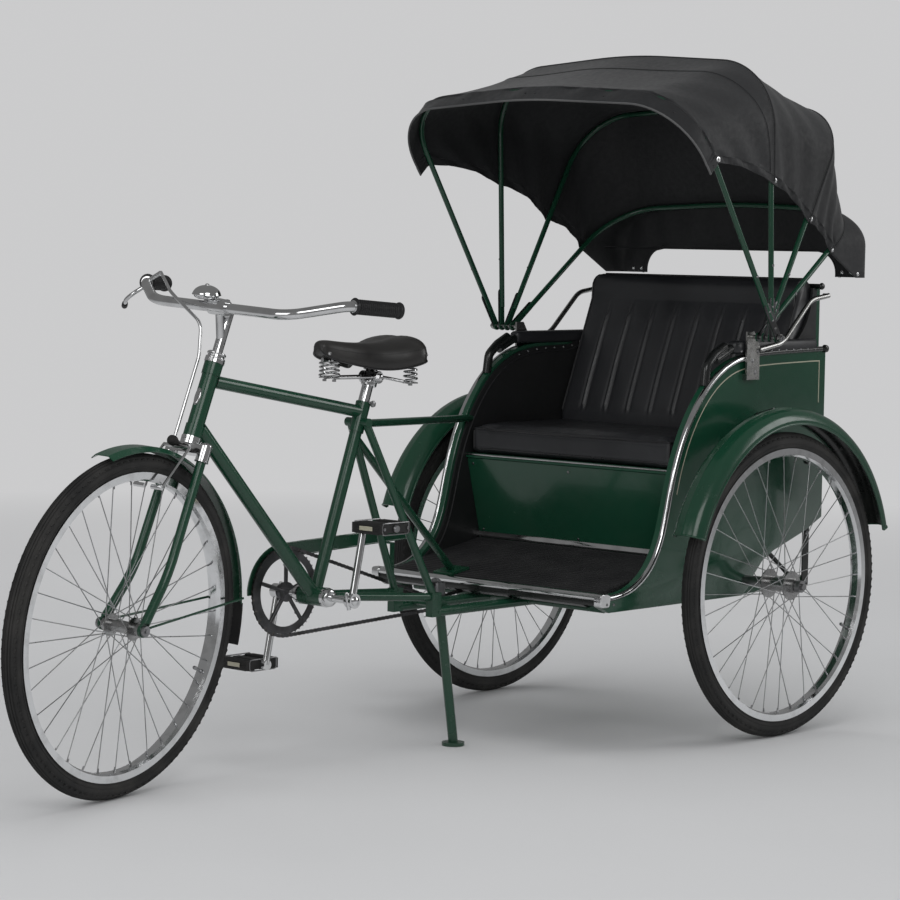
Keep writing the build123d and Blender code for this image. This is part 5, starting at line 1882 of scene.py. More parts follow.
    def curtain(self) -> None:
        """Builds the curtain behind the rear bow, with its arch."""
        bow = self.bows[-1]
        over = self.line(bow, bow.angle, self.lift, bow.foot)
        half = over[:len(over) // 2 + 1]
        plan = [(ahead(p), p.y * 1000, p.z * 1000) for p in half]
        foot_x, side, foot_z = plan[0]
        form = Form()
        split = self.arch_y(self.arch_top)
        full = [self.curtain_row(self.arch_top, plan[1][0], side, split, True)]
        for x, y, z in plan[3:]:
            if z > self.arch_top + 3:
                half_width = max(2.0, y)
                full.append(self.curtain_row(z, x, half_width, min(split, half_width * 0.62), True))
        form.grid(full)
        legs = []
        steps = 14
        for i in range(steps + 1):
            z = self.curtain_foot + (self.arch_top - self.curtain_foot) * i / steps
            share = min(1.0, (z - self.curtain_foot) / (foot_z - self.curtain_foot))
            x = plan[1][0] if i == steps else foot_x - 108.0 * (1 - share)
            legs.append(self.curtain_row(z, x, side, self.arch_y(z), False))
        form.grid(legs)
        form.grid([[other_side(p) for p in row] for row in legs])
        cloth = self.sheet_piece("rear_curtain_cloth", form)
        carry(cloth, bow.body, "canvas", ("rear_curtain",))
        inside = at(-200, 0, 1180)
        upper, lower = ClothGrid(full, inside), ClothGrid(legs, inside)
        area = upper.area() + 2 * lower.area()
        wide = upper.spans()[0]
        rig.sheet(cloth, flat=(wide, area / wide / 0.8), held="hung", area=area, rests_on=["hood_bow_rear"])
        self.curtain_edges(full[0], legs)

    def curtain_edges(self, over: list[Point], legs: list[list[Point]]) -> None:
        """The arch's bound edge, its stitches, the side hems and the corners' rivets.

        Args:
            over: the cloth's lowest row above the arch.
            legs: the rows beside the arch on the left, lowest first.
        """
        finishes, shop, bow = self.finishes, self.shop, self.bows[-1]
        count = len(legs[0])
        edge = [row[count - 1] for row in legs]
        top = over[count - 1:len(over) - count + 1]
        arch = edge + top[1:-1] + [other_side(p) for p in reversed(edge)]
        carry(Form().tube(arch, 0.0022, 8).build("curtain_arch_binding", finishes.canvas), bow.body, "canvas")
        seams = []
        for way in (0.0015, -0.0015):
            for gap in (9.0, 13.0):
                path = []
                for p in arch:
                    y = abs(p.y) * 1000
                    rise = gap if y < self.arch_half - self.arch_r * 0.4 else gap * 0.6
                    far = smooth_step(self.arch_half - 80, self.arch_half - 4, y)
                    out = gap * far / 1000 * (1 if p.y > 0 else -1)
                    path.append(p + Vector((way, out, rise * (1 - far) / 1000)))
                seams.append(path)
        for side in (1, -1):
            for k in (1, 2):
                seams.append([Vector((p.x, p.y * side, p.z)) + Vector((0, side * 0.0014, 0.006 * k))
                              for p in legs[0][:12]])
        shop.sew("curtain_stitches", seams, self.stitch, finishes.thread, self.thread_r, bow.body, "canvas")
        spots = [(at(self.back_x + 4.6 + way * 1.2, y, self.curtain_foot + 11), Vector((way, 0, 0)))
                 for y in (-345.0, -318.0, 318.0, 345.0) for way in (1, -1)]
        corner = legs[1][1] + Vector((-0.012, 0.0012, 0.004))
        spots += [(corner, sideways(1)), (other_side(corner), sideways(-1))]
        shop.rivets("curtain_rivets", spots, (3.4, 2.0, 5.0), finishes.chrome, bow.body, "chrome")

    def fittings(self) -> None:
        """Bolts, nuts and straps at the pivots and up the bows."""
        finishes, shop = self.finishes, self.shop
        end_r, length = 10.5, 84.0
        for bow in self.bows:
            lean = radians(bow.angle)
            along = Vector((cos(lean), 0.0, -sin(lean)))
            form, spots = Form(), []
            for side in (1, -1):
                y = side * (bow.half + 1.5)
                outline = [(end_r * sin(a), (0.0 if cos(a) < 0 else length) + end_r * cos(a))
                           for a in round_angles(28)]
                rings = []
                for depth, shrink in ((0.0, 0.88), (0.9, 1.0), (2.6, 1.0), (3.2, 0.88)):
                    row = []
                    for wide, up in outline:
                        height = 42.0 + (up - 42.0) * (1 - (1 - shrink) * 0.12)
                        centre = in_bow(bow.angle, y + side * depth, height)
                        row.append(centre + along * (wide * shrink / 1000))
                    rings.append(row)
                form.loft(rings)
                spots += [(in_bow(bow.angle, y + side * 3.2, up), sideways(side))
                          for up in (26.0, 48.0, 72.0)]
                spots.append((in_bow(bow.angle, side * (bow.half + 6.6), 168.0), sideways(side)))
            carry(form.build(f"hood_straps_{bow.name}", finishes.link_steel), bow.body, "steel")
            shop.rivets(f"hood_strap_rivets_{bow.name}", spots, (3.0, 1.8, 3.6), finishes.steel, bow.body)
        spots, screws = [], []
        for side in (1, -1):
            spots.append((at(HOOD_PIVOT[0], side * 452.0, HOOD_PIVOT[1]), sideways(side)))
        for x, z in ((-2.0, 850.0), (8.0, 878.0), (-12.0, 900.0)):
            screws += [(at(x, side * 365.2, z), sideways(side)) for side in (1, -1)]
        nut = Form().lathe([(0, -1.0), (5.4, -1.0), (7.0, 0.0), (7.0, 4.6), (5.8, 5.6), (3.4, 5.6),
                            (3.2, 8.4), (0, 8.8)],
                           Vector(), UP, 6).build("nut", finishes.steel, sharp=25.0)
        carry(shop.points("hood_pivot_nuts", spots, nut, finishes.steel), "chassis", "steel")
        shop.rivets("hood_bracket_screws", screws, (4.0, 2.2, 5.0), finishes.steel)

    def build(self) -> None:
        """Builds the whole hood."""
        self.canopy()
        self.curtain()
        self.fittings()


# ================================================================ carriage
SIDE_EDGE = ((526.0, 361.0), (478.0, 362.5), (428.0, 373.0), (384.0, 397.0), (350.0, 432.0), (326.0, 477.0),
             (309.0, 530.0), (295.0, 584.0), (280.0, 635.0), (261.0, 683.0), (238.0, 728.0), (208.0, 773.0),
             (172.0, 814.0), (127.0, 850.0), (72.0, 877.0), (10.0, 891.0), (-60.0, 896.0), (-150.0, 899.0),
             (-299.5, 902.0))
FLOOR_TOE, FLOOR_HEEL = (526.0, 362.0), (247.0, 410.0)


def through(rows: Sequence[tuple[float, ...]], fine: int) -> list[tuple[float, ...]]:
    """A smooth line through rows of numbers.

    Args:
        rows: the numbers at each stop.
        fine: steps from one stop to the next.

    Returns:
        The rows with smooth ones between them.
    """
    out = []
    for i in range(len(rows) - 1):
        p0, p1, p2, p3 = rows[max(0, i - 1)], rows[i], rows[i + 1], rows[min(len(rows) - 1, i + 2)]
        for k in range(fine):
            t = k / fine
            out.append(tuple(0.5 * (2 * b + (c - a) * t + (2 * a - 5 * b + 4 * c - d) * t * t + (
                3 * b - a - 3 * c + d) * t ** 3) for a, b, c, d in zip(p0, p1, p2, p3)))
    return out + [tuple(rows[-1])]


def side_edge(inset: float, y: float, swept: bool = False) -> list[Point]:
    """The front and top edge of a side, moved inwards.

    Args:
        inset: millimetres inside the edge.
        y: sideways place.
        swept: whether it sweeps up to the top of the back, as the lining does.

    Returns:
        Points from the toe to the back.
    """
    line = through(SIDE_EDGE, 5)
    out = []
    for i, (x, z) in enumerate(line):
        (ax, az), (bx, bz) = line[max(0, i - 1)], line[min(len(line) - 1, i + 1)]
        run = hypot(bx - ax, bz - az)
        px, pz = x + (bz - az) / run * -inset, z + (bx - ax) / run * inset
        if not swept or px > -60:
            out.append(at(px, y, pz))
    if swept:
        r = 150.0 + inset
        out += [at(-110 - r * sin(a), y, 1046 - r * cos(a))
                for a in (radians(90 * k / 12) for k in range(1, 13))]
    return out


def floor_z(x: float) -> float:
    """Height of the sloping floor's mat."""
    (toe_x, toe_z), (heel_x, heel_z) = FLOOR_TOE, FLOOR_HEEL
    return toe_z + (x - toe_x) * (heel_z - toe_z) / (heel_x - toe_x)


def swell(obj: bpy.types.Object, voxel: float, cap: float,
          hold: Callable[[Point], Point]) -> bpy.types.Object:
    """Fills a pad like stuffing does.

    Args:
        obj: the pad's empty shape, a little small.
        voxel: size of the new faces, in metres.
        cap: the most that a point may move, in metres.
        hold: keeps a point out of the pad's neighbours.

    Returns:
        The filled pad, as a plain mesh.
    """
    remesh = obj.modifiers.new("Remesh", "REMESH")
    remesh.mode, remesh.voxel_size = "VOXEL", voxel
    freeze(obj)
    rest = [v.co.copy() for v in obj.data.vertices]
    filled = [r.copy() for r in rest]
    moments = 20
    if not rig.quick():
        cloth = obj.modifiers.new("Cloth", "CLOTH")
        settings = cloth.settings
        settings.use_pressure, settings.uniform_pressure_force = True, 4.0
        settings.effector_weights.gravity = 0.0
        settings.quality = 5
        cloth.collision_settings.use_collision = False
        cloth.point_cache.frame_start, cloth.point_cache.frame_end = 1, moments
        for moment in range(1, moments + 1):
            bpy.context.scene.frame_set(moment)
        graph = bpy.context.evaluated_depsgraph_get()
        filled = [v.co.copy() for v in obj.evaluated_get(graph).data.vertices]
        obj.modifiers.clear()
        bpy.context.scene.frame_set(1)
    for v, r, f in zip(obj.data.vertices, rest, filled):
        move = f - r
        v.co = hold(r + (move * (cap / move.length) if move.length > cap else move))
    smooth = obj.modifiers.new("Smooth", "SMOOTH")
    smooth.factor, smooth.iterations = 0.5, 3
    fine = obj.modifiers.new("Fine", "SUBSURF")
    fine.levels = fine.render_levels = 1
    freeze(obj)
    obj.data.shade_smooth()
    return obj


@dataclass
class Upholstery:
    """The boxed cushion, the channelled backrest and the linings' trim."""

    finishes: Finishes
    shop: Workshop
    half: float = 323.0
    seat_low: float = 630.4
    seat_top: float = 702.0
    seat_back: float = -99.3
    seat_front: float = 253.0
    channels: int = 9
    slope_foot: tuple[float, float] = (-100.5, 722.0)
    slope_top: tuple[float, float] = (-214.0, 1008.0)
    roll_middle: tuple[float, float] = (-247.0, 1036.0)
    roll_r: float = 32.0

    def cushion(self) -> None:
        """Builds the seat cushion, its piping and its stitches."""
        low = at(self.seat_back + 3, -self.half + 5, self.seat_low + 2)
        high = at(self.seat_front - 5, self.half - 5, self.seat_top - 9)
        form = Form().block(low, high)
        obj = bevelled(form.build("seat_cushion_pad", self.finishes.leather), 7.0, 3)
        base = at(self.seat_back, -self.half, self.seat_low)
        top = at(self.seat_front + 5, self.half, self.seat_top + 8)
        middle, span = (low + high) / 2, (high - low) / 2

        def hold(p: Point) -> Point:
            """Keeps the pad on its board and off its neighbours.

            Args:
                p: a point of the filled pad.

            Returns:
                The point where it comes to rest.
            """
            u, w = (p.x - middle.x) / span.x, (p.y - middle.y) / span.y
            crown = max(0.0, 1 - u * u) * max(0.0, 1 - w ** 4)
            lift = (0.007 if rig.quick() else 0.002) * crown * smooth_step(middle.z, high.z, p.z)
            crease = 0.0007 * sin(p.x * 61 + 2.2 * sin(p.y * 17)) * sin(p.y * 23 + 1.1)
            return Vector((min(top.x, max(base.x, p.x)), min(top.y, max(base.y, p.y)),
                           min(top.z, max(base.z, p.z + lift + (crease if p.z > middle.z else 0.0)))))

        swell(obj, voxel=0.0075, cap=0.011, hold=hold)
        carry(obj, "chassis", "black_leather", ("seat_cushion",))
        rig.padded(obj, 0.8)
        tree = BVHTree.FromPolygons([v.co for v in obj.data.vertices],
                                    [tuple(p.vertices) for p in obj.data.polygons])

        def onto(points: Sequence[Point], way: Callable[[Point], Point], lift: float) -> list[Point]:
            """Lays points onto the pad from outside.

            Args:
                points: the points to lay.
                way: gives the offset that takes a point outside the pad.
                lift: millimetres off the pad.

            Returns:
                The points on the pad.
            """
            out = []
            for p in points:
                hit = tree.find_nearest(p + way(p))
                out.append(hit[0] + hit[1] * (lift / 1000))
            return out

        def outward(p: Point, up: float) -> Point:
            """Away from the pad's middle, and up or down.

            Args:
                p: a point near the pad's edge.
                up: metres upwards.

            Returns:
                The offset in metres.
            """
            forward = 0.012 * smooth_step(0.6, 0.95, (p.x - middle.x) / span.x)
            out = 0.012 * (1 if p.y > 0 else -1) * smooth_step(0.9, 0.99, abs(p.y - middle.y) / span.y)
            return Vector((forward, out, up))

        inset = 4.0
        front, back = self.seat_front - inset, self.seat_back + 8
        plan = [(back, -1), (front, -1), (front, 1), (back, 1)]
        form = Form()
        for z, up in ((self.seat_top - 8, 0.012), (self.seat_low + 5, -0.001)):
            edge = rounded_path([at(x, s * (self.half - inset), z) for x, s in plan], [0.012, 0.012], 6)
            form.tube(onto(even_path(edge, 0.009), lambda p, u=up: outward(p, u), 0.7), 0.0024, 8)
        for side in (-1, 1):
            corner = straight(at(front, side * (self.half - inset), self.seat_low + 7),
                              at(front, side * (self.half - inset), self.seat_top - 10), 8)
            form.tube(onto(corner, lambda p: outward(p, 0.0), 0.6), 0.0022, 8)
        carry(form.build("seat_cushion_piping", self.finishes.piping), "chassis", "black_leather")
        rows = []
        for z, behind, way in ((self.seat_top, 11.0, (0.0, 0, 0.02)),
                               (self.seat_top - 17, 0.0, (0.02, 0, 0.0)),
                               (self.seat_low + 13, 0.0, (0.02, 0, 0.0))):
            x, y = self.seat_front - behind, self.half - 14
            rows.append(onto(straight(at(x, -y, z), at(x, y, z), 70), lambda p, w=way: Vector(w), 0.25))
        self.shop.sew("seat_cushion_stitches", rows, 5.0, self.finishes.lining_thread, 0.4, "chassis",
                      "black_leather")

    def outline(self) -> list[tuple[float, float, float]]:
        """The backrest's outline as seen from the side.

        Returns:
            X, Z and how far up the sloping face, or -1 elsewhere.
        """
        foot, top, mid, r = self.slope_foot, self.slope_top, self.roll_middle, self.roll_r
        out = [(-104.0, 632.0, -1.0), (-100.6, 638.0, -1.0), (-100.4, 680.0, -1.0)]
        for i in range(61):
            t = i / 60
            out.append((foot[0] + (top[0] - foot[0]) * t, foot[1] + (top[1] - foot[1]) * t, t))
        for i in range(19):
            a = radians(-12 + 180 * i / 18)
            out.append((mid[0] + r * cos(a), mid[1] + r * sin(a), -1.0))
        out += [(-283.8, 1020.0 - 95.0 * i, -1.0) for i in range(5)] + [(-282.0, 632.0, -1.0)]
        return out

    def ridge(self, y: float) -> float:
        """Height of the sewn tucks at a place across the back.

        Args:
            y: millimetres from the middle.

        Returns:
            Millimetres out of the back's face.
        """
        pitch = 2 * self.half / self.channels
        share = (y + self.half) / pitch
        k = round(share)
        gap = abs(share - k) * pitch
        pillow = 2.6 * (1 - (2 * (share - int(share)) - 1) ** 2)
        if k in (0, self.channels):
            return pillow
        return pillow + 5.0 * exp(-(gap / 3.4) ** 2) - 1.8 * exp(-((gap - 8.0) / 3.6) ** 2)

    def back_point(self, y: float, x: float, z: float, t: float, lift: float = 0.0) -> Point:
        """A point of the backrest's skin.

        Args:
            y: sideways place.
            x: outline's X.
            z: outline's Z.
            t: how far up the sloping face, or -1.
            lift: more millimetres outwards.

        Returns:
            The point in the frame.
        """
        out = lift
        if t >= 0:
            face = smooth_step(0.0, 0.07, t)
            tucks = smooth_step(1.0, 0.80, t) * self.ridge(y)
            out += face * (tucks + 4.0 * sin(pi * t) * (1 - (y / self.half) ** 4))
            out += face * 0.8 * sin(y / 29.0 + 4 * t) * sin(9 * t + y / 61.0)
        edge = (abs(y) - (self.half - 16.0)) / 16.0
        squeeze = 0.0
        if edge > 0:
            squeeze = 0.09 * (1 - sqrt(max(0.0, 1 - edge * edge)))
            out *= 1 - edge
        x, z = x + 0.934 * out, z + 0.357 * out
        return at(x + (-215.0 - x) * squeeze, y, z + (840.0 - z) * squeeze * 0.5)

    def backrest(self) -> None:
        """Builds the backrest, its seams and its top bead."""
        plan = self.outline()
        count = 190
        rows = [[self.back_point(-self.half + 2 * self.half * j / count, *stop) for stop in plan]
                for j in range(count + 1)]
        obj = Form().loft(rows).build("backrest_pad", self.finishes.leather, sharp=70.0)
        carry(obj, "chassis", "black_leather", ("backrest",))
        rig.padded(obj, 0.7)
        pitch = 2 * self.half / self.channels
        lines = []
        for k in range(1, self.channels):
            for gap in (-7.5, 7.5):
                y = -self.half + k * pitch + gap
                lines.append([self.back_point(y, x, z, t, 0.3) for x, z, t in plan if 0.05 < t < 0.9])
        self.shop.sew("backrest_stitches", lines, 5.0, self.finishes.lining_thread, 0.35, "chassis",
                      "black_leather")
        form = Form()
        for side in (-1, 1):
            y = side * (self.half - 4)
            form.tube([self.back_point(y, *stop, 2.2) for stop in plan[3:84:2]], 0.0021, 8)
        bead = straight(at(-262.0, -self.half + 8, 1067.5), at(-262.0, self.half - 8, 1067.5), 40)
        form.tube(bead, 0.0026, 8)
        carry(form.build("backrest_piping", self.finishes.piping), "chassis", "black_leather")
        right, left = at(-292.5, -340, 1050.5), at(-292.5, 340, 1050.5)
        rail = Form().tube(straight(right, left, 30), 0.006, 12)
        for side, end in ((-1, right), (1, left)):
            rail.lathe([(0, 0), (8.5, 0), (8.5, 3), (6, 6.5), (0, 7.5)], end, sideways(side), 12)
        carry(rail.build("backrest_top_rail", self.finishes.black_enamel), "chassis", "green_paint")

    def linings(self) -> None:
        """The black side linings, their piping and their studs."""
        walls, form, spots = Form(), Form(), []
        back, face = -284.5, 325.4
        outline = [p for p in side_edge(9.0, 0.0, swept=True) if p.z * 1000 > floor_z(ahead(p)) - 4]
        outline += [at(back, 0, 1044.0), at(back, 0, floor_z(back) - 4)]
        for side in (-1, 1):
            walls.plate([(outline, side * y) for y in (325.8, 328.5, 333.0)])
            path = [p for p in side_edge(23.0, side * face, swept=True) if p.z * 1000 > floor_z(ahead(p)) + 5]
            form.tube(even_path(path, 0.012), 0.0021, 8)
            top = [p for p in side_edge(15.0, side * face, swept=True) if ahead(p) < 60 and p.z < 1.03]
            spots += [(p, sideways(-side)) for p in even_path(top, 0.034)]
        carry(walls.build("side_linings_vinyl", self.finishes.lining, sharp=50.0), "chassis", "lining",
              ("side_linings",))
        carry(form.build("lining_piping", self.finishes.piping), "chassis", "lining")
        self.shop.rivets("lining_studs", spots, (2.3, 1.6, 3.0), self.finishes.steel)

    def build(self) -> None:
        """Builds all the upholstery."""
        self.cushion()
        self.backrest()
        self.linings()


@dataclass
class Carriage:
    """Sides, seat box, bright trim, ribbed mat, cream lines that are partly a painted highlight, mudguards, arm pads
    and straps.
    """

    finishes: Finishes
    shop: Workshop
    panel_in: float = 332.0
    panel_y: float = 352.0
    panel_foot: float = 322.2
    back_x: float = -300.0
    bead_r: float = 7.0
    bead_end: float = -14.0
    edge_soft: float = 1.2
    cabin_half: float = 325.6
    board_top: tuple[float, float] = (243.0, 617.4)
    board_foot: tuple[float, float] = (190.0, 410.0)
    rib_pitch: float = 13.0
    rib_first: float = 514.0
    mat_back: float = 247.4
    fender_middle_y: float = 459.0
    fender_middle_z: float = 372.5
    fender_span: tuple[float, float] = (18.5, 165.0)
    fender: tuple[tuple[float, float], ...] = (
        (364.0, 499.6), (372.0, 499.4), (381.5, 496.6), (389.5, 490.6), (395.6, 481.6), (398.6, 470.5),
        (399.2, 464.6), (400.2, 462.0), (400.6, 459.0), (400.2, 456.0), (399.0, 453.4), (397.4, 444.0),
        (393.2, 433.6), (386.4, 425.2), (378.4, 420.0), (370.6, 418.4))

    def sides(self) -> None:
        """The green side panels with their rounded edge."""
        form, soft = Form(), self.edge_soft
        tail = [(self.back_x, 490.0), (-236.0, 461.0), (-164.0, 438.0), (-110.0, 421.0), (-66.0, 399.0),
                (-32.0, 366.0), (-12.0, 338.0), (12.0, self.panel_foot), (500.0, self.panel_foot),
                (526.0, 336.0)]
        full = side_edge(0.0, 0.0) + [at(x, 0, z) for x, z in tail]
        small = side_edge(soft, 0.0) + [at(x + (soft if x < 100 else -soft), 0, z + soft) for x, z in tail]
        outlines = ((small, self.panel_in), (full, self.panel_in + soft), (full, self.panel_y - soft),
                    (small, self.panel_y))
        for side in (-1, 1):
            form.plate([(outline, side * y) for outline, y in outlines])
        carry(form.build("side_panels_shaped", self.finishes.green_panel), "chassis", "green_panel",
              ("side_panels",))

    def box(self) -> None:
        """The seat box: sloping front board, seat board, inner floor and back."""
        half, back = self.cabin_half, -284.8
        sides, green = (-half, half), self.finishes.green_panel
        (tx, tz), (fx, fz) = self.board_top, self.board_foot
        thick, wide = 12, self.panel_in - 0.2
        front = [(tx, tz), (fx, fz), (fx - thick, fz), (tx - thick, tz)]
        boards = [Form().across(front, sides).build("front", green)]
        for low, high in ((at(back, -half, 617.8), at(246.8, half, 629.6)),
                          (at(self.back_x, -wide, 484.0), at(-285.2, wide, 1045.0))):
            boards.append(Form().block(low, high).build("board", green))
        under = [(fx + 6, 408.6), (-100.0, 408.6), (back, 484.4), (back, 496.4), (-98.0, 420.4),
                 (fx + 6, 420.4)]
        boards.append(Form().across(under, sides).build("under", green))
        heel, inner = FLOOR_HEEL[0], fx - 10
        ledge = [(heel, floor_z(heel) - 5.2), (inner, floor_z(inner) - 5.2), (inner, floor_z(inner) - 16),
                 (heel, floor_z(heel) - 16)]
        boards.append(Form().across(ledge, sides).build("ledge", green))
        carry(bevelled(join("seat_box_boards", boards), self.edge_soft), "chassis", "green_panel",
              ("seat_box",))

    def on_board(self, share: float, lift: float = 0.0) -> tuple[float, float]:
        """A place up the front board's face, as X and Z.

        Args:
            share: 0 at the board's foot and 1 at its top.
            lift: millimetres in front of its face.

        Returns:
            X and Z in millimetres.
        """
        (tx, tz), (fx, fz) = self.board_top, self.board_foot
        dx, dz = tx - fx, tz - fz
        run = hypot(dx, dz)
        return (fx + dx * share + dz / run * lift, fz + dz * share - dx / run * lift)

    def trim(self) -> None:
        """The plated beads, the floor's edge and the strips on the front board."""
        form, rail = Form(), Form()
        for side in (-1, 1):
            path = side_edge(5.0, side * self.panel_y)
            bright = [p for p in path if ahead(p) > self.bead_end]
            form.tube(even_path(bright, 0.010), self.bead_r / 1000, 14)
            dark = [p + Vector((0, 0, 0.003)) for p in path if ahead(p) < self.bead_end + 18]
            rail.tube(even_path(dark, 0.02), 0.0062, 12)
            end = dark[-1] + Vector((0.006, 0, 0))
            rail.lathe([(0, 0), (9.5, 0), (9.5, 5.0), (8.0, 9.0), (4.0, 11.0), (0, 11.4)], end,
                       sideways(side), 16)
            rail.lathe([(0, -6), (8.2, -6), (8.2, 6), (0, 6)], dark[0], Vector((-1, 0, 0)), 14)
        chrome = self.finishes.chrome
        beads = form.build("side_beads", chrome)
        section = [(526.2, 351.0), (531.6, 351.0), (534.2, 354.0), (534.8, 358.5), (533.8, 362.5),
                   (530.6, 365.4), (526.4, 366.6), (520.0, 366.6), (519.4, 364.8), (526.2, 363.6)]
        nose = Form().across(section, (-351.0, -180.0, 0.0, 180.0, 351.0))
        parts = [beads, nose.build("floor_nosing", chrome, sharp=50.0)]
        low, high, deep = 0.056, 0.114, 8.0
        foot = [self.on_board(low, 0.2), self.on_board(low, deep), self.on_board(low + 0.02, deep + 1.0),
                self.on_board((low + high) / 2, deep * 0.8), self.on_board(high - 0.006, 2.4),
                self.on_board(high, 0.2)]
        for outline in (foot,
                        [(246.9, 624.0), (248.4, 624.6), (249.0, 626.4), (248.4, 628.2), (246.9, 628.8)]):
            bar = Form().across(outline, (-self.cabin_half, 0.0, self.cabin_half))
            parts.append(bar.build("strip", chrome, sharp=50.0))
        carry(join("bright_trim", parts), "chassis", "chrome", ("chrome_trim",))
        carry(rail.build("side_top_rails", self.finishes.black_enamel), "chassis", "green_paint")
        lip = Form().across([(526.2, 338.5), (531.5, 339.0), (532.6, 345.0), (531.6, 350.8), (526.2, 350.8)],
                            (-350.0, 0.0, 350.0))
        carry(lip.build("floor_lip", self.finishes.black_enamel, sharp=50.0), "chassis", "green_paint")

    def corner_caps(self) -> None:
        """The plated caps of the floor's front corners, and the trim's screws."""
        form, screws = Form(), []
        corners = [at(x, 0, z) for x, z in ((515, 366.8), (538.0, 366.8), (537.0, 337.0), (506, 335.0),
                                            (502, 362.0), (515, 366.8))]
        outline = rounded_path(corners, [0.007, 0.006, 0.008, 0.004], 5)[:-1]
        for side in (-1, 1):
            y = side * self.panel_y
            form.plate([(outline, y + side * d) for d in (-14.0, 7.4)])
            screws += [(at(516.0, y + side * 7.2, 343.0), sideways(side)),
                       (at(484.0, y + side * 0.3, 340.0), sideways(side))]
        carry(bevelled(form.build("floor_corner_caps", self.finishes.chrome), 1.6), "chassis", "chrome")
        aim = Vector((0.969, 0, -0.248))
        for y in (-308.0, 0.0, 308.0):
            for share in (0.93, 0.14):
                x, z = self.on_board(share, 0.3)
                screws.append((at(x, y, z), aim))
        steel = self.finishes.steel
        carry(self.shop.points("trim_screws", screws, screw_shape(3.4, steel), steel, 3.1), "chassis",
              "steel")

    def mat_piece(self, name: str, front: float, back: float, first: float) -> bpy.types.Object:
        """One length of ribbed mat.

        Args:
            name: name of the piece.
            front: X of its front edge.
            back: X of its rear edge.
            first: X of its first rib.

        Returns:
            The piece.
        """
        half = self.cabin_half - 0.3
        rows = []
        for x in (front, back):
            z = floor_z(x)
            rows.append([at(x, y, z - down)
                         for y, down in ((-half, 4.8), (half, 4.8), (half, 1.6), (-half, 1.6))])
        slab = Form().loft(rows).build("base", self.finishes.mat)
        slope = Vector((0.1696, 0.0, 0.9855))
        reach = half / 1000 - 0.004
        bar = Form().tube([sideways(-reach), sideways(reach)], 0.0036, 8).build("rib", self.finishes.mat)
        spots, x = [], first
        while x > back + 4:
            spots.append((at(x, 0.0, floor_z(x) - 2.6), slope))
            x -= self.rib_pitch
        return join(name, [slab, self.shop.points("ribs", spots, bar, self.finishes.mat)])

    def mat(self) -> None:
        """The ribbed rubber mat on the floor."""
        first, pitch = self.rib_first, self.rib_pitch
        carry(self.mat_piece("floor_mat_ribbed", 524.0, self.mat_back, first), "chassis", "mat",
              ("floor_mat",))
        hidden = first - pitch * (int((first - self.mat_back) / pitch) + 1)
        carry(self.mat_piece("floor_mat_rear", 247.2, self.board_foot[0] + 3, hidden), "chassis", "mat")

    def lines(self) -> None:
        """The cream line along each side panel: partly its own light tone, partly a painted highlight for the lit
        crest of a raised bead.
        """
        form = Form()
        for side in (-1, 1):
            y = side * (self.panel_y + 0.05)
            pairs = [(a, b) for a, b in zip(side_edge(29.0, y), side_edge(31.6, y))
                     if a.z > 0.57 and ahead(a) > -268]
            a, b = pairs[-1]
            foot, wide = at(-276.0, y, 770.0), 0.0026
            pairs += [(Vector((foot.x, y / 1000, a.z)), Vector((foot.x + wide, y / 1000, b.z))),
                      (foot, foot + Vector((wide, 0, 0)))]
            shift = sideways(side * 0.00035)
            form.loft([[a, b, b + shift, a + shift] for a, b in pairs])
        # painted highlight: this flat light strip also stands in for the lit crest of a raised bead on the panel
        carry(form.build("panel_lines", self.finishes.cream, sharp=60.0), "chassis", "green_panel")

    def fenders(self) -> None:
        """The rear mudguards: rolled crown, beaded edges, dark underside and stays."""
        middle = at(0.0, 0.0, self.fender_middle_z)
        (low, high), mid, steps, bead_r = self.fender_span, self.fender_middle_y, 84, 3.2
        skin, under, edges = Form(), Form(), Form()
        for side in (-1, 1):
            outer = [(r, side * y) for r, y in self.fender]
            inner = [(r - 1.3, side * (mid + (y - mid) * 0.965)) for r, y in self.fender]
            deep = [(r - 2.0, side * (mid + (y - mid) * 0.95)) for r, y in self.fender]
            skin.arc(outer + inner[::-1], middle, low, high, steps)
            under.arc(inner + deep[::-1], middle, low + 0.2, high - 0.2, steps)
            for r, y in (self.fender[0], self.fender[-1]):
                bead_y = side * (y - (1.4 if y > mid else -1.4))
                rim = [(r + bead_r * cos(a), bead_y + bead_r * sin(a)) for a in round_angles(10)]
                edges.arc(rim, middle, low, high, steps)
            for angle in (low, high):
                a = radians(angle)
                lip = [middle + Vector((r * cos(a), side * y, r * sin(a))) / 1000 for r, y in self.fender]
                edges.tube(even_path(lip, 0.006), 0.0024, 8)
        green = self.finishes.green
        shells = [skin.build("skin", green, sharp=50.0), edges.build("edges", green, sharp=50.0)]
        carry(join("fenders_rolled", shells), "chassis", "green_paint", ("fenders",))
        carry(under.build("fender_undersides", self.finishes.black_enamel, sharp=50.0), "chassis",
              "green_paint")
        stays, spots = Form(), []
        for side in (-1, 1):
            for angle in (88.0, 132.0):
                a = radians(angle)
                way = Vector((cos(a), 0, sin(a)))
                foot, knee, tip = (middle + way * (r / 1000) + sideways(side * y / 1000)
                                   for r, y in ((352.0, 352.0), (379.0, 384.0), (394.0, 436.0)))
                stays.tube(even_path(rounded_path([foot, knee, tip], [0.016], 6), 0.008), 0.0052, 10)
                stays.lathe([(0, 0), (13.0, 0), (13.0, 2.6), (7.0, 4.0), (0, 4.0)], foot, sideways(side), 16)
                spots.append((middle + way * 0.4012 + sideways(side * 0.442) - way * 0.0042, way))
        carry(stays.build("fender_stays", self.finishes.black_enamel), "chassis", "green_paint")
        self.shop.rivets("fender_bolts", spots, (3.6, 2.4, 5.0), green, slot="green_paint")

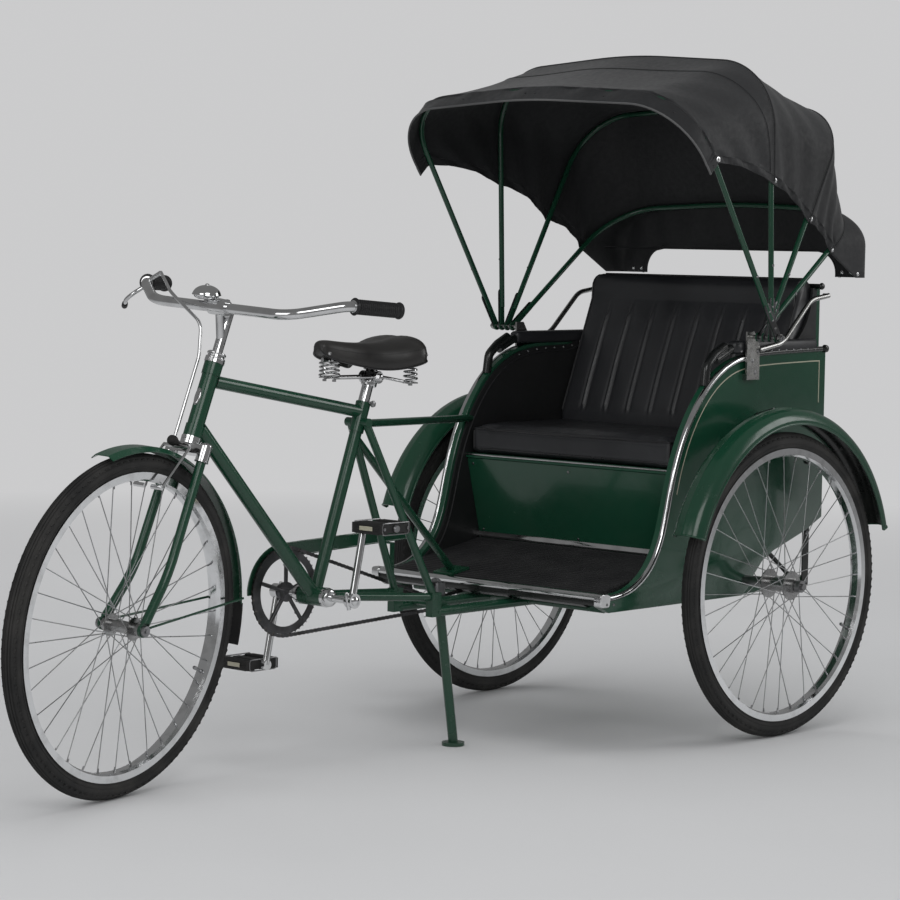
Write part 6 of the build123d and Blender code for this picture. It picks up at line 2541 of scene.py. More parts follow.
    def arms(self) -> None:
        """The front hooks of the arm rails, down to the side panels."""
        form = Form()
        for side in (-1, 1):
            corners = [at(x, side * y, z) for x, y, z in ((84, 340, 911), (122, 340, 893), (152, 341, 868),
                                                          (158, 342, 822))]
            form.tube(even_path(rounded_path(corners, [0.02, 0.02], 6), 0.008), 0.0112, 14)
        carry(form.build("arm_hooks", self.finishes.black_enamel), "chassis", "green_paint")

    def rear_straps(self) -> None:
        """Straps and rods that hold the box's back up from the sills."""
        straps, rods, spots = Form(), Form(), []
        for side in (-1, 1):
            low, high = sorted((side * 332.2, side * 336.4))
            straps.block(at(-272.0, low, 324.0), at(-248.0, high, 480.0))
            for z in (334.0, 452.0):
                spots.append((at(-260.0, side * 336.2, z), sideways(side)))
            rods.tube([at(-236.0, side * 314.0, 340.0), at(-120.0, side * 314.0, 424.0)], 0.0055, 10)
        strap = bevelled(straps.build("strap", self.finishes.black_enamel), 1.2)
        rod = rods.build("rod", self.finishes.black_enamel)
        carry(join("seat_box_straps", [strap, rod]), "chassis", "green_paint")
        self.shop.rivets("seat_box_strap_bolts", spots, (5.0, 3.2, 4.0), self.finishes.steel)

    def arm_pads(self) -> None:
        """The padded covers of the arm rails, tacked along their lower edge."""
        form, spots = Form(), []
        for side in (-1, 1):
            rings = []
            for x, grow in ((62.0, 0.55), (59.5, 0.82), (54.0, 0.96), (44.0, 1.0), (-60.0, 1.0),
                            (-160.0, 1.0), (-252.0, 1.0), (-258.0, 0.96), (-261.5, 0.8)):
                section = []
                for a in round_angles(24):
                    out, up = (abs(v) ** 0.55 * (1 if v > 0 else -1) for v in (cos(a), sin(a)))
                    section.append(at(x, side * (341.0 + 15.6 * grow * out), 909.0 + 15.6 * grow * up))
                rings.append(section)
            form.loft(rings)
            spots += [(at(40.0 - 29.0 * k, side * 356.5, 900.0), sideways(side)) for k in range(11)]
        carry(form.build("arm_pads", self.finishes.leather, sharp=60.0), "chassis", "black_leather")
        self.shop.rivets("arm_pad_tacks", spots, (2.6, 1.7, 3.0), self.finishes.steel)

    def build(self) -> None:
        """Builds the carriage."""
        self.sides()
        self.box()
        self.trim()
        self.corner_caps()
        self.mat()
        self.lines()
        self.fenders()
        self.arms()
        self.arm_pads()
        self.rear_straps()


# ================================================================ bicycle and wheels
STEER_FOOT = at(1437.840, 0.0, 736.0)
STEER_UP = Vector((-0.366501, 0.0, 0.930418))
STEER_FORWARD = Vector((0.930418, 0.0, 0.366501))
STEER_TURN = 11.0
STEERED = (Matrix.Translation(STEER_FOOT) @ Matrix.Rotation(radians(STEER_TURN), 4, STEER_UP)
           @ Matrix.Translation(-STEER_FOOT))


def steer(forward: float, side: float, up: float) -> Point:
    """A place on the unturned steering, in millimetres from the head's foot."""
    return STEER_FOOT + (STEER_FORWARD * forward + sideways(side) + STEER_UP * up) / 1000


def turned(obj: bpy.types.Object) -> bpy.types.Object:
    """Turns a finished mesh with the steering."""
    obj.data.transform(STEERED)
    return obj


@dataclass(frozen=True)
class WheelPlace:
    """Where one wheel runs.

    Attributes:
        name: short name of its pieces.
        body: the body that spins.
        tyre: the frame's tyre node.
        centre: middle of the wheel, before steering.
        steered: whether it turns with the fork.
        outside: which way its nut faces.
    """

    name: str
    body: str
    tyre: str
    centre: tuple[float, float, float]
    steered: bool
    outside: int


@dataclass
class Wheels:
    """Tyres, valves, spoke nipples and hub rings."""

    finishes: Finishes
    shop: Workshop
    lugs: int = 116
    spokes: int = 36
    valve_spoke: float = 20.5

    def places(self) -> list[WheelPlace]:
        """The three wheels.

        Returns:
            The front wheel, then the left and the right one.
        """
        return [WheelPlace("front", "front_wheel", "front_tyre", (1630.0, 0.0, 357.314), True, 1),
                WheelPlace("rear_left", "rear_wheel_left", "rear_tyre_left", (0.0, 454.0, 357.5), False, 1),
                WheelPlace("rear_right", "rear_wheel_right", "rear_tyre_right",
                           (0.0, -454.0, 357.5), False, -1)]

    def section(self) -> list[tuple[float, float]]:
        """Half of the tyre's outline, as radius and sideways place.

        Returns:
            The points from the rim to the tread's middle, in millimetres.
        """
        return [(320.2, 12.6), (322.5, 14.4), (323.4, 14.9), (324.2, 14.7), (327.0, 16.6), (331.0, 18.4),
                (335.5, 19.3), (339.5, 19.1), (343.5, 17.8), (346.6, 15.9), (348.4, 15.4), (350.8, 14.4),
                (352.4, 12.6), (351.0, 11.6), (351.9, 10.2), (354.4, 9.4), (355.6, 7.4), (353.9, 6.6),
                (354.4, 5.2), (356.7, 4.6), (357.3, 2.6), (355.7, 1.9), (355.9, 0.9)]

    def spin(self, centre: Point, radius: float, y: float, angle: float) -> Point:
        """A point on a wheel."""
        return centre + Vector((radius * cos(angle), y, radius * sin(angle))) / 1000

    def tyre(self, place: WheelPlace, centre: Point) -> bpy.types.Object:
        """The ribbed tyre with its side lugs and the lines on its walls.

        Args:
            place: which wheel.
            centre: its middle.

        Returns:
            The tyre, all in one mesh.
        """
        half = self.section()
        outline = half + [(r, -y) for r, y in reversed(half)]
        rows = [[self.spin(centre, r, y, a) for r, y in outline] for a in round_angles(168)]
        form = Form()
        form.grid(rows, wrap_rows=True, wrap=True)
        tyre = form.build("tyre", self.finishes.tyre, sharp=34.0)
        corners = ((-5.0, -2.4), (5.0, -2.4), (4.4, 2.4), (-4.4, 2.4))
        lug = Form().loft([[Vector((x / 1000, y / 1000, z / 1000)) for x, y in corners]
                           for z in (-2.2, 0.55)])
        lug = lug.build("lug", self.finishes.tyre)
        spots = []
        for a in round_angles(self.lugs, 0.5):
            for side in (-1, 1):
                way = Vector((cos(a) * 0.86, side * 0.5, sin(a) * 0.86))
                shift = (0.5 if side > 0 else 0.0) * pi / self.lugs
                spots.append((self.spin(centre, 347.4, side * 16.0, a + shift), way))
        lugs = self.shop.points("lugs", spots, lug, self.finishes.tyre)
        ring = Form()
        for side in (-1, 1):
            for r, y in ((330.5, 18.5), (343.2, 18.1)):
                ring.tube([self.spin(centre, r, side * y, a) for a in round_angles(120)], 0.0007, 5,
                          closed=True)
        return join(f"{place.name}_tyre_ribbed", [tyre, lugs, ring.build("ring", self.finishes.tyre)])

    def nipples(self, place: WheelPlace, centre: Point) -> bpy.types.Object:
        """The spokes' nipples, each leaning to its own flange.

        Args:
            place: which wheel.
            centre: its middle.

        Returns:
            The nipples, all in one mesh.
        """
        spots = []
        for k, a in enumerate(round_angles(self.spokes)):
            aim = Vector((-cos(a), (1 if k % 2 else -1) * 0.12, -sin(a)))
            spots.append((self.spin(centre, 302.6, 0.0, a), aim))
        nipple = Form().lathe([(2.6, 0), (2.6, 1.6), (1.9, 2.2), (1.8, 9.6), (1.3, 11.0)], Vector(), UP, 8)
        nipple = nipple.build("nipple", self.finishes.steel)
        return self.shop.points(f"{place.name}_nipples", spots, nipple, self.finishes.steel)

    def valve(self, place: WheelPlace, centre: Point) -> bpy.types.Object:
        """The valve with its nut and cap, between two spokes.

        Args:
            place: which wheel.
            centre: its middle.

        Returns:
            The valve.
        """
        a = 2 * pi * self.valve_spoke / self.spokes
        inward = Vector((-cos(a), 0, -sin(a)))
        valve = Form().lathe([(5.0, 0), (5.0, 2.2), (3.0, 2.6), (3.0, 22), (4.1, 22.4), (4.1, 30),
                              (3.0, 31.5), (0, 32)],
                             self.spin(centre, 303.0, 0.0, a), inward, 12)
        return valve.build(f"{place.name}_valve", self.finishes.steel)

    def wheel(self, place: WheelPlace) -> None:
        """Dresses one wheel.

        Args:
            place: which wheel.
        """
        centre = at(*place.centre)
        pieces = [self.tyre(place, centre), self.nipples(place, centre), self.valve(place, centre)]
        if place.steered:
            pieces = [turned(p) for p in pieces]
        tyre, *metal = pieces
        carry(tyre, place.body, "tyre", (place.tyre,))
        for piece in metal:
            carry(piece, place.body, "steel")
        if not place.steered:
            out = sideways(place.outside)
            cap = Form().lathe([(0, 0), (13.5, 0), (13.5, 4), (11.5, 6.0), (8.0, 6.4), (8.0, 5.0), (0, 5.0)],
                               centre + out * 0.0402, out, 24)
            carry(cap.build(f"{place.name}_hub_ring", self.finishes.steel), place.body, "steel")

    def build(self) -> None:
        """Dresses all three wheels."""
        for place in self.places():
            self.wheel(place)


@dataclass
class Drive:
    """Chain links, teeth, crank caps and cups, the pedals' fittings and the chain guard's edge."""

    finishes: Finishes
    shop: Workshop
    ring: tuple[float, float, float] = (1078.0, 375.0, 97.3)
    cog: tuple[float, float, float] = (0.0, 357.5, 37.3)
    idler: tuple[float, float, float] = (600.0, 347.0, 25.7)
    chain_y: float = -90.0
    pitch: float = 12.7

    def lower_run(self) -> float:
        """Angle of the lower run's normal, which both circles share.

        Returns:
            The angle in radians.
        """
        (ax, az, ar), (bx, bz, br) = self.cog, self.ring
        run = hypot(bx - ax, bz - az)
        return atan2(bz - az, bx - ax) - pi / 2 - asin((br - ar) / run)

    def over(self, wheel: tuple[float, float, float]) -> float:
        """Angle at which the upper run leaves a circle for the idler's underside.

        Args:
            wheel: X, Z and radius of the circle.

        Returns:
            The angle in radians.
        """
        (bx, bz, br), (ix, iz, ir) = wheel, self.idler
        toward = atan2(iz - bz, ix - bx)
        swing = acos((br + ir) / hypot(ix - bx, iz - bz))
        return toward + swing if ix > bx else toward - swing

    def path(self) -> list[Point]:
        """The middle line of the chain, closed.

        Returns:
            The points, the last one on the first.
        """

        def bend(circle: tuple[float, float, float], start: float, end: float, steps: int) -> list[Point]:
            """Points on a circle from one angle to another.

            Args:
                circle: X, Z and radius.
                start: first angle in radians.
                end: last angle.
                steps: number of equal steps.

            Returns:
                steps + 1 points.
            """
            x, z, r = circle
            return [at(x + r * cos(start + (end - start) * k / steps), self.chain_y,
                       z + r * sin(start + (end - start) * k / steps)) for k in range(steps + 1)]

        low, front, back = self.lower_run(), self.over(self.ring), self.over(self.cog)
        out = bend(self.ring, low, (front + 2 * pi) % (2 * pi), 40)
        out += bend(self.idler, front + pi if front < 0 else front - pi, back - pi, 8)
        out += bend(self.cog, back, low + 2 * pi, 24)
        return out + [out[0]]

    def chain(self) -> None:
        """Builds the chain link by link."""
        path = self.path()
        length = sum((b - a).length for a, b in zip(path, path[1:]))
        count = 2 * round(length * 1000 / self.pitch / 2)
        pins = even_path(path, length / count)[:count]
        half, end_r = self.pitch / 2, 4.7
        bow = [(end_r * sin(a), half + end_r * cos(a)) for a in (radians(-60 + 15 * k) for k in range(9))]
        outline = bow + [(3.1, 0.0)] + [(-x, -z) for x, z in bow] + [(-3.1, 0.0)]

        def link(y: float, pins_too: bool, finish: bpy.types.Material) -> bpy.types.Object:
            """One link about its middle, its length along Z.

            Args:
                y: millimetres from the middle to the inner face of each plate.
                pins_too: whether its pins and rollers come with it.
                finish: its material.

            Returns:
                The link.
            """
            form = Form()
            for side in (-1, 1):
                form.loft([[Vector((x, side * yy, z)) / 1000 for x, z in outline] for yy in (y, y + 0.75)])
            if pins_too:
                for z in (-half, half):
                    for r, reach, sides in ((1.5, 3.3, 8), (2.7, 1.2, 10)):
                        form.lathe([(0, -reach), (r, -reach), (r, reach), (0, reach)], UP * (z / 1000),
                                   sideways(1), sides)
            return form.build("link", finish)

        parts = []
        for k, finish in ((0, self.finishes.link_steel), (1, self.finishes.chain_steel)):
            spots = []
            for i in range(k, count, 2):
                a, b = pins[i], pins[(i + 1) % count]
                spots.append(((a + b) / 2, b - a))
            shape = link(2.2 if k == 0 else 1.35, k == 0, finish)
            parts.append(self.shop.points(f"links_{k}", spots, shape, finish))
        carry(join("chain_links", parts), "chassis", "chain_steel", ("chain",))

    def teeth(self) -> None:
        """Teeth of the chainring."""
        x, z, r = self.ring
        centre = at(x, self.chain_y, z)
        count = round(pi / asin(self.pitch / 2 / r))
        profile = [(-2.9, -2.0), (-2.3, 0.6), (-1.0, 3.0), (0.0, 3.5), (1.0, 3.0), (2.3, 0.6), (2.9, -2.0)]
        tooth = Form().loft([[Vector((px, y, pz)) / 1000 for px, pz in profile] for y in (-0.9, 0.9)])
        shape = tooth.build("tooth", self.finishes.steel)
        ways = [Vector((cos(a), 0, sin(a))) for a in round_angles(count, 0.5)]
        spots = [(centre + way * ((r - 4.3) / 1000), way) for way in ways]
        carry(self.shop.points("chainring_teeth", spots, shape, self.finishes.steel), "crank", "steel")

    def caps(self) -> None:
        """End caps and cotters of the cranks, the bracket's cups and the chainring's bolts."""
        x, z, _ = self.ring
        caps = Form()
        for side in (-1, 1):
            cotter = at(x + side * 13.0, side * 116.0, z)
            caps.lathe([(0, 0), (10.0, 0), (10.0, 2.0), (7.5, 4.2), (0, 5.0)], at(x, side * 126.0, z),
                       sideways(side), 20)
            caps.lathe([(0, -19), (4.4, -19), (4.4, 17), (3.0, 20), (0, 20)], cotter, Vector((0.2, 0, 1)), 10)
        carry(caps.build("crank_caps", self.finishes.chrome), "crank", "chrome")
        cups = Form()
        cup = [(9.8, 0), (21.6, 0), (21.6, 5.0), (19.4, 6.5), (19.4, 15.0), (17.6, 17.5), (13.0, 19.0),
               (9.8, 19.0)]
        for side in (-1, 1):
            cups.lathe(cup, at(x, side * 35.2, z), sideways(side), 28)
        carry(cups.build("bracket_cups", self.finishes.chrome), "chassis", "chrome")
        centre = at(x, self.chain_y, z)
        bolts = [(centre + Vector((60 * cos(a), -4.6, 60 * sin(a))) / 1000, sideways(-1))
                 for a in (radians(90 + 72 * i) for i in range(5))]
        self.shop.rivets("chainring_bolts", bolts, (3.2, 1.6, 4.2), self.finishes.steel, "crank")

    def pedals(self) -> None:
        """Rubber treads, end plates, dust caps and reflectors of the pedals."""
        for name, side, x, z in (("pedal_left", 1, 1043.695, 536.394),
                                 ("pedal_right", -1, 1112.305, 213.606)):
            bar = Form().tube([sideways(-0.036), sideways(0.036)], 0.0013, 6)
            shape = bar.build("bar", self.finishes.rubber)
            spots, y = [], side * 168.0
            for lean in (-1, 1):
                spots += [(at(x + lean * (27.0 + 4.0 * k), y, z + up * 10.9), UP)
                          for k in range(5) for up in (-1, 1)]
                spots += [(at(x + lean * 45.0, y, z - 7.5 + 5.0 * k), UP) for k in range(4)]
            ribs = self.shop.points(f"{name}_tread", spots, shape, self.finishes.rubber)
            carry(ribs, name, "rubber")
            plates = Form()
            long, high = 40, 12.4
            for out in (124.6, 210.4):
                corners = [at(x + a, side * out, z + b) for a, b in (
                    (-long, high), (long, high), (long, -high), (-long, -high), (-long, high))]
                plates.tube(even_path(rounded_path(corners, [0.005] * 3, 4), 0.006), 0.0015, 6)
            plates.lathe([(0, 0), (8.6, 0), (8.6, 3.0), (7.0, 5.6), (0, 6.0)], at(x, side * 211.2, z),
                         sideways(side), 16)
            for lean in (-1, 1):
                plates.lathe([(0, 0), (3.6, 0), (3.6, 2.4), (0, 3.0)], at(x + lean * 35, side * 211.0, z),
                             sideways(side), 6)
            carry(plates.build(f"{name}_plates", self.finishes.steel), name, "steel")
            glass = Form()
            for lean in (-1, 1):
                face = x + lean * 47.2
                glass.block(at(face - 1.2, y - 19.0, z - 4.6), at(face + 1.2, y + 19.0, z + 4.6))
            carry(bevelled(glass.build(f"{name}_reflectors", self.finishes.cream), 0.8), name, "steel")

    def guard(self) -> None:
        """Rolled edge and screws of the chain guard."""
        (x, z, _), r, tail, y = self.ring, 107.0, 676.5, -99.0
        outer, inner = r - 1.2, r - 31
        path = [at(x + outer * cos(a), y, z + outer * sin(a))
                for a in (radians(90 * k / 18) for k in range(19))]
        path += straight(at(x, y, z + r - 1.2), at(tail, y, z + r + 10.8), 12)[1:]
        path += straight(at(tail, y, z + r + 10.8), at(tail, y, z + r - 15.0), 3)[1:]
        path += straight(at(tail, y, z + r - 15.0), at(x, y, z + r - 31.0), 12)[1:]
        path += [at(x + inner * cos(a), y, z + inner * sin(a))
                 for a in (radians(90 - 90 * k / 18) for k in range(1, 19))]
        edge = Form().tube(path, 0.0019, 8, closed=True)
        carry(edge.build("chain_guard_edge", self.finishes.green), "chassis", "green_paint")
        spots = [(at(a, -100.1, b), sideways(-1)) for a, b in ((x, 466.0), (900.0, 471.0), (700.0, 477.0))]
        steel = self.finishes.steel
        carry(self.shop.points("chain_guard_screws", spots, screw_shape(3.4, steel), steel), "chassis",
              "steel")

    def build(self) -> None:
        """Dresses the whole drive."""
        self.chain()
        self.teeth()
        self.caps()
        self.pedals()
        self.guard()


@dataclass
class Saddle:
    """The long-nosed leather saddle on its rails and springs."""

    finishes: Finishes
    shop: Workshop
    base_z: float = 886.9
    post: tuple[float, float] = (912.46, 854.39)
    crank: tuple[float, float] = (1078.0, 375.0)
    spring: tuple[float, float, float] = (850.5, 62.0, 840.4)
    spring_turns: float = 5.0
    coil_r: float = 15.0
    stations: tuple[tuple[float, float, float, float], ...] = (
        (1077.3, 4.0, 921.0, 912.0), (1076.0, 11.0, 925.5, 906.0), (1071.5, 17.5, 929.0, 900.5),
        (1062.0, 22.0, 931.0, 894.5), (1045.0, 25.0, 930.5, 888.0), (1020.0, 28.5, 928.0, 882.0),
        (990.0, 33.0, 925.5, 875.5), (962.0, 40.0, 924.5, 870.0), (938.0, 51.0, 925.0, 866.0),
        (915.0, 66.0, 927.0, 865.0), (893.0, 82.0, 930.0, 867.5), (872.0, 95.0, 934.0, 872.5),
        (852.0, 101.0, 937.5, 878.0), (836.0, 98.0, 939.0, 882.5), (823.0, 84.0, 938.0, 886.0),
        (814.0, 62.0, 934.0, 889.5), (809.2, 37.0, 927.0, 894.5), (807.8, 14.0, 918.0, 901.0))

    def ring(self, x: float, half: float, top: float, skirt: float) -> list[Point]:
        """One cross-section of the saddle.

        Args:
            x: where along the saddle.
            half: half its width.
            top: height of its crown.
            skirt: height of its lower edge.

        Returns:
            Points round the section.
        """
        out = []
        deep = top - skirt
        dish = 2.2 * smooth_step(30, 70, half)
        for k in range(25):
            a = radians(-90 + 180 * k / 24)
            y = half * abs(sin(a)) ** 0.86 * (1 if a > 0 else -1)
            z = skirt + deep * max(0.0, cos(a)) ** 0.52
            z -= dish * exp(-(y / 15.0) ** 2)
            out.append(at(x, y, z))
        thick = min(4.0, half * 0.35)
        lid = max(self.base_z, skirt + 1.5)
        inner = [(half - thick * 0.4, skirt - 0.9), (half - thick, skirt), (half - thick - 1.0, lid)]
        return out + [at(x, y, z) for y, z in inner] + [at(x, -y, z) for y, z in reversed(inner)]

    def seat(self) -> None:
        """The padded leather top with its skirts."""
        stops = through(self.stations, 4)
        pad = Form().loft([self.ring(*s) for s in stops])
        obj = pad.build("saddle_pad", self.finishes.saddle_hide, sharp=70.0)
        carry(obj, "chassis", "black_leather", ("saddle",))
        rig.padded(obj, 0.6)
        form, seams = Form(), []
        for side in (-1, 1):
            rim, seam = [], []
            for x, half, top, skirt in stops:
                if half < 9:
                    continue
                rim.append(at(x, side * (half + 0.3), skirt + 0.6))
                a = radians(71)
                seam.append(at(x, side * (half * sin(a) ** 0.86 + 0.5),
                               skirt + (top - skirt) * cos(a) ** 0.52 + 0.3))
            form.tube(even_path(rim, 0.006), 0.0015, 6)
            seams.append(seam)
        carry(form.build("saddle_edge", self.finishes.piping), "chassis", "black_leather")
        self.shop.sew("saddle_stitches", seams, 5.0, self.finishes.lining_thread, 0.4, "chassis",
                      "black_leather")
        spots = [(at(1062.0, s * 22.3, 903.0), Vector((0.5, s, 0.2))) for s in (-1, 1)]
        spots += [(at(830.0, s * 92.0, 899.0), Vector((-0.5, s, 0.15))) for s in (-1, 1)]
        spots += [(at(808.6, s * 24.0, 908.0), Vector((-1, s * 0.3, 0.15))) for s in (-1, 1)]
        self.shop.rivets("saddle_rivets", spots, (3.2, 1.6, 4.4), self.finishes.chrome, slot="chrome")

    def springs(self) -> None:
        """The rails, the coil springs with their cups and the bar under the nose."""
        form = Form()
        sx, sy, sz = self.spring
        px = self.post[0]
        nose_x, nose_y, nose_top = 1040.0, 15.0, 888.0
        for side in (-1, 1):
            rail = rounded_path([at(sx, side * sy, sz - 5), at(px - 16, side * 24, sz + 7),
                                 at(px + 24, side * 22, sz + 8), at(nose_x, side * nose_y, sz + 9)],
                                [0.03, 0.03], 6)
            form.tube(even_path(rail, 0.008), 0.0038, 10)
            top = self.base_z + 3.0
            for x, y, foot, lid, r, wire, turns in (
                    (sx, sy, sz + 1.5, top, self.coil_r, 0.0025, self.spring_turns),
                    (nose_x, nose_y, sz + 13.0, nose_top, 11.5, 0.0021, 4.0)):
                count = int(turns * 26)
                coil = []
                for k in range(count + 1):
                    a = 2 * pi * k / 26
                    waist = 1.0 - 0.10 * sin(pi * k / count)
                    coil.append(at(x + r * waist * cos(a), side * (y + r * waist * sin(a)),
                                   foot + (lid - foot) * k / count))
                form.tube(coil, wire, 8)
            form.lathe([(0, 0), (17, 0), (17, 2.2), (13, 3.4), (5, 4.6), (5, 9.0), (0, 9.0)],
                       at(sx, side * sy, sz - 6.0), UP, 20)
            form.lathe([(0, 0), (16.5, 0), (16.5, 1.6), (9, 3.0), (0, 3.2)], at(sx, side * sy, top + 1.6),
                       DOWN, 20)
            form.lathe([(0, 0), (5.4, 0), (5.4, 5.0), (0, 5.0)], at(sx, side * sy, sz - 6.0), DOWN, 6)
            form.lathe([(0, 0), (12.5, 0), (12.5, 2.0), (8, 3.2), (4, 5.2), (0, 5.2)],
                       at(nose_x, side * nose_y, sz + 8.0), UP, 16)
            form.lathe([(0, 0), (5.0, 0), (5.0, 5.0), (0, 5.0)], at(nose_x, side * nose_y, sz + 5.5), DOWN, 6)
        bridge = rounded_path([at(sx, -sy, self.base_z - 4), at(sx - 14, 0, self.base_z - 2),
                               at(sx, sy, self.base_z - 4)], [0.08], 8)
        form.tube(bridge, 0.0032, 8)
        form.tube(straight(at(nose_x, -17, nose_top + 1), at(nose_x, 17, nose_top + 1), 2), 0.005, 12)
        form.lathe([(0, 0), (5.5, 0), (5.5, 5), (3.2, 5), (3.2, 24), (0, 24)], at(nose_x + 22, 0, nose_top),
                   Vector((-1, 0, 0)), 6)
        springs = form.build("saddle_springs", self.finishes.chrome, sharp=38.0)
        carry(springs, "chassis", "chrome", ("saddle_frame",))

    def post_clamp(self) -> None:
        """The clamp on the seat post, and the bolt that pinches the frame's lug."""
        px, pz = self.post[0], self.spring[2] + 7
        clamp = Form()
        for side in (-1, 1):
            clamp.lathe([(0, -5), (12.5, -5), (14, -3), (14, 3), (12.5, 5), (0, 5)],
                        at(px - 1, side * 22.5, pz), sideways(side), 20)
            clamp.lathe([(0, 0), (8.0, 0), (8.0, 5.0), (5, 6.2), (0, 6.2)], at(px - 1, side * 27.5, pz),
                        sideways(side), 6)
        clamp.tube(straight(at(px - 1, -30, pz), at(px - 1, 30, pz), 2), 0.0052, 12)
        aim = Vector((self.post[0] - self.crank[0], 0, self.post[1] - self.crank[1])).normalized()
        clamp.lathe([(0, -24), (16.8, -24), (17.4, -22), (17.4, 3), (16.0, 5.0), (0, 5.0)],
                    at(px, 0, pz - 0.5) + aim * 0.004, aim, 24)
        carry(clamp.build("saddle_clamp", self.finishes.chrome), "chassis", "chrome")
        bolt = Form()
        spot = at(926.0, 0, 789.0)
        for side in (-1, 1):
            bolt.lathe([(0, 0), (7.5, 0), (7.5, 4.5), (4.5, 6.0), (0, 6.0)],
                       spot + sideways(side * 0.0195), sideways(side), 6)
        bolt.tube(straight(spot + sideways(-0.021), spot + sideways(0.021), 2), 0.005, 12)
        carry(bolt.build("seat_post_bolt", self.finishes.steel), "chassis", "steel")

    def build(self) -> None:
        """Builds the saddle."""
        self.seat()
        self.springs()
        self.post_clamp()


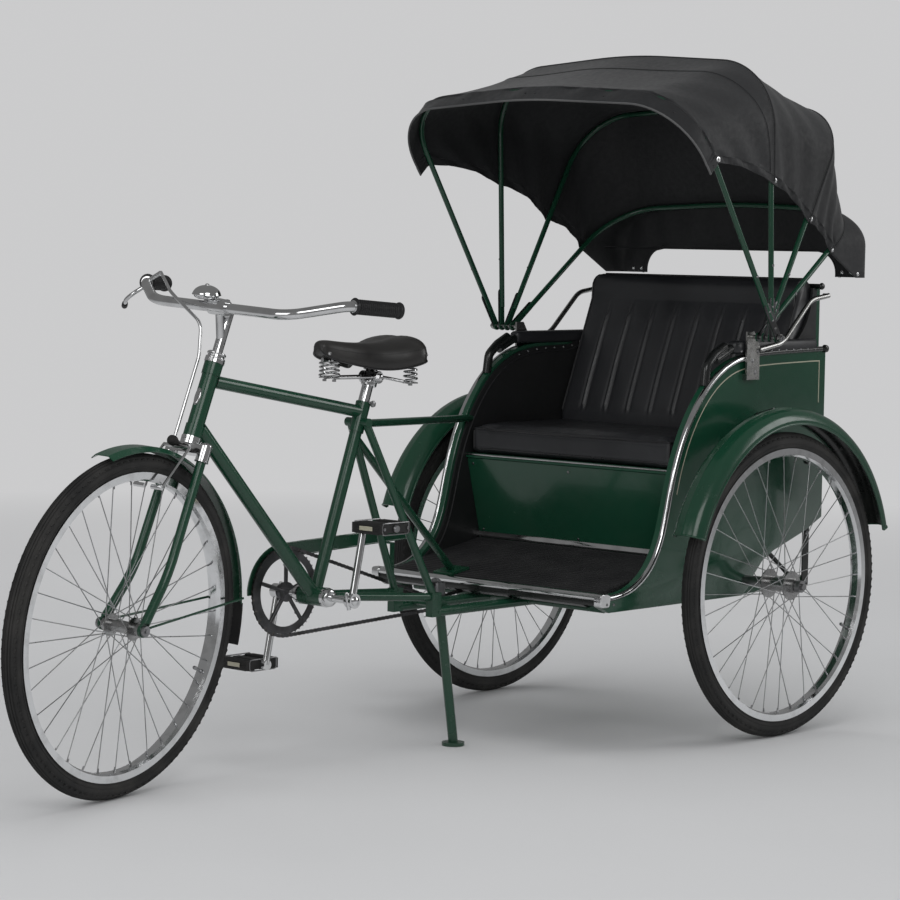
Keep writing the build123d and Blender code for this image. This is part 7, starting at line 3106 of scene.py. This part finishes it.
@dataclass
class FrontEnd:
    """Grips, bell, caps and small fittings of the steering."""

    finishes: Finishes
    shop: Workshop
    clamp: tuple[float, float, float] = (1370.55, 0.0, 1005.06)
    rib_pitch: float = 5.2

    def grips(self) -> None:
        """The ribbed grips with their end rings."""
        form, rings = Form(), Form()
        cx, _, cz = self.clamp
        for side in (-1, 1):
            inner, outer = at(cx - 84, side * 268, cz + 27), at(cx - 205, side * 312, cz + 19)
            way = (outer - inner).normalized()
            foot = inner + way * 0.014
            length = (outer - inner).length * 1000 - 10.0
            profile = [(11.2, 0.0), (18.0, 0.3), (18.8, 1.6), (18.0, 3.4), (15.2, 4.4)]
            h = 8.0
            while h < length - 13:
                profile += [(14.7, h), (16.1, h + 1.1), (16.1, h + 2.4), (14.7, h + 3.4)]
                h += self.rib_pitch
            profile += [(15.0, length - 8), (17.4, length - 6.5), (18.2, length - 3.5), (17.0, length - 0.6),
                        (13.0, length + 0.8), (0.0, length + 1.2)]
            form.lathe(profile, foot, way, 28)
            rings.lathe([(11.6, -2.6), (13.4, -2.4), (13.8, -1.0), (13.4, 0.2), (11.6, 0.2)], foot, way, 24)
        carry(turned(form.build("grips_ribbed", self.finishes.grip, sharp=35.0)), "steering", "grip_plastic",
              ("grips",))
        carry(turned(rings.build("grip_rings", self.finishes.chrome)), "steering", "chrome")

    def bell(self) -> None:
        """Lower cup, screw and thumb lever of the bell."""
        cx, _, cz = self.clamp
        foot = at(cx + 2, -34.0, cz + 23.0)
        form = Form().lathe([(9.0, -9.0), (18.0, -8.2), (25.5, -4.6), (28.6, 0.8), (28.2, 1.6), (25.0, -2.0),
                             (9.0, -4.0)],
                            foot, UP, 36)
        form.lathe([(0, 19.5), (4.6, 20.2), (4.2, 22.4), (2.6, 23.8), (0, 24.2)], foot, UP, 16)
        form.lathe([(30.4, 0.0), (30.9, 0.8), (30.4, 2.2), (29.6, 1.4)], foot, UP, 40)
        bends = [foot + Vector(p)
                 for p in ((-0.010, 0.006, -0.0075), (-0.034, 0.012, -0.009), (-0.040, 0.030, -0.012))]
        lever = even_path(rounded_path(bends, [0.008], 6), 0.005)
        form.tube(lever, [0.0026] * (len(lever) - 2) + [0.0042, 0.0036], 8)
        carry(turned(form.build("bell_cup", self.finishes.chrome)), "steering", "chrome")

    def crown(self) -> None:
        """Caps of the fork crown, headset rings, the knob and the stem's bolt."""
        form = Form()
        for side in (-1, 1):
            form.lathe([(0, 0), (14.4, 0), (14.4, 2.0), (12.6, 5.0), (8.0, 7.4), (3.0, 8.4), (0, 8.6)],
                       steer(0, side * 42.0, -16.2), STEER_UP, 24)
            form.lathe([(14.0, 0), (15.0, 0.6), (15.0, 2.6), (14.0, 3.2)], steer(0, side * 42.0, -50.5),
                       STEER_UP, 24)
        form.lathe([(0, 0), (8.6, 0), (8.6, 5.2), (6.4, 6.6), (0, 7.0)], steer(0, 0, 278.6), STEER_UP, 6)
        form.lathe([(0, 0), (6.6, 0), (6.6, 4.0), (4, 5.0), (0, 5.2)], steer(22.0, 0, 262.0),
                   Vector((0.93, 0, -0.36)), 6)
        for up, r in ((171.0, 20.6), (181.0, 19.8)):
            form.lathe([(17.0, 0), (r, 0.3), (r + 0.6, 1.5), (r + 0.6, 3.5), (r, 4.7), (17.0, 5.0)],
                       steer(0, 0, up), STEER_UP, 32)
        carry(turned(form.build("crown_caps", self.finishes.chrome)), "steering", "chrome")
        knob = Form().lathe([(0, 0), (7.0, 0), (7.0, 6), (4.2, 8), (4.2, 34), (8.0, 36), (10.6, 40),
                             (11.2, 46), (10.0, 52), (6.0, 56), (0, 57)],
                            steer(13.0, 0, -26.0), STEER_FORWARD, 20)
        carry(turned(knob.build("crown_knob", self.finishes.rubber)), "steering", "rubber")
        cx, _, cz = self.clamp
        bend = Vector(at(cx - 84 + 8, -262.0, cz + 27))
        tip, knee = bend + Vector((-20, -70, -58)) / 1000, bend + Vector((34, -22, -34)) / 1000
        way = (tip - knee).normalized()
        sleeve = Form().lathe([(4.4, 0), (6.2, 0.8), (6.6, 6), (6.6, 24), (5.6, 28.5), (0, 30.5)],
                              tip - way * 0.027, way, 16)
        carry(turned(sleeve.build("lever_tip", self.finishes.rubber)), "steering", "rubber")

    def badge(self) -> None:
        """The plain oval plate on the head tube."""
        form = Form()
        rows = []
        for k in range(11):
            r = k / 10
            border = smooth_step(0.62, 0.70, r) * smooth_step(0.9, 0.8, r)
            lift = 18.4 + 1.1 * smooth_step(1.0, 0.86, r) + 0.5 * border
            row = []
            for a in round_angles(28):
                turn, up = r * 0.50 * cos(a), 84.0 + r * 19.0 * sin(a)
                row.append(steer(lift * cos(turn), lift * sin(turn), up))
            rows.append(row)
        form.grid(rows, wrap=True)
        carry(form.build("head_badge", self.finishes.chrome, outwards=False), "chassis", "chrome")

    def build(self) -> None:
        """Dresses the front end."""
        self.grips()
        self.bell()
        self.crown()
        self.badge()


def main() -> None:
    """Builds the room, paints the frame and dresses it piece by piece."""
    logging.basicConfig(level=logging.INFO, format="%(name)s %(message)s")
    Studio().build()
    finishes = Finishes()
    FramePaint(finishes).build()
    shop = Workshop()
    Hood(finishes, shop).build()
    Upholstery(finishes, shop).build()
    Carriage(finishes, shop).build()
    Wheels(finishes, shop).build()
    Drive(finishes, shop).build()
    Saddle(finishes, shop).build()
    FrontEnd(finishes, shop).build()


def write_sizes() -> None:
    """Writes the frame's box and the dressed object's box side by side."""
    with open("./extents.json", "w") as out:
        json.dump({"cad": CAD_BOX, "visual": [list(map(float, c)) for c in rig.bounds()]}, out)


if __name__ == "__main__":
    main()
    write_sizes()
